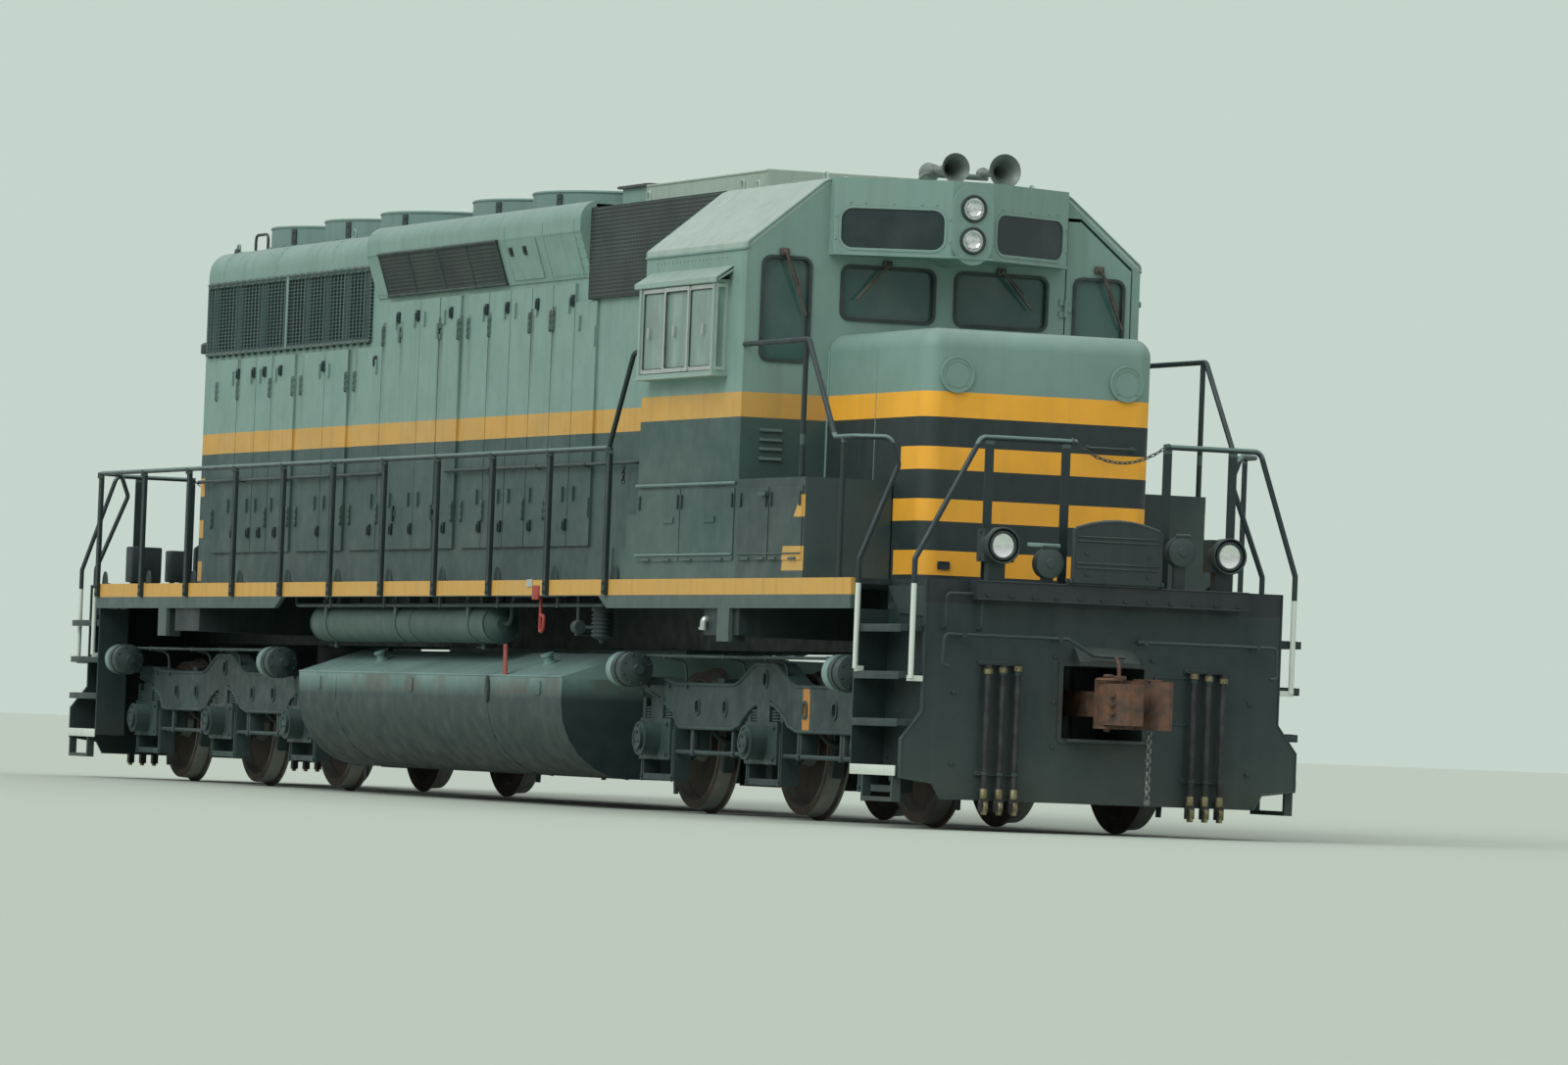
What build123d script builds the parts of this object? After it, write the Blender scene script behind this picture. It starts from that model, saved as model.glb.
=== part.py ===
"""Six-axle diesel road-switcher locomotive, at its real size, in millimetres.

+X points to the cab end, +Y to the locomotive's left side and +Z up. The origin is
under the middle of the locomotive, at the height of the wheels' flange tips.
"""
from build123d import *
import math
import os

os.makedirs("parts", exist_ok=True)

# Heights are measured from the floor under the flange tips, lengths along the locomotive
# from its middle, and widths from its centre line.
FLANGE = 28                      # flange tips below the rail head
COUPLED_HALF = 10013             # pulling face of each coupler
PILOT_X = 9377                   # front face of each pilot plate
TRUCK_X = 6096                   # truck swivels, 40 ft apart
AXLE_PITCH = 2070                # 6 ft 9.5 in between axles
WHEEL_R = 508                    # 40 in wheels
GAP = 5                          # clearance between moving pieces
DECK = FLANGE + 1660             # top of the walkway
SILL_Y = 1530                    # outer face of the side sill

# Underframe
DECK_T = 40
SILL_T = 40
SILL_DEEP = FLANGE + 1450        # underside of the deep sill over the trucks
SILL_SHALLOW = FLANGE + 1540     # underside of the sill amidships
SILL_STEP_REAR = -3600
SILL_STEP_FRONT = 3820
SILL_STEP_RUN = 180
STEP_WELL_X = 8545               # inner end of each step well
STEP_WELL_Y = 1230               # back of each step well
CENTRE_SILL_Y = 420
CENTRE_SILL_BOTTOM = FLANGE + 1180
BOLSTER_HALF = 330
BOLSTER_BOTTOM = FLANGE + 1260   # above the jacking pads' faces
CENTRE_PLATE_R = 300
JACKING_PADS = (6221, -6658)
CENTRE_PLATE_BOTTOM = FLANGE + 960

# Pilots and steps
PILOT_T = 30
PILOT_LOW_Y = 1475
PILOT_HIGH_Y = 1328
PILOT_BOTTOM = FLANGE + 180
PILOT_EDGE_BOTTOM = FLANGE + 315
PILOT_NOTCH_LOW = FLANGE + 575
PILOT_NOTCH_HIGH = FLANGE + 766
PILOT_FOOT_Y = 1167
COUPLER_POCKET_Y = 300
COUPLER_POCKET_LOW = FLANGE + 620
COUPLER_POCKET_HIGH = FLANGE + 1110
DRAFT_BOX_T = 40
DRAFT_BACK = 175                 # draft box behind the coupler pin
STEP_T = 40
ANTICLIMBER_REACH = 130          # end platform ahead of the pilot plate
ANTICLIMBER_Y = 1010
ANTICLIMBER_H = 130
DROP_X = PILOT_X + ANTICLIMBER_REACH + 23
DROP_Y = 329                     # half the width of the walkover step
DROP_HINGE_Z = DECK + 20
DROP_PIN_R = 8
DROP_LUG_T = 14
STRIKER_Y = 225
STRIKER_REACH = 105
STRIKER_TOP = FLANGE + 1270
ROD_Z = FLANGE + 1289            # uncoupling rods across the pilot
ROD_R = 12
ROD_REACH = 120
ROD_BEND = 40
UNCOUPLING_RODS = ((-1150, -320), (195, 1155))
STIRRUP_BOTTOM = FLANGE + 150
STIRRUP_X = (8777, 9289)
STIRRUP_BAR = 30
STEP_Y = 1490
LOWEST_STEP = FLANGE + 385
STEP_COUNT = 4

# Couplers
COUPLER_Z = FLANGE + 860
COUPLER_PIVOT_X = 8750
COUPLER_SHANK_Y = 95
COUPLER_SHANK_H = 170
COUPLER_HEAD_H = 330
KNUCKLE_H = 280
KNUCKLE_PIN_R = 21
COUPLER_ROUND_R = 24
KNUCKLE_ROUND_R = 22

# Fuel tank and air reservoirs
TANK_FRONT = 2950
TANK_REAR = -3100
TANK_Y = 1490
TANK_RIDGE = FLANGE + 940
TANK_BOTTOM = FLANGE + 195
TANK_TOP_Y = 950
TANK_TOP = FLANGE + 1130
TANK_SIDE_R = 560
RESERVOIR_R = 150
RESERVOIR_Y = 1240
RESERVOIR_Z = FLANGE + 1340
RESERVOIR_REAR = -3220
RESERVOIR_FRONT = 970
RESERVOIR_DOME = (70, 95)        # how far each end's cone runs along and in

# Wheelsets and trucks
WHEEL_BACK_Y = 678               # inner faces of the wheels, standard gauge
WHEEL_RIM_W = 145
WHEEL_RIM_T = 70
WHEEL_WEB_T = 32
HUB_R = 135
AXLE_R = 100
JOURNAL_R = 78
JOURNAL_END_Y = 1150
FRAME_Y = 1060                   # middle plane of each side frame
FRAME_T = 150
FRAME_HALF = 2330

# Long hood
HOOD_REAR = -7700
HOOD_FRONT = 4440
HOOD_Y = 889
HOOD_WALL = 45
HOOD_TOP = FLANGE + 4560
HOOD_ROOF_R = 190
HOOD_EAVE = FLANGE + 4330
HOOD_BASE = DECK + 290           # seam under the hood doors
HOOD_STRIPE = (FLANGE + 2805, FLANGE + 2980)
DOOR_T = 22
DOOR_TOP_RADIATOR = FLANGE + 3610
DOOR_TOP_ENGINE = FLANGE + 3960

# Cab
CAB_REAR = 4445
CAB_FRONT = 6399
CAB_Y = 1524
CAB_WALL = 60
CAB_FLOOR = FLANGE + 2370
CAB_EAVE = FLANGE + 4040
CAB_ROOF_Y = 923
CAB_ROOF_TOP = FLANGE + 4530
CAB_ROOF_T = 45
CAB_ROOF_BEND_R = 150

# Short hood (nose) and battery boxes
NOSE_FRONT = 8165
NOSE_Y = 865
NOSE_TOP = FLANGE + 3420
NOSE_R = 130
NOSE_LAMP_Y = 642                # covers over the holes of the old nose lamps
NOSE_LAMP_Z = FLANGE + 3098
NOSE_LAMP_R = 122
NOSE_LAMP_PROUD = 14
BATTERY_FRONT = 7650
BATTERY_TOP = FLANGE + 2360

# Fans: middle of each along the hood
FAN_R = 680
FAN_X = (-6570, -5165, -3745, -1525, -150)
FAN_TOP = FLANGE + 4750
FAN_WALL = 30


def save(piece, name):
    """Label a finished piece and write it to its own file."""
    piece.part.label = name
    export_step(piece.part, f"parts/{name}.step")


def both_ends():
    """The two ends: a name, and which way it faces along X."""
    return (("front", 1), ("rear", -1))


def outline(*points):
    """A closed outline of straight edges, added to the sketch that is open."""
    return Polygon(*points, align=None)


def box(x0, x1, y0, y1, z0, z1, mode=Mode.ADD):
    """A plain block between two opposite corners."""
    with Locations(((x0 + x1) / 2, (y0 + y1) / 2, (z0 + z1) / 2)):
        return Box(abs(x1 - x0), abs(y1 - y0), abs(z1 - z0), mode=mode)


def bar(points, bend, radius):
    """A round bar along straight runs joined by arcs."""
    with BuildLine(mode=Mode.PRIVATE) as path:
        if len(points) > 2:
            FilletPolyline(*points, radius=bend)
        else:
            Line(*points)
    with BuildSketch(Plane(origin=path.line @ 0, z_dir=path.line % 0),
                     mode=Mode.PRIVATE) as section:
        Circle(radius)
    return sweep(sections=section.sketch, path=path.line)


# Door hinges: upright pins in knuckles, two from the wall's leaf round one from the door's
HINGE_R = 14
HINGE_PIN_R = 7
HINGE_LEAF = 42                  # width of each leaf
HINGE_LEAF_T = 12
HINGE_KNUCKLE = 40               # length of each knuckle
HINGE_FIT = 0.05                 # slack round the pin


def fixed_knuckles(x, y, z):
    """The two outer knuckles of a hinge centred at z, bored for its pin."""
    for level in (-1, 1):
        with Locations((x, y, z + level * (HINGE_KNUCKLE + 2))):
            Cylinder(HINGE_R, HINGE_KNUCKLE)
            Cylinder(HINGE_PIN_R + HINGE_FIT, HINGE_KNUCKLE, mode=Mode.SUBTRACT)


def turning_knuckle(x, y, z):
    """The middle knuckle of a hinge with the pin that stands in the outer two."""
    with Locations((x, y, z)):
        Cylinder(HINGE_R, HINGE_KNUCKLE)
        Cylinder(HINGE_PIN_R, 3 * HINGE_KNUCKLE + 4)


# Underframe: deck, side sills, centre sill, bolsters, draft boxes and jacking pads

with BuildPart() as underframe:
    with BuildSketch(Plane.XY.offset(DECK - DECK_T)):
        Rectangle(2 * (PILOT_X - PILOT_T), 2 * STEP_WELL_Y)
        Rectangle(2 * STEP_WELL_X, 2 * SILL_Y)
    extrude(amount=DECK_T)
    with BuildSketch(Plane.XZ.offset(SILL_Y - SILL_T)):
        outline(
            (-STEP_WELL_X, DECK),
            (-STEP_WELL_X, SILL_DEEP),
            (SILL_STEP_REAR - SILL_STEP_RUN / 2, SILL_DEEP),
            (SILL_STEP_REAR + SILL_STEP_RUN / 2, SILL_SHALLOW),
            (SILL_STEP_FRONT - SILL_STEP_RUN / 2, SILL_SHALLOW),
            (SILL_STEP_FRONT + SILL_STEP_RUN / 2, SILL_DEEP),
            (STEP_WELL_X, SILL_DEEP),
            (STEP_WELL_X, DECK),
        )
    extrude(amount=SILL_T)
    mirror(about=Plane.XZ)
    with Locations((0, 0, CENTRE_SILL_BOTTOM)):
        Box(2 * (PILOT_X - PILOT_T), 2 * CENTRE_SILL_Y, DECK - CENTRE_SILL_BOTTOM,
            align=(Align.CENTER, Align.CENTER, Align.MIN))
    for side in (-1, 1):
        with Locations((side * TRUCK_X, 0, BOLSTER_BOTTOM)):
            Box(2 * BOLSTER_HALF, 2 * (SILL_Y - SILL_T), DECK - BOLSTER_BOTTOM,
                align=(Align.CENTER, Align.CENTER, Align.MIN))
        with Locations((side * TRUCK_X, 0, CENTRE_PLATE_BOTTOM)):
            Cylinder(CENTRE_PLATE_R, CENTRE_SILL_BOTTOM - CENTRE_PLATE_BOTTOM,
                     align=(Align.CENTER, Align.CENTER, Align.MIN))
        draft_middle = side * (PILOT_X - PILOT_T + COUPLER_PIVOT_X - DRAFT_BACK) / 2
        draft_length = PILOT_X - PILOT_T - COUPLER_PIVOT_X + DRAFT_BACK
        with Locations((draft_middle, 0, COUPLER_POCKET_LOW - DRAFT_BOX_T)):
            Box(draft_length, 2 * (COUPLER_POCKET_Y + DRAFT_BOX_T),
                CENTRE_SILL_BOTTOM - COUPLER_POCKET_LOW + DRAFT_BOX_T,
                align=(Align.CENTER, Align.CENTER, Align.MIN))
        with Locations((draft_middle + side * DRAFT_BOX_T, 0, COUPLER_POCKET_LOW)):
            Box(draft_length, 2 * COUPLER_POCKET_Y, COUPLER_POCKET_HIGH - COUPLER_POCKET_LOW,
                align=(Align.CENTER, Align.CENTER, Align.MIN), mode=Mode.SUBTRACT)
        with Locations((side * COUPLER_PIVOT_X, 0, COUPLER_POCKET_LOW)):
            Cylinder(60, COUPLER_POCKET_HIGH - COUPLER_POCKET_LOW,
                     align=(Align.CENTER, Align.CENTER, Align.MIN))
    for pad_x in JACKING_PADS:
        for side in (-1, 1):
            box(pad_x - 112, pad_x + 112, side * (SILL_Y - 130), side * SILL_Y, FLANGE + 1215,
                SILL_DEEP)
save(underframe, "underframe")

# Pilots: plate, step wells and steps at each end

STEP_RISE = (DECK - LOWEST_STEP) / STEP_COUNT
for end, way in both_ends():
    with BuildPart() as pilot:
        plate_plane = Plane.YZ.offset(way * (PILOT_X - PILOT_T / 2))
        with BuildSketch(plate_plane):
            outline(
                (-PILOT_FOOT_Y, PILOT_BOTTOM),
                (-PILOT_FOOT_Y - 60, PILOT_EDGE_BOTTOM - 30),
                (-PILOT_LOW_Y, PILOT_EDGE_BOTTOM),
                (-PILOT_LOW_Y, PILOT_NOTCH_LOW),
                (-PILOT_HIGH_Y, PILOT_NOTCH_HIGH),
                (-PILOT_HIGH_Y, DECK),
                (PILOT_HIGH_Y, DECK),
                (PILOT_HIGH_Y, PILOT_NOTCH_HIGH),
                (PILOT_LOW_Y, PILOT_NOTCH_LOW),
                (PILOT_LOW_Y, PILOT_EDGE_BOTTOM),
                (PILOT_FOOT_Y + 60, PILOT_EDGE_BOTTOM - 30),
                (PILOT_FOOT_Y, PILOT_BOTTOM),
            )
            with Locations((0, (COUPLER_POCKET_LOW + COUPLER_POCKET_HIGH) / 2)):
                Rectangle(2 * COUPLER_POCKET_Y, COUPLER_POCKET_HIGH - COUPLER_POCKET_LOW,
                          mode=Mode.SUBTRACT)
        extrude(amount=PILOT_T / 2, both=True)
        with Locations((way * PILOT_X, 0, DECK)):
            Box(2 * ANTICLIMBER_REACH, 2 * ANTICLIMBER_Y, ANTICLIMBER_H,
                align=(Align.CENTER, Align.CENTER, Align.MAX))
        with Locations((way * (PILOT_X - PILOT_T - ANTICLIMBER_REACH), 0, DECK)):
            Box(2 * ANTICLIMBER_REACH, 2 * ANTICLIMBER_Y, ANTICLIMBER_H,
                align=(Align.CENTER, Align.CENTER, Align.MAX), mode=Mode.SUBTRACT)
        for side in (-1, 1):
            well_length = PILOT_X - PILOT_T - STEP_WELL_X
            with Locations((way * (STEP_WELL_X + well_length / 2), side * (STEP_WELL_Y + 10),
                            LOWEST_STEP - STEP_T)):
                Box(well_length, 20, DECK - DECK_T - LOWEST_STEP + STEP_T,
                    align=(Align.CENTER, Align.CENTER, Align.MIN))
            with Locations((way * (STEP_WELL_X + 10), side * (STEP_WELL_Y + STEP_Y) / 2,
                            LOWEST_STEP - STEP_T)):
                Box(20, STEP_Y - STEP_WELL_Y, SILL_DEEP - LOWEST_STEP + STEP_T,
                    align=(Align.CENTER, Align.CENTER, Align.MIN))
            for hang_x in STIRRUP_X:
                box(way * (hang_x - STIRRUP_BAR / 2), way * (hang_x + STIRRUP_BAR / 2),
                    side * (STEP_Y - 60), side * STEP_Y, STIRRUP_BOTTOM, LOWEST_STEP - STEP_T / 2)
            box(way * (STIRRUP_X[0] - STIRRUP_BAR / 2), way * (STIRRUP_X[1] + STIRRUP_BAR / 2),
                side * (STEP_Y - 60), side * STEP_Y, STIRRUP_BOTTOM, STIRRUP_BOTTOM + STIRRUP_BAR)
            for step in range(STEP_COUNT):
                with Locations((way * (STEP_WELL_X + well_length / 2),
                                side * (STEP_WELL_Y + STEP_Y) / 2,
                                LOWEST_STEP + step * STEP_RISE - STEP_T)):
                    Box(well_length, STEP_Y - STEP_WELL_Y, STEP_T,
                        align=(Align.CENTER, Align.CENTER, Align.MIN))
        with BuildSketch(Plane.XZ.offset(-STRIKER_Y)):
            outline(
                (way * (PILOT_X - PILOT_T), COUPLER_POCKET_HIGH + 5),
                (way * (PILOT_X + STRIKER_REACH), COUPLER_POCKET_HIGH + 5),
                (way * (PILOT_X + STRIKER_REACH), COUPLER_POCKET_HIGH + 35),
                (way * (PILOT_X - PILOT_T), STRIKER_TOP),
            )
        extrude(amount=2 * STRIKER_Y)
        for near, far in UNCOUPLING_RODS:
            rod_x = way * (PILOT_X + ROD_REACH)
            if far < 0:
                bar(((rod_x, way * near, ROD_Z), (rod_x, way * far, ROD_Z),
                     (rod_x, way * (far + 190), ROD_Z - 105), (rod_x, way * (far + 420), ROD_Z - 108)),
                    ROD_BEND, ROD_R)
            else:
                bar(((rod_x, way * near, ROD_Z), (rod_x, way * far, ROD_Z)), 0, ROD_R)
            for bracket_y in (near + 60, far - 60):
                box(way * PILOT_X, way * (PILOT_X + ROD_REACH + ROD_R), way * (bracket_y - 14),
                    way * (bracket_y + 14), ROD_Z - ROD_R - 4, ROD_Z + ROD_R + 4)
        for side in (-1, 1):
            lug_y = side * (DROP_Y + GAP + DROP_LUG_T / 2)
            with BuildSketch(Plane.XZ.offset(-lug_y)):
                with Locations((way * (PILOT_X + ANTICLIMBER_REACH), DROP_HINGE_Z)):
                    Rectangle(2 * (DROP_X - PILOT_X - ANTICLIMBER_REACH), 40)
                with Locations((way * DROP_X, DROP_HINGE_Z)):
                    Circle(20)
                    Circle(DROP_PIN_R + 0.05, mode=Mode.SUBTRACT)
            extrude(amount=DROP_LUG_T / 2, both=True)
    save(pilot, f"pilot_{end}")

# Couplers and knuckles: they share the swing pin's axis and the knuckle's own pin

for end, way in both_ends():
    head_back = COUPLED_HALF - 330
    with BuildPart() as coupler:
        with BuildSketch(Plane.XY.offset(COUPLER_Z - COUPLER_SHANK_H / 2)):
            with Locations((way * COUPLER_PIVOT_X, 0)):
                Circle(130)
            with Locations((way * (COUPLER_PIVOT_X + head_back) / 2, 0)):
                Rectangle(head_back - COUPLER_PIVOT_X, 2 * COUPLER_SHANK_Y)
            with Locations((way * COUPLER_PIVOT_X, 0)):
                Circle(60 + GAP, mode=Mode.SUBTRACT)
        extrude(amount=COUPLER_SHANK_H)
        with BuildSketch(Plane.XY.offset(COUPLER_Z - COUPLER_HEAD_H / 2)):
            outline(
                (way * (head_back - 110), -way * 150),
                (way * (head_back - 110), way * 150),
                (way * (head_back + 60), way * 235),
                (way * (COUPLED_HALF - 20), way * 245),
                (way * COUPLED_HALF, way * 205),
                (way * (COUPLED_HALF - 110), way * 120),
                (way * (head_back + 90), way * 60),
                (way * (head_back + 60), -way * 60),
                (way * (head_back + 20), -way * 150),
            )
        extrude(amount=COUPLER_HEAD_H)
        guard_arm = coupler.edges().filter_by(Axis.Z).filter_by(
            lambda e: abs(e.center().X) > head_back + 50 and way * e.center().Y > 60)
        fillet(guard_arm, radius=COUPLER_ROUND_R)
        for height in (-1, 1):
            with BuildSketch(Plane.XY.offset(COUPLER_Z + height * (KNUCKLE_H / 2 + GAP)
                                             - (0 if height > 0 else COUPLER_HEAD_H / 2
                                                - KNUCKLE_H / 2 - GAP))):
                with Locations((way * (head_back + 110), -way * 150)):
                    Circle(75)
                with Locations((way * (head_back + 40), -way * 110)):
                    Rectangle(150, 130)
                with Locations((way * (head_back + 110), -way * 150)):
                    Circle(KNUCKLE_PIN_R + 1, mode=Mode.SUBTRACT)
            extrude(amount=COUPLER_HEAD_H / 2 - KNUCKLE_H / 2 - GAP)
    save(coupler, f"coupler_{end}")
    with BuildPart() as knuckle:
        with BuildSketch(Plane.XY.offset(COUPLER_Z - KNUCKLE_H / 2)):
            with Locations((way * (head_back + 110), -way * 150)):
                Circle(62)
            outline(
                (way * (head_back + 110), -way * 212),
                (way * (head_back + 210), -way * 200),
                (way * (COUPLED_HALF - 30), -way * 150),
                (way * COUPLED_HALF, -way * 90),
                (way * COUPLED_HALF, way * 20),
                (way * (COUPLED_HALF - 70), way * 45),
                (way * (COUPLED_HALF - 100), -way * 40),
                (way * (head_back + 140), -way * 90),
            )
        extrude(amount=KNUCKLE_H)
        nose = knuckle.edges().filter_by(Axis.Z).filter_by(
            lambda e: abs(e.center().X) > COUPLED_HALF - 80)
        fillet(nose, radius=KNUCKLE_ROUND_R)
        with Locations((way * (head_back + 110), -way * 150, COUPLER_Z)):
            Cylinder(KNUCKLE_PIN_R, COUPLER_HEAD_H + 40)
    save(knuckle, f"knuckle_{end}")

# Fuel tank and main reservoirs

with BuildPart() as fuel_tank:
    with BuildSketch(Plane.YZ.offset(TANK_REAR)):
        outline(
            (-TANK_TOP_Y, TANK_TOP),
            (-TANK_Y, TANK_RIDGE),
            (-TANK_Y, TANK_BOTTOM),
            (TANK_Y, TANK_BOTTOM),
            (TANK_Y, TANK_RIDGE),
            (TANK_TOP_Y, TANK_TOP),
        )
    extrude(amount=TANK_FRONT - TANK_REAR)
    fillet(fuel_tank.edges().filter_by(Axis.X).group_by(Axis.Z)[0], radius=TANK_SIDE_R)
    with Locations(((TANK_FRONT + TANK_REAR) / 2, 0, TANK_TOP)):
        Box(TANK_FRONT - TANK_REAR - 800, 700, CENTRE_SILL_BOTTOM - TANK_TOP,
            align=(Align.CENTER, Align.CENTER, Align.MIN))
save(fuel_tank, "fuel_tank")

with BuildPart() as air_reservoirs:
    for side in (-1, 1):
        dome_run, dome_in = RESERVOIR_DOME
        with BuildSketch(Plane.XY.offset(RESERVOIR_Z)):
            outline(
                (RESERVOIR_REAR, side * RESERVOIR_Y),
                (RESERVOIR_REAR, side * (RESERVOIR_Y + RESERVOIR_R - dome_in)),
                (RESERVOIR_REAR + dome_run, side * (RESERVOIR_Y + RESERVOIR_R)),
                (RESERVOIR_FRONT - dome_run, side * (RESERVOIR_Y + RESERVOIR_R)),
                (RESERVOIR_FRONT, side * (RESERVOIR_Y + RESERVOIR_R - dome_in)),
                (RESERVOIR_FRONT, side * RESERVOIR_Y),
            )
        revolve(axis=Axis((0, side * RESERVOIR_Y, RESERVOIR_Z), (1, 0, 0)))
    for hanger in (0.1, 0.5, 0.9):
        hanger_x = RESERVOIR_REAR + hanger * (RESERVOIR_FRONT - RESERVOIR_REAR)
        for side in (-1, 1):
            box(hanger_x - 30, hanger_x + 30, side * (RESERVOIR_Y - 40), side * (RESERVOIR_Y + 40),
                RESERVOIR_Z + RESERVOIR_R - 20, DECK - DECK_T)
save(air_reservoirs, "air_reservoirs")

# Wheelsets: axle, wheels and journals in one turned piece

for number in range(6):
    truck, place = divmod(number, 3)
    axle_x = (TRUCK_X, -TRUCK_X)[truck] + (AXLE_PITCH, 0, -AXLE_PITCH)[place]
    back = WHEEL_BACK_Y
    face = WHEEL_BACK_Y + WHEEL_RIM_W
    with BuildPart() as wheelset:
        with BuildSketch(Plane.XY.offset(FLANGE + WHEEL_R)):
            with BuildLine():
                Polyline(
                    (axle_x, 0),
                    (axle_x + AXLE_R, 0),
                    (axle_x + AXLE_R, back - 20),
                    (axle_x + HUB_R, back - 20),
                    (axle_x + HUB_R + 20, back + 35),
                    (axle_x + WHEEL_R - WHEEL_RIM_T - 20, back + 60),
                    (axle_x + WHEEL_R - WHEEL_RIM_T, back),
                    (axle_x + WHEEL_R + FLANGE, back),
                    (axle_x + WHEEL_R + FLANGE, back + 18),
                    (axle_x + WHEEL_R + 3, back + 38),
                    (axle_x + WHEEL_R - 5, face),
                    (axle_x + WHEEL_R - WHEEL_RIM_T, face),
                    (axle_x + WHEEL_R - WHEEL_RIM_T - 20, back + 60 + WHEEL_WEB_T),
                    (axle_x + HUB_R + 20, back + 35 + WHEEL_WEB_T + 20),
                    (axle_x + HUB_R, face + 25),
                    (axle_x + AXLE_R, face + 25),
                    (axle_x + JOURNAL_R, face + 70),
                    (axle_x + JOURNAL_R, JOURNAL_END_Y),
                    (axle_x, JOURNAL_END_Y),
                    close=True,
                )
            make_face()
        revolve(axis=Axis((axle_x, 0, FLANGE + WHEEL_R), (0, 1, 0)))
        mirror(about=Plane.XZ)
    save(wheelset, f"wheelset_{number + 1}")

# Truck frames: cast side frames, transoms and the swivel bowl

AXLE_Z = FLANGE + WHEEL_R
FRAME_TOP = FLANGE + 925
HUMP_TOP = FLANGE + 1080
LOBE_BOTTOM = FLANGE + 585
PEDESTAL_BOTTOM = FLANGE + 209
PEDESTAL_HALF = 334
PEDESTAL_LEG = 62
JOURNAL_BOX_Y = 1275
JOURNAL_CAP_R = 78
JOURNAL_CAP_T = 22
BRAKE_ROD_Y = 1105
BRAKE_ROD_Z = FLANGE + 420
BRAKE_ROD_R = 16
TRUCK_PIPE_Y = 1300
TRUCK_PIPE_Z = FLANGE + 1110
TRUCK_PIPE_R = 12
TRANSOM_W = 120
TRANSOM_BOTTOM = FLANGE + 760
BOWL_WALL = 40
BOWL_TOP = CENTRE_PLATE_BOTTOM + 60
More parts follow.
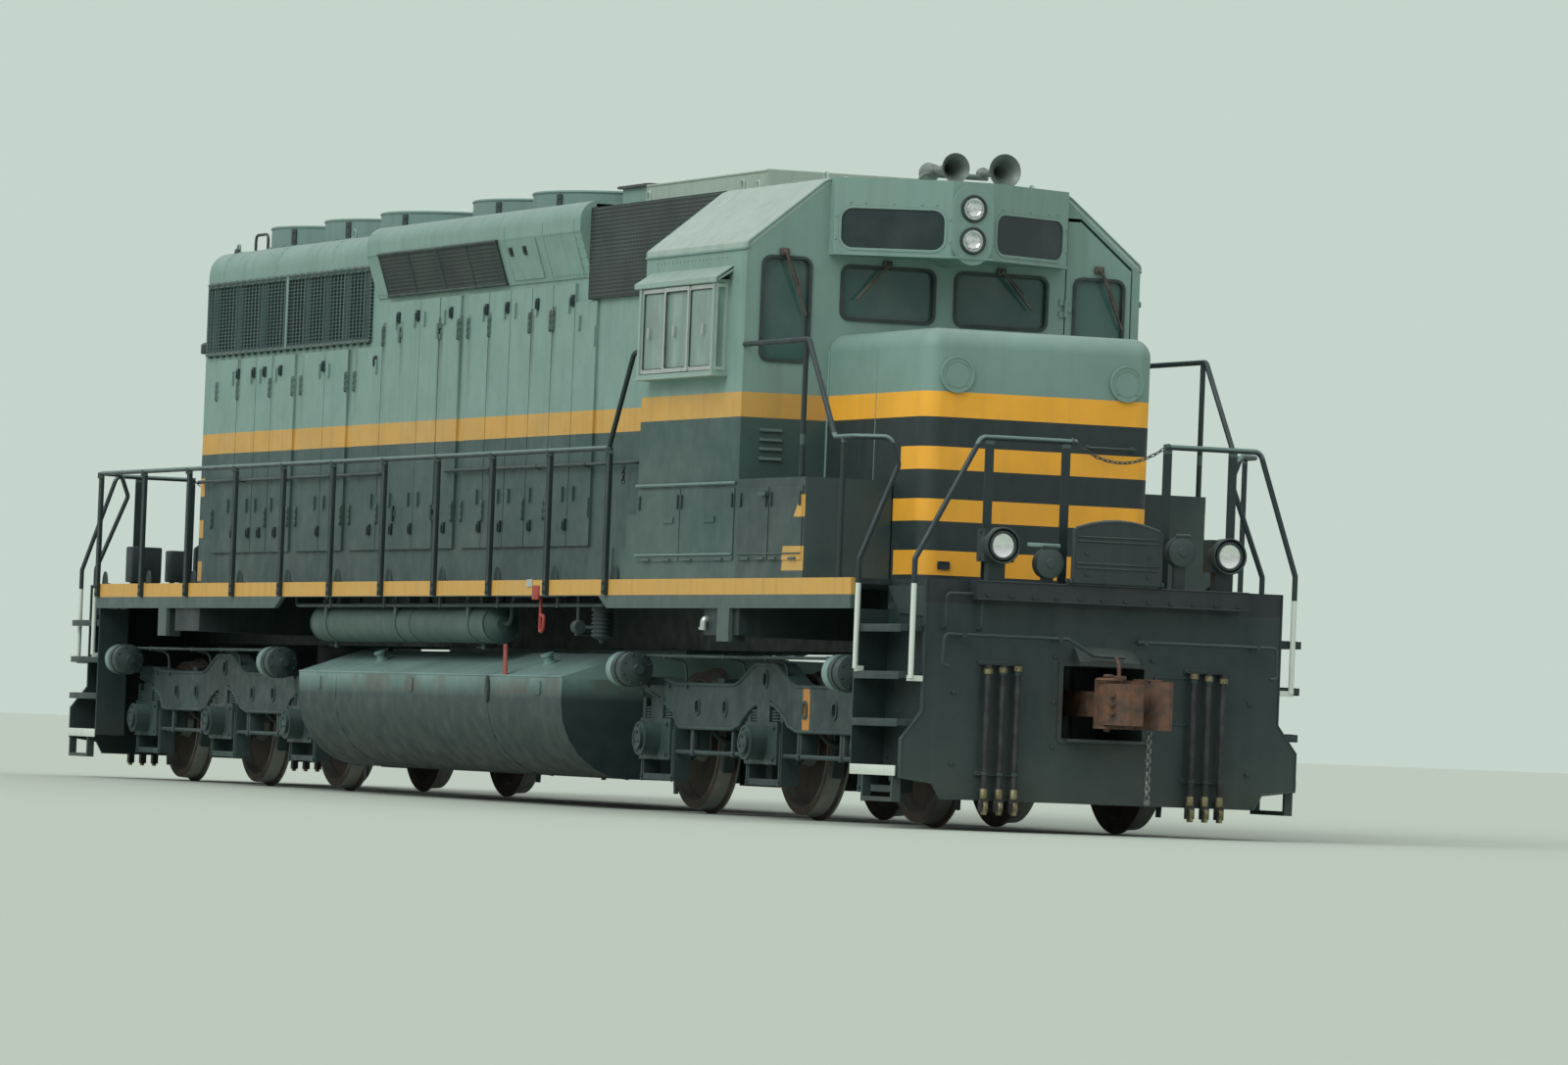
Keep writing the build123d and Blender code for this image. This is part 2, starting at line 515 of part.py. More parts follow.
# Each motor hangs between its axle and a transom. Columns: axle, counted outward from the
# middle one, and the side of the axle, outward being 1
MOTORS = ((0, -1), (-1, 1), (1, -1))
MOTOR_AHEAD = 480
MOTOR_HALF_X = 310
MOTOR_HALF_Y = 540
MOTOR_HALF_Z = 320
MOTOR_NOSE_Y = 150
for end, way in both_ends():
    pivot = way * TRUCK_X
    with BuildPart() as truck_frame:
        with BuildSketch(Plane.XZ.offset(FRAME_Y - FRAME_T / 2)):
            with BuildLine():
                Polyline(
                    (pivot - FRAME_HALF, FLANGE + 850),
                    (pivot - FRAME_HALF, FLANGE + 960),
                    (pivot - 2000, FLANGE + 960),
                    (pivot - 1700, FRAME_TOP),
                    (pivot - 600, FRAME_TOP),
                    (pivot - 500, FRAME_TOP + 20),
                    (pivot - 220, HUMP_TOP - 12),
                    (pivot - 170, HUMP_TOP),
                    (pivot + 170, HUMP_TOP),
                    (pivot + 220, HUMP_TOP - 12),
                    (pivot + 500, FRAME_TOP + 20),
                    (pivot + 600, FRAME_TOP),
                    (pivot + 1700, FRAME_TOP),
                    (pivot + 2000, FLANGE + 960),
                    (pivot + FRAME_HALF, FLANGE + 960),
                    (pivot + FRAME_HALF, FLANGE + 850),
                    (pivot + AXLE_PITCH, FLANGE + 800),
                    (pivot + 1760, FLANGE + 700),
                    (pivot + 1690, LOBE_BOTTOM + 40),
                    (pivot + 1640, LOBE_BOTTOM),
                    (pivot + 620, LOBE_BOTTOM),
                    (pivot + 460, LOBE_BOTTOM + 35),
                )
                ThreePointArc((pivot + 460, LOBE_BOTTOM + 35), (pivot, FLANGE + 785),
                              (pivot - 460, LOBE_BOTTOM + 35))
                Polyline(
                    (pivot - 460, LOBE_BOTTOM + 35),
                    (pivot - 620, LOBE_BOTTOM),
                    (pivot - 1640, LOBE_BOTTOM),
                    (pivot - 1690, LOBE_BOTTOM + 40),
                    (pivot - 1760, FLANGE + 700),
                    (pivot - AXLE_PITCH, FLANGE + 800),
                    (pivot - FRAME_HALF, FLANGE + 850),
                )
            make_face()
            for hole_x in (-1295, -755, 755, 1295):
                with Locations((pivot + hole_x, FLANGE + 750)):
                    SlotOverall(95, 62, rotation=90, mode=Mode.SUBTRACT)
            with Locations((pivot, FLANGE + 960)):
                SlotOverall(90, 60, rotation=90, mode=Mode.SUBTRACT)
        extrude(amount=FRAME_T)
        for axle in (-1, 0, 1):
            for leg in (-1, 1):
                leg_x = pivot + axle * AXLE_PITCH + leg * (PEDESTAL_HALF - PEDESTAL_LEG / 2)
                with Locations((leg_x, -FRAME_Y, PEDESTAL_BOTTOM)):
                    Box(PEDESTAL_LEG, FRAME_T - 20, LOBE_BOTTOM + 220 - PEDESTAL_BOTTOM,
                        align=(Align.CENTER, Align.CENTER, Align.MIN))
            with Locations((pivot + axle * AXLE_PITCH, -FRAME_Y, PEDESTAL_BOTTOM)):
                Box(2 * PEDESTAL_HALF, FRAME_T - 20, 45,
                    align=(Align.CENTER, Align.CENTER, Align.MIN))
        mirror(about=Plane.XZ)
        for transom_x in (-AXLE_PITCH / 2, AXLE_PITCH / 2):
            with Locations((pivot + transom_x, 0, TRANSOM_BOTTOM)):
                Box(TRANSOM_W, 2 * FRAME_Y, FLANGE + 960 - TRANSOM_BOTTOM,
                    align=(Align.CENTER, Align.CENTER, Align.MIN))
        with Locations((pivot, 0, FLANGE + 870)):
            Box(AXLE_PITCH, 760, 60, align=(Align.CENTER, Align.CENTER, Align.MIN))
            Cylinder(CENTRE_PLATE_R + BOWL_WALL + GAP, BOWL_TOP - FLANGE - 870,
                     align=(Align.CENTER, Align.CENTER, Align.MIN))
        with Locations((pivot, 0, CENTRE_PLATE_BOTTOM - 1)):
            Cylinder(CENTRE_PLATE_R + GAP, BOWL_TOP,
                     align=(Align.CENTER, Align.CENTER, Align.MIN), mode=Mode.SUBTRACT)
        with BuildPart(mode=Mode.PRIVATE) as boxes:
            for axle in (-1, 0, 1):
                axle_x = pivot + axle * AXLE_PITCH
                with Locations((axle_x, -FRAME_Y, AXLE_Z)):
                    Box(2 * PEDESTAL_HALF - PEDESTAL_LEG, FRAME_T + 40, 300)
                with Locations((axle_x, -JOURNAL_BOX_Y, AXLE_Z)):
                    Cylinder(120, JOURNAL_BOX_Y - FRAME_Y, rotation=(90, 0, 0),
                             align=(Align.CENTER, Align.CENTER, Align.MAX))
                with Locations((axle_x, -JOURNAL_BOX_Y - JOURNAL_CAP_T, AXLE_Z)):
                    Cylinder(JOURNAL_CAP_R, JOURNAL_CAP_T, rotation=(90, 0, 0),
                             align=(Align.CENTER, Align.CENTER, Align.MAX))
                with Locations((axle_x, -JOURNAL_END_Y - GAP, AXLE_Z)):
                    Cylinder(JOURNAL_R + GAP, JOURNAL_END_Y + GAP, rotation=(90, 0, 0),
                             align=(Align.CENTER, Align.CENTER, Align.MAX), mode=Mode.SUBTRACT)
                with Locations((axle_x, -FRAME_Y - FRAME_T / 2 + 5, AXLE_Z + 150)):
                    Box(240, 30, FLANGE + 800 - AXLE_Z - 140,
                        align=(Align.CENTER, Align.CENTER, Align.MIN))
            for cylinder_x in (-AXLE_PITCH, AXLE_PITCH):
                with Locations((pivot + cylinder_x, -1375, FLANGE + 1010)):
                    Cylinder(125, 290, rotation=(0, 90, 0))
                with Locations((pivot + cylinder_x, -FRAME_Y, FLANGE + 930)):
                    Box(200, 300, 60, align=(Align.CENTER, Align.MAX, Align.CENTER))
            bar(((pivot - AXLE_PITCH, -TRUCK_PIPE_Y, TRUCK_PIPE_Z),
                 (pivot + AXLE_PITCH, -TRUCK_PIPE_Y, TRUCK_PIPE_Z)), 0, TRUCK_PIPE_R)
            for outward in (-1, 1):
                bar(((pivot + outward * (PEDESTAL_HALF - 20), -BRAKE_ROD_Y, BRAKE_ROD_Z),
                     (pivot + outward * (AXLE_PITCH - PEDESTAL_HALF + 20), -BRAKE_ROD_Y, BRAKE_ROD_Z)),
                    0, BRAKE_ROD_R)
        add(boxes.part)
        add(mirror(boxes.part, about=Plane.XZ, mode=Mode.PRIVATE))
    save(truck_frame, f"truck_frame_{end}")

    with BuildPart() as motors:
        for axle, facing in MOTORS:
            motor_x = pivot + way * (axle * AXLE_PITCH + facing * MOTOR_AHEAD)
            box(motor_x - MOTOR_HALF_X, motor_x + MOTOR_HALF_X, -MOTOR_HALF_Y, MOTOR_HALF_Y,
                AXLE_Z - MOTOR_HALF_Z, AXLE_Z + MOTOR_HALF_Z)
            transom_x = pivot + way * AXLE_PITCH / 2 * (1 if axle > 0 else -1)
            toward = 1 if motor_x > transom_x else -1
            box(transom_x + toward * TRANSOM_W / 2, motor_x, -MOTOR_NOSE_Y, MOTOR_NOSE_Y,
                TRANSOM_BOTTOM, AXLE_Z + MOTOR_HALF_Z)
    save(motors, f"traction_motors_{end}")


# Long hood: side walls with the open engine-room doorways, roof cap and end walls

# The engine-room doors that open, by the places of their hinge and of the meeting seam
ENGINE_DOORS = (("a", -2593, -2143), ("b", -1678, -2133))
DOORWAY_BOTTOM = HOOD_BASE + 40
DOORWAY_TOP = DOOR_TOP_ENGINE - 40
DOORWAY_REAR = ENGINE_DOORS[0][1] + 40
DOORWAY_FRONT = ENGINE_DOORS[1][1] - 40
with BuildPart() as hood_sides:
    box(HOOD_REAR, HOOD_FRONT, -HOOD_Y, -HOOD_Y + HOOD_WALL, DECK, HOOD_EAVE)
    box(DOORWAY_REAR, DOORWAY_FRONT, -HOOD_Y, -HOOD_Y + HOOD_WALL, DOORWAY_BOTTOM, DOORWAY_TOP,
        Mode.SUBTRACT)
    mirror(about=Plane.XZ)
save(hood_sides, "hood_sides")

with BuildPart() as hood_roof:
    with BuildSketch(Plane.YZ.offset(HOOD_REAR)) as roof_section:
        with Locations((0, (HOOD_TOP + HOOD_EAVE - 400) / 2)):
            RectangleRounded(2 * HOOD_Y, HOOD_TOP - HOOD_EAVE + 400, HOOD_ROOF_R)
        offset(amount=-HOOD_WALL, mode=Mode.SUBTRACT)
        with Locations((0, HOOD_EAVE)):
            Rectangle(3 * HOOD_Y, 2 * HOOD_Y, align=(Align.CENTER, Align.MAX), mode=Mode.SUBTRACT)
    extrude(amount=HOOD_FRONT - HOOD_REAR)
save(hood_roof, "hood_roof")

LAMP_R = 92                      # twin headlights, at both ends
LAMP_PITCH = 227
LAMP_DEEP = 60
LAMP_CASE_W = 312
LAMP_CASE_H = 573
REAR_LAMP_Z = FLANGE + 4235
REAR_LAMP_PROUD = 40
with BuildPart() as hood_ends:
    for wall_x in (HOOD_REAR, HOOD_FRONT - HOOD_WALL):
        box(wall_x, wall_x + HOOD_WALL, -HOOD_Y + HOOD_WALL, HOOD_Y - HOOD_WALL, DECK, HOOD_EAVE)
        with BuildSketch(Plane.YZ.offset(wall_x)):
            with Locations((0, (HOOD_TOP + HOOD_EAVE - 400) / 2)):
                RectangleRounded(2 * (HOOD_Y - HOOD_WALL), HOOD_TOP - HOOD_EAVE + 400
                                 - 2 * HOOD_WALL, HOOD_ROOF_R - HOOD_WALL)
            with Locations((0, HOOD_EAVE)):
                Rectangle(3 * HOOD_Y, 2 * HOOD_Y, align=(Align.CENTER, Align.MAX),
                          mode=Mode.SUBTRACT)
        extrude(amount=HOOD_WALL)
    with BuildSketch(Plane.YZ.offset(HOOD_REAR)):
        with Locations((0, REAR_LAMP_Z)):
            SlotOverall(LAMP_CASE_H, LAMP_CASE_W, rotation=90)
    extrude(amount=-REAR_LAMP_PROUD)
    with BuildSketch(Plane.YZ.offset(HOOD_REAR - REAR_LAMP_PROUD)):
        with Locations((0, REAR_LAMP_Z)):
            with GridLocations(1, LAMP_PITCH, 1, 2):
                Circle(LAMP_R)
    extrude(amount=LAMP_DEEP, mode=Mode.SUBTRACT)
save(hood_ends, "hood_ends")

with BuildPart() as engine_block:
    box(-3300, 1500, -600, 600, DECK, DECK + 1900)
save(engine_block, "engine_block")

# Hood doors: seams along the hood, and which edge carries the hinges
# Columns: rear edge, front edge, hinge edge (-1 rear, 1 front), top
HOOD_DOORS = (
    (-7310, -6760, -1, DOOR_TOP_RADIATOR),
    (-6745, -6262, -1, DOOR_TOP_RADIATOR),
    (-6248, -5842, 1, DOOR_TOP_RADIATOR),
    (-5828, -5244, 1, DOOR_TOP_RADIATOR),
    (-5070, -4475, -1, DOOR_TOP_RADIATOR),
    (-4461, -3884, 1, DOOR_TOP_RADIATOR),
    (-3708, -3050, -1, DOOR_TOP_RADIATOR),
    (-3036, -2601, -1, DOOR_TOP_ENGINE),
    (-1670, -1200, 1, DOOR_TOP_ENGINE),
    (-1012, -545, -1, DOOR_TOP_ENGINE),
    (-531, -60, -1, DOOR_TOP_ENGINE),
    (-46, 420, 1, DOOR_TOP_ENGINE),
    (434, 885, 1, DOOR_TOP_ENGINE),
    (899, 1365, -1, DOOR_TOP_ENGINE),
    (1379, 1845, 1, FLANGE + 3815),
)
DOOR_GAP = 8                     # seam at the hinges of the doors that open
ENGINE_HINGE_Y = HOOD_Y + GAP + DOOR_T + HINGE_R
LATCH_W = 45
LATCH_H = 110
HINGE_W = 26
HINGE_H = 150


def hinge_heights(bottom, top):
    """Middles of the two hinges on a hood door."""
    return (bottom + 290, top - 270)


def door_panel(x0, x1, hinge, bottom, top, y0, hinged=False):
    """One hood door on the right side: its panel, hinges and latches, outward from y0."""
    box(x0, x1, y0 - DOOR_T, y0, bottom, top)
    for height in hinge_heights(bottom, top):
        if not hinged:
            hinge_x = x0 + 20 if hinge < 0 else x1 - 20
            box(hinge_x - HINGE_W / 2, hinge_x + HINGE_W / 2, y0 - DOOR_T - 12, y0 - DOOR_T,
                height - HINGE_H / 2, height + HINGE_H / 2)
        latch_x = x1 - 110 if hinge < 0 else x0 + 110
        box(latch_x - LATCH_W / 2, latch_x + LATCH_W / 2, y0 - DOOR_T - 18, y0 - DOOR_T,
            height + 110 - LATCH_H / 2, height + 110 + LATCH_H / 2)


with BuildPart() as hood_doors:
    for x0, x1, hinge, top in HOOD_DOORS:
        door_panel(x0, x1, hinge, HOOD_BASE, top, -HOOD_Y)
    for letter, hinge_x, seam_x in ENGINE_DOORS:
        away = -1 if hinge_x < seam_x else 1
        for height in hinge_heights(HOOD_BASE, DOOR_TOP_ENGINE):
            for level in (-1, 1):
                level_z = height + level * (HINGE_KNUCKLE + 2)
                box(hinge_x + away * DOOR_GAP, hinge_x + away * (DOOR_GAP + HINGE_LEAF),
                    -ENGINE_HINGE_Y + HINGE_R / 2, -HOOD_Y,
                    level_z - HINGE_KNUCKLE / 2, level_z + HINGE_KNUCKLE / 2)
            fixed_knuckles(hinge_x + away * DOOR_GAP / 2, -ENGINE_HINGE_Y, height)
    mirror(about=Plane.XZ)
save(hood_doors, "hood_doors")

for letter, hinge_x, seam_x in ENGINE_DOORS:
    for side, side_name in ((-1, "right"), (1, "left")):
        with BuildPart() as engine_door:
            away = -1 if hinge_x < seam_x else 1
            door_panel(min(hinge_x, seam_x), max(hinge_x, seam_x), away, HOOD_BASE,
                       DOOR_TOP_ENGINE, -HOOD_Y - GAP, hinged=True)
            for height in hinge_heights(HOOD_BASE, DOOR_TOP_ENGINE):
                box(hinge_x, hinge_x - away * HINGE_LEAF, -ENGINE_HINGE_Y + HINGE_R / 2,
                    -HOOD_Y - GAP, height - HINGE_KNUCKLE / 2, height + HINGE_KNUCKLE / 2)
                turning_knuckle(hinge_x + away * DOOR_GAP / 2, -ENGINE_HINGE_Y, height)
            if side > 0:
                mirror(about=Plane.XZ, mode=Mode.REPLACE)
        save(engine_door, f"engine_door_{side_name}_{letter}")

# Dynamic-brake flare, with its rounded upper edge

FLARE_REAR = -3222
FLARE_FRONT = 1690
FLARE_Y = 1015
FLARE_LOW = FLANGE + 4000
FLARE_SHOULDER = FLANGE + 4350
FLARE_TOP_R = 150
with BuildPart() as brake_flare:
    with BuildSketch(Plane.YZ.offset(FLARE_REAR)):
        flare = outline(
            (-HOOD_Y, FLARE_LOW),
            (-HOOD_Y - 12, FLARE_LOW),
            (-FLARE_Y, FLARE_SHOULDER),
            (-FLARE_Y, HOOD_TOP + 25),
            (-HOOD_Y + HOOD_ROOF_R, HOOD_TOP + 25),
            (-HOOD_Y + HOOD_ROOF_R, HOOD_TOP),
            (-HOOD_Y, HOOD_TOP),
        )
        fillet(flare.vertices().sort_by(lambda v: v.X - v.Y)[0], FLARE_TOP_R)
    extrude(amount=FLARE_FRONT - FLARE_REAR)
    mirror(about=Plane.XZ)
save(brake_flare, "brake_flare")

# Grilles: radiator screens, brake screens on the flare and filter screens by the cab

RADIATOR_GRILLE = (-7640, -3366, FLANGE + 3660, FLANGE + 4270)
RADIATOR_MULLION = -5490
BRAKE_GRILLE = (-2893, -150)
FILTER_GRILLE = (FLARE_FRONT, CAB_REAR - GAP, FLANGE + 3824, FLANGE + 4525)
FILTER_Y = 929
GRILLE_FRAME = 30
GRILLE_T = 26
RADIATOR_BARS = 25
with BuildPart() as hood_grilles:
    x0, x1, z0, z1 = RADIATOR_GRILLE
    for left, right in ((x0, RADIATOR_MULLION), (RADIATOR_MULLION, x1)):
        box(left, right, -HOOD_Y - GRILLE_T, -HOOD_Y, z0, z1)
        box(left + GRILLE_FRAME, right - GRILLE_FRAME, -HOOD_Y - GRILLE_T, -HOOD_Y - 6,
            z0 + GRILLE_FRAME, z1 - GRILLE_FRAME, Mode.SUBTRACT)
        pitch = (right - left) / RADIATOR_BARS
        for place in range(1, RADIATOR_BARS):
            box(left + place * pitch - 6, left + place * pitch + 6, -HOOD_Y - GRILLE_T + 4, -HOOD_Y,
                z0, z1)
    with BuildSketch(Plane.YZ.offset(BRAKE_GRILLE[0])):
        outline(
            (-HOOD_Y - 12 - 1, FLARE_LOW),
            (-HOOD_Y - 12 - 16, FLARE_LOW),
            (-FLARE_Y - 16, FLARE_SHOULDER),
            (-FLARE_Y - 1, FLARE_SHOULDER),
        )
    extrude(amount=BRAKE_GRILLE[1] - BRAKE_GRILLE[0])
    with BuildSketch(Plane.YZ.offset(FILTER_GRILLE[0])):
        screen = outline(
            (-HOOD_Y, FILTER_GRILLE[2]),
            (-FILTER_Y, FILTER_GRILLE[2]),
            (-FILTER_Y, FILTER_GRILLE[3]),
            (-HOOD_Y, FILTER_GRILLE[3]),
        )
    extrude(amount=FILTER_GRILLE[1] - FILTER_GRILLE[0])
    mirror(about=Plane.XZ)
save(hood_grilles, "hood_grilles")

# Fan housings with their guards, and the fans that turn inside them

FAN_GUARD_T = 14
FAN_SPOKES = 12
FAN_RINGS = (330, 505)
FAN_RING_SIDES = 24
FAN_HUB_R = 150
FAN_BLADES = 8
FAN_BLADE_R = FAN_R - FAN_WALL - 15
with BuildPart() as fan_housings:
    for fan_x in FAN_X:
        with BuildSketch(Plane.XY.offset(HOOD_TOP)):
            with Locations((fan_x, 0)):
                Circle(FAN_R)
                Circle(FAN_R - FAN_WALL, mode=Mode.SUBTRACT)
        extrude(amount=FAN_TOP - HOOD_TOP)
        with BuildSketch(Plane.XY.offset(FAN_TOP - FAN_GUARD_T)):
            with Locations((fan_x, 0)):
                Circle(FAN_HUB_R)
                for ring_r in FAN_RINGS:
                    with BuildSketch(mode=Mode.PRIVATE) as ring:
                        RegularPolygon(ring_r, FAN_RING_SIDES)
                        RegularPolygon(ring_r - FAN_GUARD_T, FAN_RING_SIDES, mode=Mode.SUBTRACT)
                    add(ring.sketch)
                with PolarLocations(FAN_R / 2, FAN_SPOKES):
                    Rectangle(FAN_R - 10, FAN_GUARD_T)
        extrude(amount=FAN_GUARD_T)
save(fan_housings, "fan_housings")

for number, fan_x in enumerate(FAN_X):
    with BuildPart() as fan:
        with Locations((fan_x, 0, HOOD_TOP + GAP)):
            Cylinder(FAN_HUB_R, FAN_TOP - FAN_GUARD_T - HOOD_TOP - 2 * GAP,
                     align=(Align.CENTER, Align.CENTER, Align.MIN))
        with Locations((fan_x, 0, (HOOD_TOP + FAN_TOP) / 2)):
            with PolarLocations((FAN_HUB_R + FAN_BLADE_R) / 2 - 10, FAN_BLADES):
                Box(FAN_BLADE_R - FAN_HUB_R + 20, 190, 10, rotation=(25, 0, 0))
    save(fan, f"fan_{number + 1}")

# Roof fittings: exhaust stack, hatches and the sand filler

with BuildPart() as roof_fittings:
    box(2000, HOOD_FRONT, -600, 600, HOOD_TOP, FLANGE + 4700)
    box(780, 1330, -330, 330, HOOD_TOP, FLANGE + 4770)
    box(880, 1230, -230, 230, HOOD_TOP + 60, FLANGE + 4770, Mode.SUBTRACT)
save(roof_fittings, "roof_fittings")

# Cab: base, walls with their windows cut, roof, glass and doors

ROOF_SLOPE = (CAB_ROOF_TOP - CAB_EAVE) / (CAB_Y - CAB_ROOF_Y)
WALL_Y = CAB_Y - CAB_WALL
WALL_EAVE = CAB_EAVE - CAB_ROOF_T
WINDOW_R = 60
# Window and door openings: low and high across (or along) the wall, sill and head
WINDSHIELD = (82, 795, FLANGE + 3533, FLANGE + 3910)
FRONT_QUARTER = (1037, 1400, FLANGE + 3211, FLANGE + 3944)
SIDE_WINDOW = (4640, 6060, FLANGE + 3170, FLANGE + 3740)
DOOR_Y = (945, 1452)
DOOR_WINDOW = (1010, 1395, FLANGE + 3230, FLANGE + 3920)
REAR_QUARTER = (1010, 1380, FLANGE + 3230, FLANGE + 3900)
DOOR_THICK = 45
DOOR_CLEAR = 10
DOOR_FLAT = 100                  # level stretch of the door's head, beside the hinge
DOOR_HEAD_DROP = 105             # head of the door under the roof line
DOOR_HEAD_CLEAR = 25
CAB_HINGE_Y = DOOR_Y[0] - DOOR_CLEAR / 2
CAB_HINGE_PROUD = HINGE_R + 4    # hinge axis off the wall's face
CAB_HINGES_Z = (FLANGE + 2700, FLANGE + 3200, FLANGE + 3700)
DOOR_SILL = CAB_FLOOR + 30
STRIPE_LOW = FLANGE + 2803


def roof_line(y, drop):
    """Height of the cab's gable at a distance from the centre line, less a drop."""
    return CAB_EAVE + max(0, min(CAB_Y - abs(y), CAB_Y - CAB_ROOF_Y)) * ROOF_SLOPE - drop


def window(low, high, sill, head, across):
    """A window opening with rounded corners, on the sketch that is open."""
    with Locations((across * (low + high) / 2, (sill + head) / 2)):
        return RectangleRounded(high - low, head - sill, WINDOW_R, mode=Mode.SUBTRACT)


def gable(drop, half):
    """The end wall's outline between its side walls."""
    return outline(
        (-half, CAB_FLOOR),
        (-half, roof_line(half, drop)),
        (-CAB_ROOF_Y, roof_line(CAB_ROOF_Y, drop)),
        (CAB_ROOF_Y, roof_line(CAB_ROOF_Y, drop)),
        (half, roof_line(half, drop)),
        (half, CAB_FLOOR),
    )


def door_outline(side, clear, head_clear, mode):
    """A cab door's outline, under the slope of the roof, grown by its clearances."""
    low, high = DOOR_Y[0] - clear, DOOR_Y[1] + clear
    flat_end = DOOR_Y[0] + DOOR_FLAT
    drop = DOOR_HEAD_DROP - head_clear
    points = (
        (side * low, DOOR_SILL - clear),
        (side * high, DOOR_SILL - clear),
        (side * high, roof_line(high, drop)),
        (side * flat_end, roof_line(flat_end, drop)),
        (side * low, roof_line(flat_end, drop)),
    )
    return Polygon(*points, align=None, mode=mode)


def wall_hinges(wall_x, way, side):
    """The wall's leaves and knuckles for a cab door's three hinges."""
    leaf_y = side * (DOOR_Y[0] - DOOR_CLEAR)
    for height in CAB_HINGES_Z:
        for level in (-1, 1):
            level_z = height + level * (HINGE_KNUCKLE + 2)
            box(wall_x, wall_x + way * HINGE_LEAF_T, leaf_y - side * HINGE_LEAF, leaf_y,
                level_z - HINGE_KNUCKLE / 2, level_z + HINGE_KNUCKLE / 2)
        fixed_knuckles(wall_x + way * CAB_HINGE_PROUD, side * CAB_HINGE_Y, height)


# Lockers under the cab's side windows. Columns: rear edge, front edge
CAB_LOCKERS = ((CAB_REAR + 50, 5306), (5324, CAB_FRONT - 50))
LOCKER_Z = (DECK + 125, FLANGE + 2300)
LOCKER_PROUD = 9
DRIP_RAIL_Z = (FLANGE + 2322, FLANGE + 2338)
with BuildPart() as cab_base:
    box(CAB_REAR, CAB_FRONT, -CAB_Y, CAB_Y, DECK, CAB_FLOOR)
    for rear, front in CAB_LOCKERS:
        box(rear, front, -CAB_Y - LOCKER_PROUD, CAB_Y + LOCKER_PROUD, *LOCKER_Z)
    box(CAB_REAR, CAB_FRONT - 20, -CAB_Y - 18, CAB_Y + 18, *DRIP_RAIL_Z)
    for tread, rise in ((0, 0.66), (1, 0.33)):
        box(CAB_REAR - (tread + 1) * 280, CAB_REAR - tread * 280, -CAB_Y + 30, -HOOD_Y - 60, DECK,
            DECK + (CAB_FLOOR - DECK) * rise)
save(cab_base, "cab_base")

with BuildPart() as battery_boxes:
    box(CAB_FRONT, BATTERY_FRONT, -CAB_Y, -NOSE_Y - 10, DECK, BATTERY_TOP)
    for rear, front in ((CAB_FRONT + 60, 7000), (7020, BATTERY_FRONT - 30)):
        box(rear, front, -CAB_Y - LOCKER_PROUD, -CAB_Y, DECK + 125, BATTERY_TOP - 60)
    mirror(about=Plane.XZ)
    box(BATTERY_FRONT, BATTERY_FRONT + 300, NOSE_Y + 10, CAB_Y - 60, DECK, DECK + 340)
save(battery_boxes, "battery_boxes")

with BuildPart() as cab_front_wall:
    with BuildSketch(Plane.YZ.offset(CAB_FRONT - CAB_WALL)):
        gable(CAB_ROOF_T, WALL_Y)
        for across in (-1, 1):
            window(*WINDSHIELD, across)
        window(*FRONT_QUARTER, -1)
        door_outline(1, DOOR_CLEAR, DOOR_HEAD_CLEAR, Mode.SUBTRACT)
    extrude(amount=CAB_WALL)
    wall_hinges(CAB_FRONT, 1, 1)
save(cab_front_wall, "cab_front_wall")

with BuildPart() as cab_rear_wall:
    with BuildSketch(Plane.YZ.offset(CAB_REAR)):
        gable(CAB_ROOF_T, WALL_Y)
        window(*REAR_QUARTER, 1)
        door_outline(-1, DOOR_CLEAR, DOOR_HEAD_CLEAR, Mode.SUBTRACT)
    extrude(amount=CAB_WALL)
    wall_hinges(CAB_REAR, -1, -1)
save(cab_rear_wall, "cab_rear_wall")

with BuildPart() as cab_side_walls:
    with BuildSketch(Plane.YZ.offset(CAB_REAR)):
        outline(
            (-CAB_Y, CAB_FLOOR),
            (-CAB_Y, roof_line(CAB_Y, CAB_ROOF_T)),
            (-WALL_Y, roof_line(WALL_Y, CAB_ROOF_T)),
            (-WALL_Y, CAB_FLOOR),
        )
    extrude(amount=CAB_FRONT - CAB_REAR)
    with BuildSketch(Plane.XZ.offset(CAB_Y)):
        with Locations(((SIDE_WINDOW[0] + SIDE_WINDOW[1]) / 2,
                        (SIDE_WINDOW[2] + SIDE_WINDOW[3]) / 2)):
            RectangleRounded(SIDE_WINDOW[1] - SIDE_WINDOW[0], SIDE_WINDOW[3] - SIDE_WINDOW[2], 30)
    extrude(amount=-CAB_WALL, mode=Mode.SUBTRACT)
    mirror(about=Plane.XZ)
save(cab_side_walls, "cab_side_walls")

with BuildPart() as cab_roof:
    with BuildSketch(Plane.YZ.offset(CAB_REAR)):
        roof_edge = outline(
            (-CAB_Y, roof_line(CAB_Y, CAB_ROOF_T)),
            (-CAB_Y, CAB_EAVE),
            (-CAB_ROOF_Y, CAB_ROOF_TOP),
            (CAB_ROOF_Y, CAB_ROOF_TOP),
            (CAB_Y, CAB_EAVE),
            (CAB_Y, roof_line(CAB_Y, CAB_ROOF_T)),
            (CAB_ROOF_Y, roof_line(CAB_ROOF_Y, CAB_ROOF_T)),
            (-CAB_ROOF_Y, roof_line(CAB_ROOF_Y, CAB_ROOF_T)),
        )
        fillet(roof_edge.vertices().group_by(Axis.Y)[-1], radius=CAB_ROOF_BEND_R)
    extrude(amount=CAB_FRONT - CAB_REAR)
save(cab_roof, "cab_roof")

GLASS_T = 10
